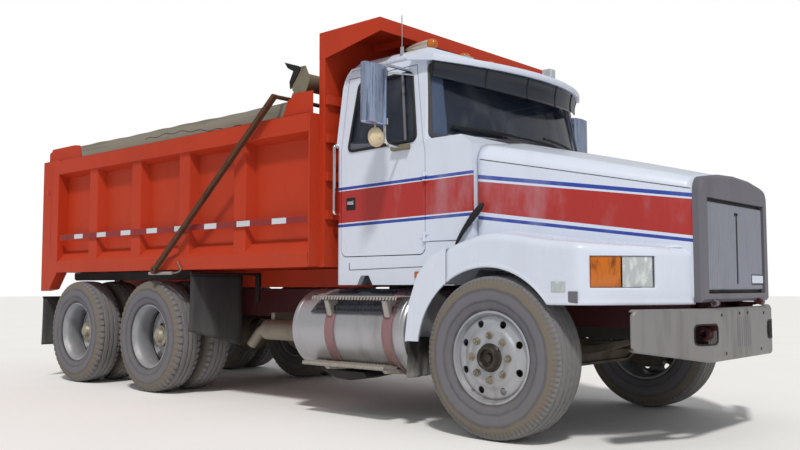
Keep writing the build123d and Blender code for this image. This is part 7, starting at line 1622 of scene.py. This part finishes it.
@dataclass(frozen=True)
class Fittings:
    """Sideboards, the tarp's deflector and spring, the hood's latches, and the bumper's shell and bolts."""

    hole_y: float = 0.535
    hole_z: float = 0.685
    bumper_front: float = 1.166
    bumper_flat: float = 0.510
    bumper_end: float = 0.950
    bumper_half: float = 1.110
    spring_y: float = -1.222
    spring_z: float = 1.101

    def boards(self, shop: Workshop) -> None:
        """Two planks end to end on each side: a wavy top edge and one long crack."""
        boards = Skin()
        for front, back, phase in ((-2.000, -3.716, 0.0), (-3.720, -5.470, 1.7)):
            x = np.linspace(AXLE_X + back, AXLE_X + front, 50)
            top = 2.461 + 0.003 * np.sin(5 * x + phase) + 0.002 * np.sin(17 * x)
            outline = np.vstack([np.stack([x, top], 1), [(x[-1], 2.331), (x[0], 2.331)]])
            boards.prism(outline, 1, -1.150, -1.112)
        shop.piece("planks", boards.joined(boards.mirrored()), "bed", BOARD, bevel=0.003, sharp=30.0,
                   replaces=("sideboards",))
        x = np.linspace(AXLE_X - 4.10, AXLE_X - 2.60, 40)
        z = 2.402 + 0.016 * np.sin(4.2 * x) + 0.009 * np.sin(23 * x) - 0.045 * (x - x[0]) / (x[-1] - x[0])
        crack = Skin().tube(np.stack([x, np.full(40, -1.1505), z], 1), 0.0022, 6)
        shop.pair("plank_crack", crack, "bed", GASKET)
        plate = [(AXLE_X - 5.47, 2.33), (AXLE_X - 5.30, 2.33), (AXLE_X - 5.34, 2.47), (AXLE_X - 5.47, 2.487)]
        shop.pair("plank_stop", Skin().prism(plate, 1, -1.158, -1.150), "bed", BED_RED, bevel=0.002)

    def tarp(self, shop: Workshop) -> None:
        """The tarp's rubber deflector, the red gusset under its end plate, the floor's apron, and the
        spring and chain at the arm's foot.
        """
        flap = np.array([(-2.045, 2.790), (-1.880, 2.735), (-1.850, 2.715), (-1.880, 2.670), (-1.935, 2.610),
                         (-1.975, 2.560), (-1.983, 2.620), (-1.938, 2.700), (-2.005, 2.735)]) + (AXLE_X, 0)
        shop.pair("tarp_deflector", Skin().prism(flap, 1, -1.166, -1.150), "bed", GASKET, bevel=0.003)
        gusset = np.array([(-2.060, 2.331), (-1.996, 2.474), (-1.950, 2.480), (-1.928, 2.518),
                           (-1.702, 2.510), (-1.702, 2.331)]) + (AXLE_X, 0)
        shop.pair("rail_gusset", Skin().prism(gusset, 1, -1.168, -1.158), "bed", BED_RED, bevel=0.003)
        apron = np.array([(-5.800, 1.060), (-5.760, 1.044), (-3.640, 1.044), (-3.600, 1.060), (-3.600, 1.128),
                          (-5.800, 1.128)]) + (AXLE_X, 0)
        shop.pair("floor_apron", Skin().prism(apron, 1, -0.940, -0.930), "bed", GASKET, bevel=0.002)
        y, z = self.spring_y, self.spring_z
        spring = Skin().cylinder((AXLE_X - 3.870, y, z), (AXLE_X - 3.500, y, z), 0.014, 20)
        coil = np.linspace(0, 22 * math.pi, 264)[:, None]
        spring.tube(np.concatenate([AXLE_X - 3.862 + 0.350 * coil / (22 * math.pi), y + 0.0145 * np.cos(coil),
                                    z + 0.0145 * np.sin(coil)], axis=1), 0.0020, 6)
        shop.pair("arm_spring", spring, "bed", TREAD)
        chain = smooth_curve([(-3.500, y, z), (-3.420, y - 0.004, z + 0.004), (-3.366, y, 1.128),
                              (-3.396, y + 0.004, 1.165), (-3.425, y + 0.006, 1.205)], 60) + (AXLE_X, 0, 0)
        beads = 0.0055 + 0.0030 * np.abs(np.sin(np.linspace(0, 9 * math.pi, 60)))
        shop.pair("arm_chain", Skin().tube(chain, beads, 10), "bed", BEIGE)

    def latches(self, shop: Workshop) -> None:
        """Rubber hood latches: a strap that tapers from its foot on the cowl to a grip on the bonnet."""
        path = smooth_curve(np.array([(-0.362, -1.074, 1.262), (-0.300, -1.080, 1.342),
                                      (-0.235, -1.072, 1.424), (-0.148, -1.044, 1.534)]), 24) + (AXLE_X, 0, 0)
        radius = np.interp(np.linspace(0, 1, 24), [0, 0.12, 0.5, 0.8, 0.94, 1],
                           [0.007, 0.012, 0.017, 0.024, 0.020, 0.008])
        shop.pair("hood_latch", Skin().tube(path, radius, 12), "hood", GASKET)

    def bumper(self, shop: Workshop) -> None:
        """The bumper as one sheet with rounded ends and rolled edges, its tow holes, bolts and plate marks.

        Along the plan line the lower edge rises from the flat front to each end. Each cell whose middle
        lies in a tow hole is left out, and a bead runs round the hole.
        """
        front, flat, end, half = self.bumper_front, self.bumper_flat, self.bumper_end, self.bumper_half
        corners = np.array([(0.930, -half + 0.006), (end, -half), (front, -flat), (front, flat), (end, half),
                            (0.930, half - 0.006)])
        line = np.vstack([np.linspace(a, b, n, endpoint=False) for a, b, n in
                          zip(corners[:-1], corners[1:], (5, 84, 136, 84, 5))] + [corners[-1:]])
        for _ in range(14):
            line[1:-1] = (line[:-2] + 2 * line[1:-1] + line[2:]) / 4
        run = np.gradient(line, axis=0)
        out = np.stack([run[:, 1], -run[:, 0]], 1) / np.linalg.norm(run, axis=1)[:, None]
        rise = np.clip((np.abs(line[:, 1]) - flat) / (half - flat), 0, 1)
        ease = np.clip((np.abs(line[:, 1]) - half + 0.050) / 0.050, 0, 1) ** 2
        low, high = 0.514 + 0.086 * rise + 0.022 * ease, 0.843 - 0.026 * ease
        rows, profile = [], [(-0.060, 0.000), (-0.022, 0.000), (-0.010, 0.002), (-0.003, 0.009), (0.0, 0.020)]
        for inward, up in profile:
            rows.append((line + out * inward, low + up))
        for share in np.linspace(0, 1, 48)[1:-1]:
            rows.append((line, (low + 0.020) * (1 - share) + (high - 0.020) * share))
        for inward, up in profile[::-1]:
            rows.append((line + out * inward, high - up))
        grid = np.stack([np.stack([AXLE_X + at[:, 0], at[:, 1], z], 1) for at, z in rows])
        middle = (grid[:-1, :-1] + grid[1:, 1:]) / 2
        across, up = np.abs(np.abs(middle[..., 1]) - self.hole_y), np.abs(middle[..., 2] - self.hole_z)
        corner = np.hypot(np.clip(across - 0.091, 0, 1), np.clip(up - 0.038, 0, 1))
        hole = (corner < 0.024) & (middle[..., 0] > AXLE_X + 1.05)
        shop.piece("bumper_shell", Skin().grid(grid, keep=~hole), "chassis", BUMPER, wall=0.006, sharp=40.0,
                   replaces=("front_bumper",))
        turn = np.linspace(0, 2 * math.pi, 65)[:-1]
        y = -self.hole_y + np.sign(np.cos(turn)) * 0.115 * np.abs(np.cos(turn)) ** 0.4
        z = self.hole_z + np.sign(np.sin(turn)) * 0.062 * np.abs(np.sin(turn)) ** 0.4
        order = np.argsort(line[:, 1])
        x = AXLE_X + np.interp(y, line[order, 1], line[order, 0]) - 0.003
        ring = np.stack([x, y, z], 1)
        bead = Skin().tube(np.vstack([ring, ring[:2]]), 0.006, 8, capped=False)
        shop.pair("tow_hole_bead", bead, "chassis", GASKET)
        pocket = Skin().slab((AXLE_X + 1.060, -0.668, 0.605), (AXLE_X + 1.066, -0.330, 0.765))
        shop.pair("tow_hole_back", pocket, "chassis", GASKET, bevel=0.002)
        bolts, marks, face = Skin(), Skin(), AXLE_X + front
        for y, z in ((-0.36, 0.800), (0.36, 0.800), (-0.30, 0.560), (0.30, 0.560), (-0.07, 0.806),
                     (0.07, 0.806)):
            bolts.cylinder((face - 0.002, y, z), (face + 0.0035, y, z), 0.010, 16)
        shop.piece("bumper_bolts", bolts, "chassis", WHEEL_GREASY)
        for y in np.linspace(-0.105, 0.105, 7):
            marks.slab((face - 0.002, y - 0.004, 0.590), (face + 0.0012, y + 0.004, 0.780))
        shop.piece("bumper_plate_marks", marks, "chassis", SURROUND, bevel=0.001)

    def build(self, shop: Workshop) -> None:
        """Makes all of them."""
        self.boards(shop)
        self.tarp(shop)
        self.latches(shop)
        self.bumper(shop)


CARRIED_FINISHES = {
    "frame": FRAME_RED, "front_bumper": BUMPER, "front_axle": AXLE_BLACK, "suspension": AXLE_BLACK,
    "drive_axles": AXLE_BLACK, "drive_shafts": AXLE_BLACK, "engine_block": ENGINE_GREY, "radiator": CORE,
    "fuel_tanks": TANK, "tank_mounts": FRAME_RED, "muffler": PIPE, "flap_hangers": DARK_STEEL,
    "mud_flaps": RUBBER, "cab_shell": CAB_WHITE, "cab_interior": INTERIOR, "cab_glass": WINDSHIELD,
    "sun_visor": PLAIN_WHITE,
    "roof_lights": AMBER, "grab_handles": CHROME, "hood_shell": HOOD_WHITE, "headlamps": AMBER,
    "grille_surround": SURROUND, "grille_bars": GRILLE, "tie_rod": DARK_STEEL, "bed_floor": BED_RED,
    "bed_sills": BED_RED, "bed_posts": BED_RED, "bed_front": BED_RED, "bed_side_left": BED_RED,
    "bed_side_right": BED_RED, "cab_shield": BED_RED, "sideboards": BOARD, "tarp_housing": BEIGE,
    "tailgate": BED_RED, "tarp_bow": RUST,
    "hoist_barrel": DARK_STEEL, "hoist_stage_1": POLISHED_ROD, "hoist_stage_2": POLISHED_ROD,
    "hoist_rod": POLISHED_ROD,
}
SIDE_FINISHES = {
    "door": CAB_WHITE, "door_glass": WINDSHIELD, "mirror": CHROME, "knuckle": DARK_STEEL,
    "front_wheel": WHEEL, "front_tyre": RUBBER, "mid_wheels": WHEEL, "mid_tyres": RUBBER,
    "rear_wheels": WHEEL, "rear_tyres": RUBBER,
}


@dataclass(frozen=True)
class Studio:
    """Camera, lamps, world and floor."""

    eye: Point = (AXLE_X + 3.3357, -5.7656, 0.981)
    yaw: float = 0.7309
    pitch: float = 0.0694
    roll: float = -0.001
    focal_px: float = 879.34
    frame_px: float = 800.0
    sensor_mm: float = 36.0
    world_light: float = 0.41
    key_light: float = 2.0
    key_tilt: float = 37.0
    key_turn: float = 43.0
    key_spread: float = 6.0
    fill_light: float = 15.0
    fill_size: float = 6.0
    fill_place: Point = (AXLE_X + 8.0, 1.0, 4.0)
    fill_tilt: float = 68.0
    fill_turn: float = 96.0
    floor_size: float = 160.0

    def camera(self) -> None:
        """Stands the camera at the photograph's place, with no shift and no depth of field."""
        data = bpy.data.cameras.new("camera")
        data.sensor_width = self.sensor_mm
        data.lens = self.focal_px / self.frame_px * self.sensor_mm
        data.clip_end = 200.0
        camera = bpy.data.objects.new("camera", data)
        camera.location = self.eye
        camera.rotation_euler = (math.pi / 2 + self.pitch, -self.roll, self.yaw)
        bpy.context.collection.objects.link(camera)
        bpy.context.scene.camera = camera

    def lamps(self) -> None:
        """A high sun from ahead on the right, and a broad soft fill from ahead."""
        sun = bpy.data.lights.new("key", "SUN")
        sun.energy, sun.angle, sun.color = self.key_light, math.radians(self.key_spread), (1.0, 0.97, 0.92)
        holder = bpy.data.objects.new("key", sun)
        holder.rotation_euler = (math.radians(self.key_tilt), 0.0, math.radians(self.key_turn))
        bpy.context.collection.objects.link(holder)
        fill = bpy.data.lights.new("fill", "AREA")
        fill.energy, fill.size, fill.color = self.fill_light, self.fill_size, (0.9, 0.95, 1.0)
        holder = bpy.data.objects.new("fill", fill)
        holder.location = self.fill_place
        holder.rotation_euler = (math.radians(self.fill_tilt), 0.0, math.radians(self.fill_turn))
        bpy.context.collection.objects.link(holder)

    def surroundings(self) -> None:
        """A sky that the camera sees as white, and a pale floor that keeps the shadow."""
        world = bpy.data.worlds.new("world")
        bpy.context.scene.world = world
        world.use_nodes = True
        nodes, links = world.node_tree.nodes, world.node_tree.links
        back = nodes["Background"]
        back.inputs["Color"].default_value = (1.0, 1.0, 1.0, 1.0)
        path = nodes.new("ShaderNodeLightPath")
        seen = nodes.new("ShaderNodeMath")
        seen.operation = "MAXIMUM"
        links.new(path.outputs["Is Camera Ray"], seen.inputs[0])
        links.new(path.outputs["Is Transmission Ray"], seen.inputs[1])
        strength = nodes.new("ShaderNodeMapRange")
        links.new(seen.outputs[0], strength.inputs["Value"])
        strength.inputs["To Min"].default_value = self.world_light
        strength.inputs["To Max"].default_value = 1.0
        links.new(strength.outputs["Result"], back.inputs["Strength"])
        bpy.ops.mesh.primitive_plane_add(size=self.floor_size)
        floor = bpy.context.object
        floor.name = "floor"
        graph = Graph("pale_floor")
        graph.shader.inputs["Roughness"].default_value = 0.9
        mottle = graph.noise(graph.place, 0.8)
        graph.put(graph.shader.inputs["Base Color"],
                  graph.blend(graph.span(mottle, 0.3, 0.7, 0.0, 0.4), tone(252, 252, 252),
                              tone(246, 246, 246)))
        floor.data.materials.append(graph.material)


def main() -> None:
    """Builds the studio, dresses the carried-over nodes and makes each sub-assembly's pieces."""
    logging.basicConfig(level=logging.INFO, format="%(message)s")
    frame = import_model()
    bpy.context.scene.view_settings.view_transform = "Standard"
    studio = Studio()
    studio.camera()
    studio.lamps()
    studio.surroundings()
    shop = Paintshop()
    for name, node in frame["nodes"].items():
        base = name.rsplit("_", 1)[0]
        shop.dress(node, CARRIED_FINISHES.get(name) or SIDE_FINISHES[base])
    work = Workshop(shop)
    for part in (Wheels(), DumpBed(), Hood(), Grille(), Cab(), Interior(), Underbody(),
                 Fittings()):
        part.build(work)
        LOG.info("%s made, %d pieces so far", type(part).__name__, work.made)


if __name__ == "__main__":
    main()
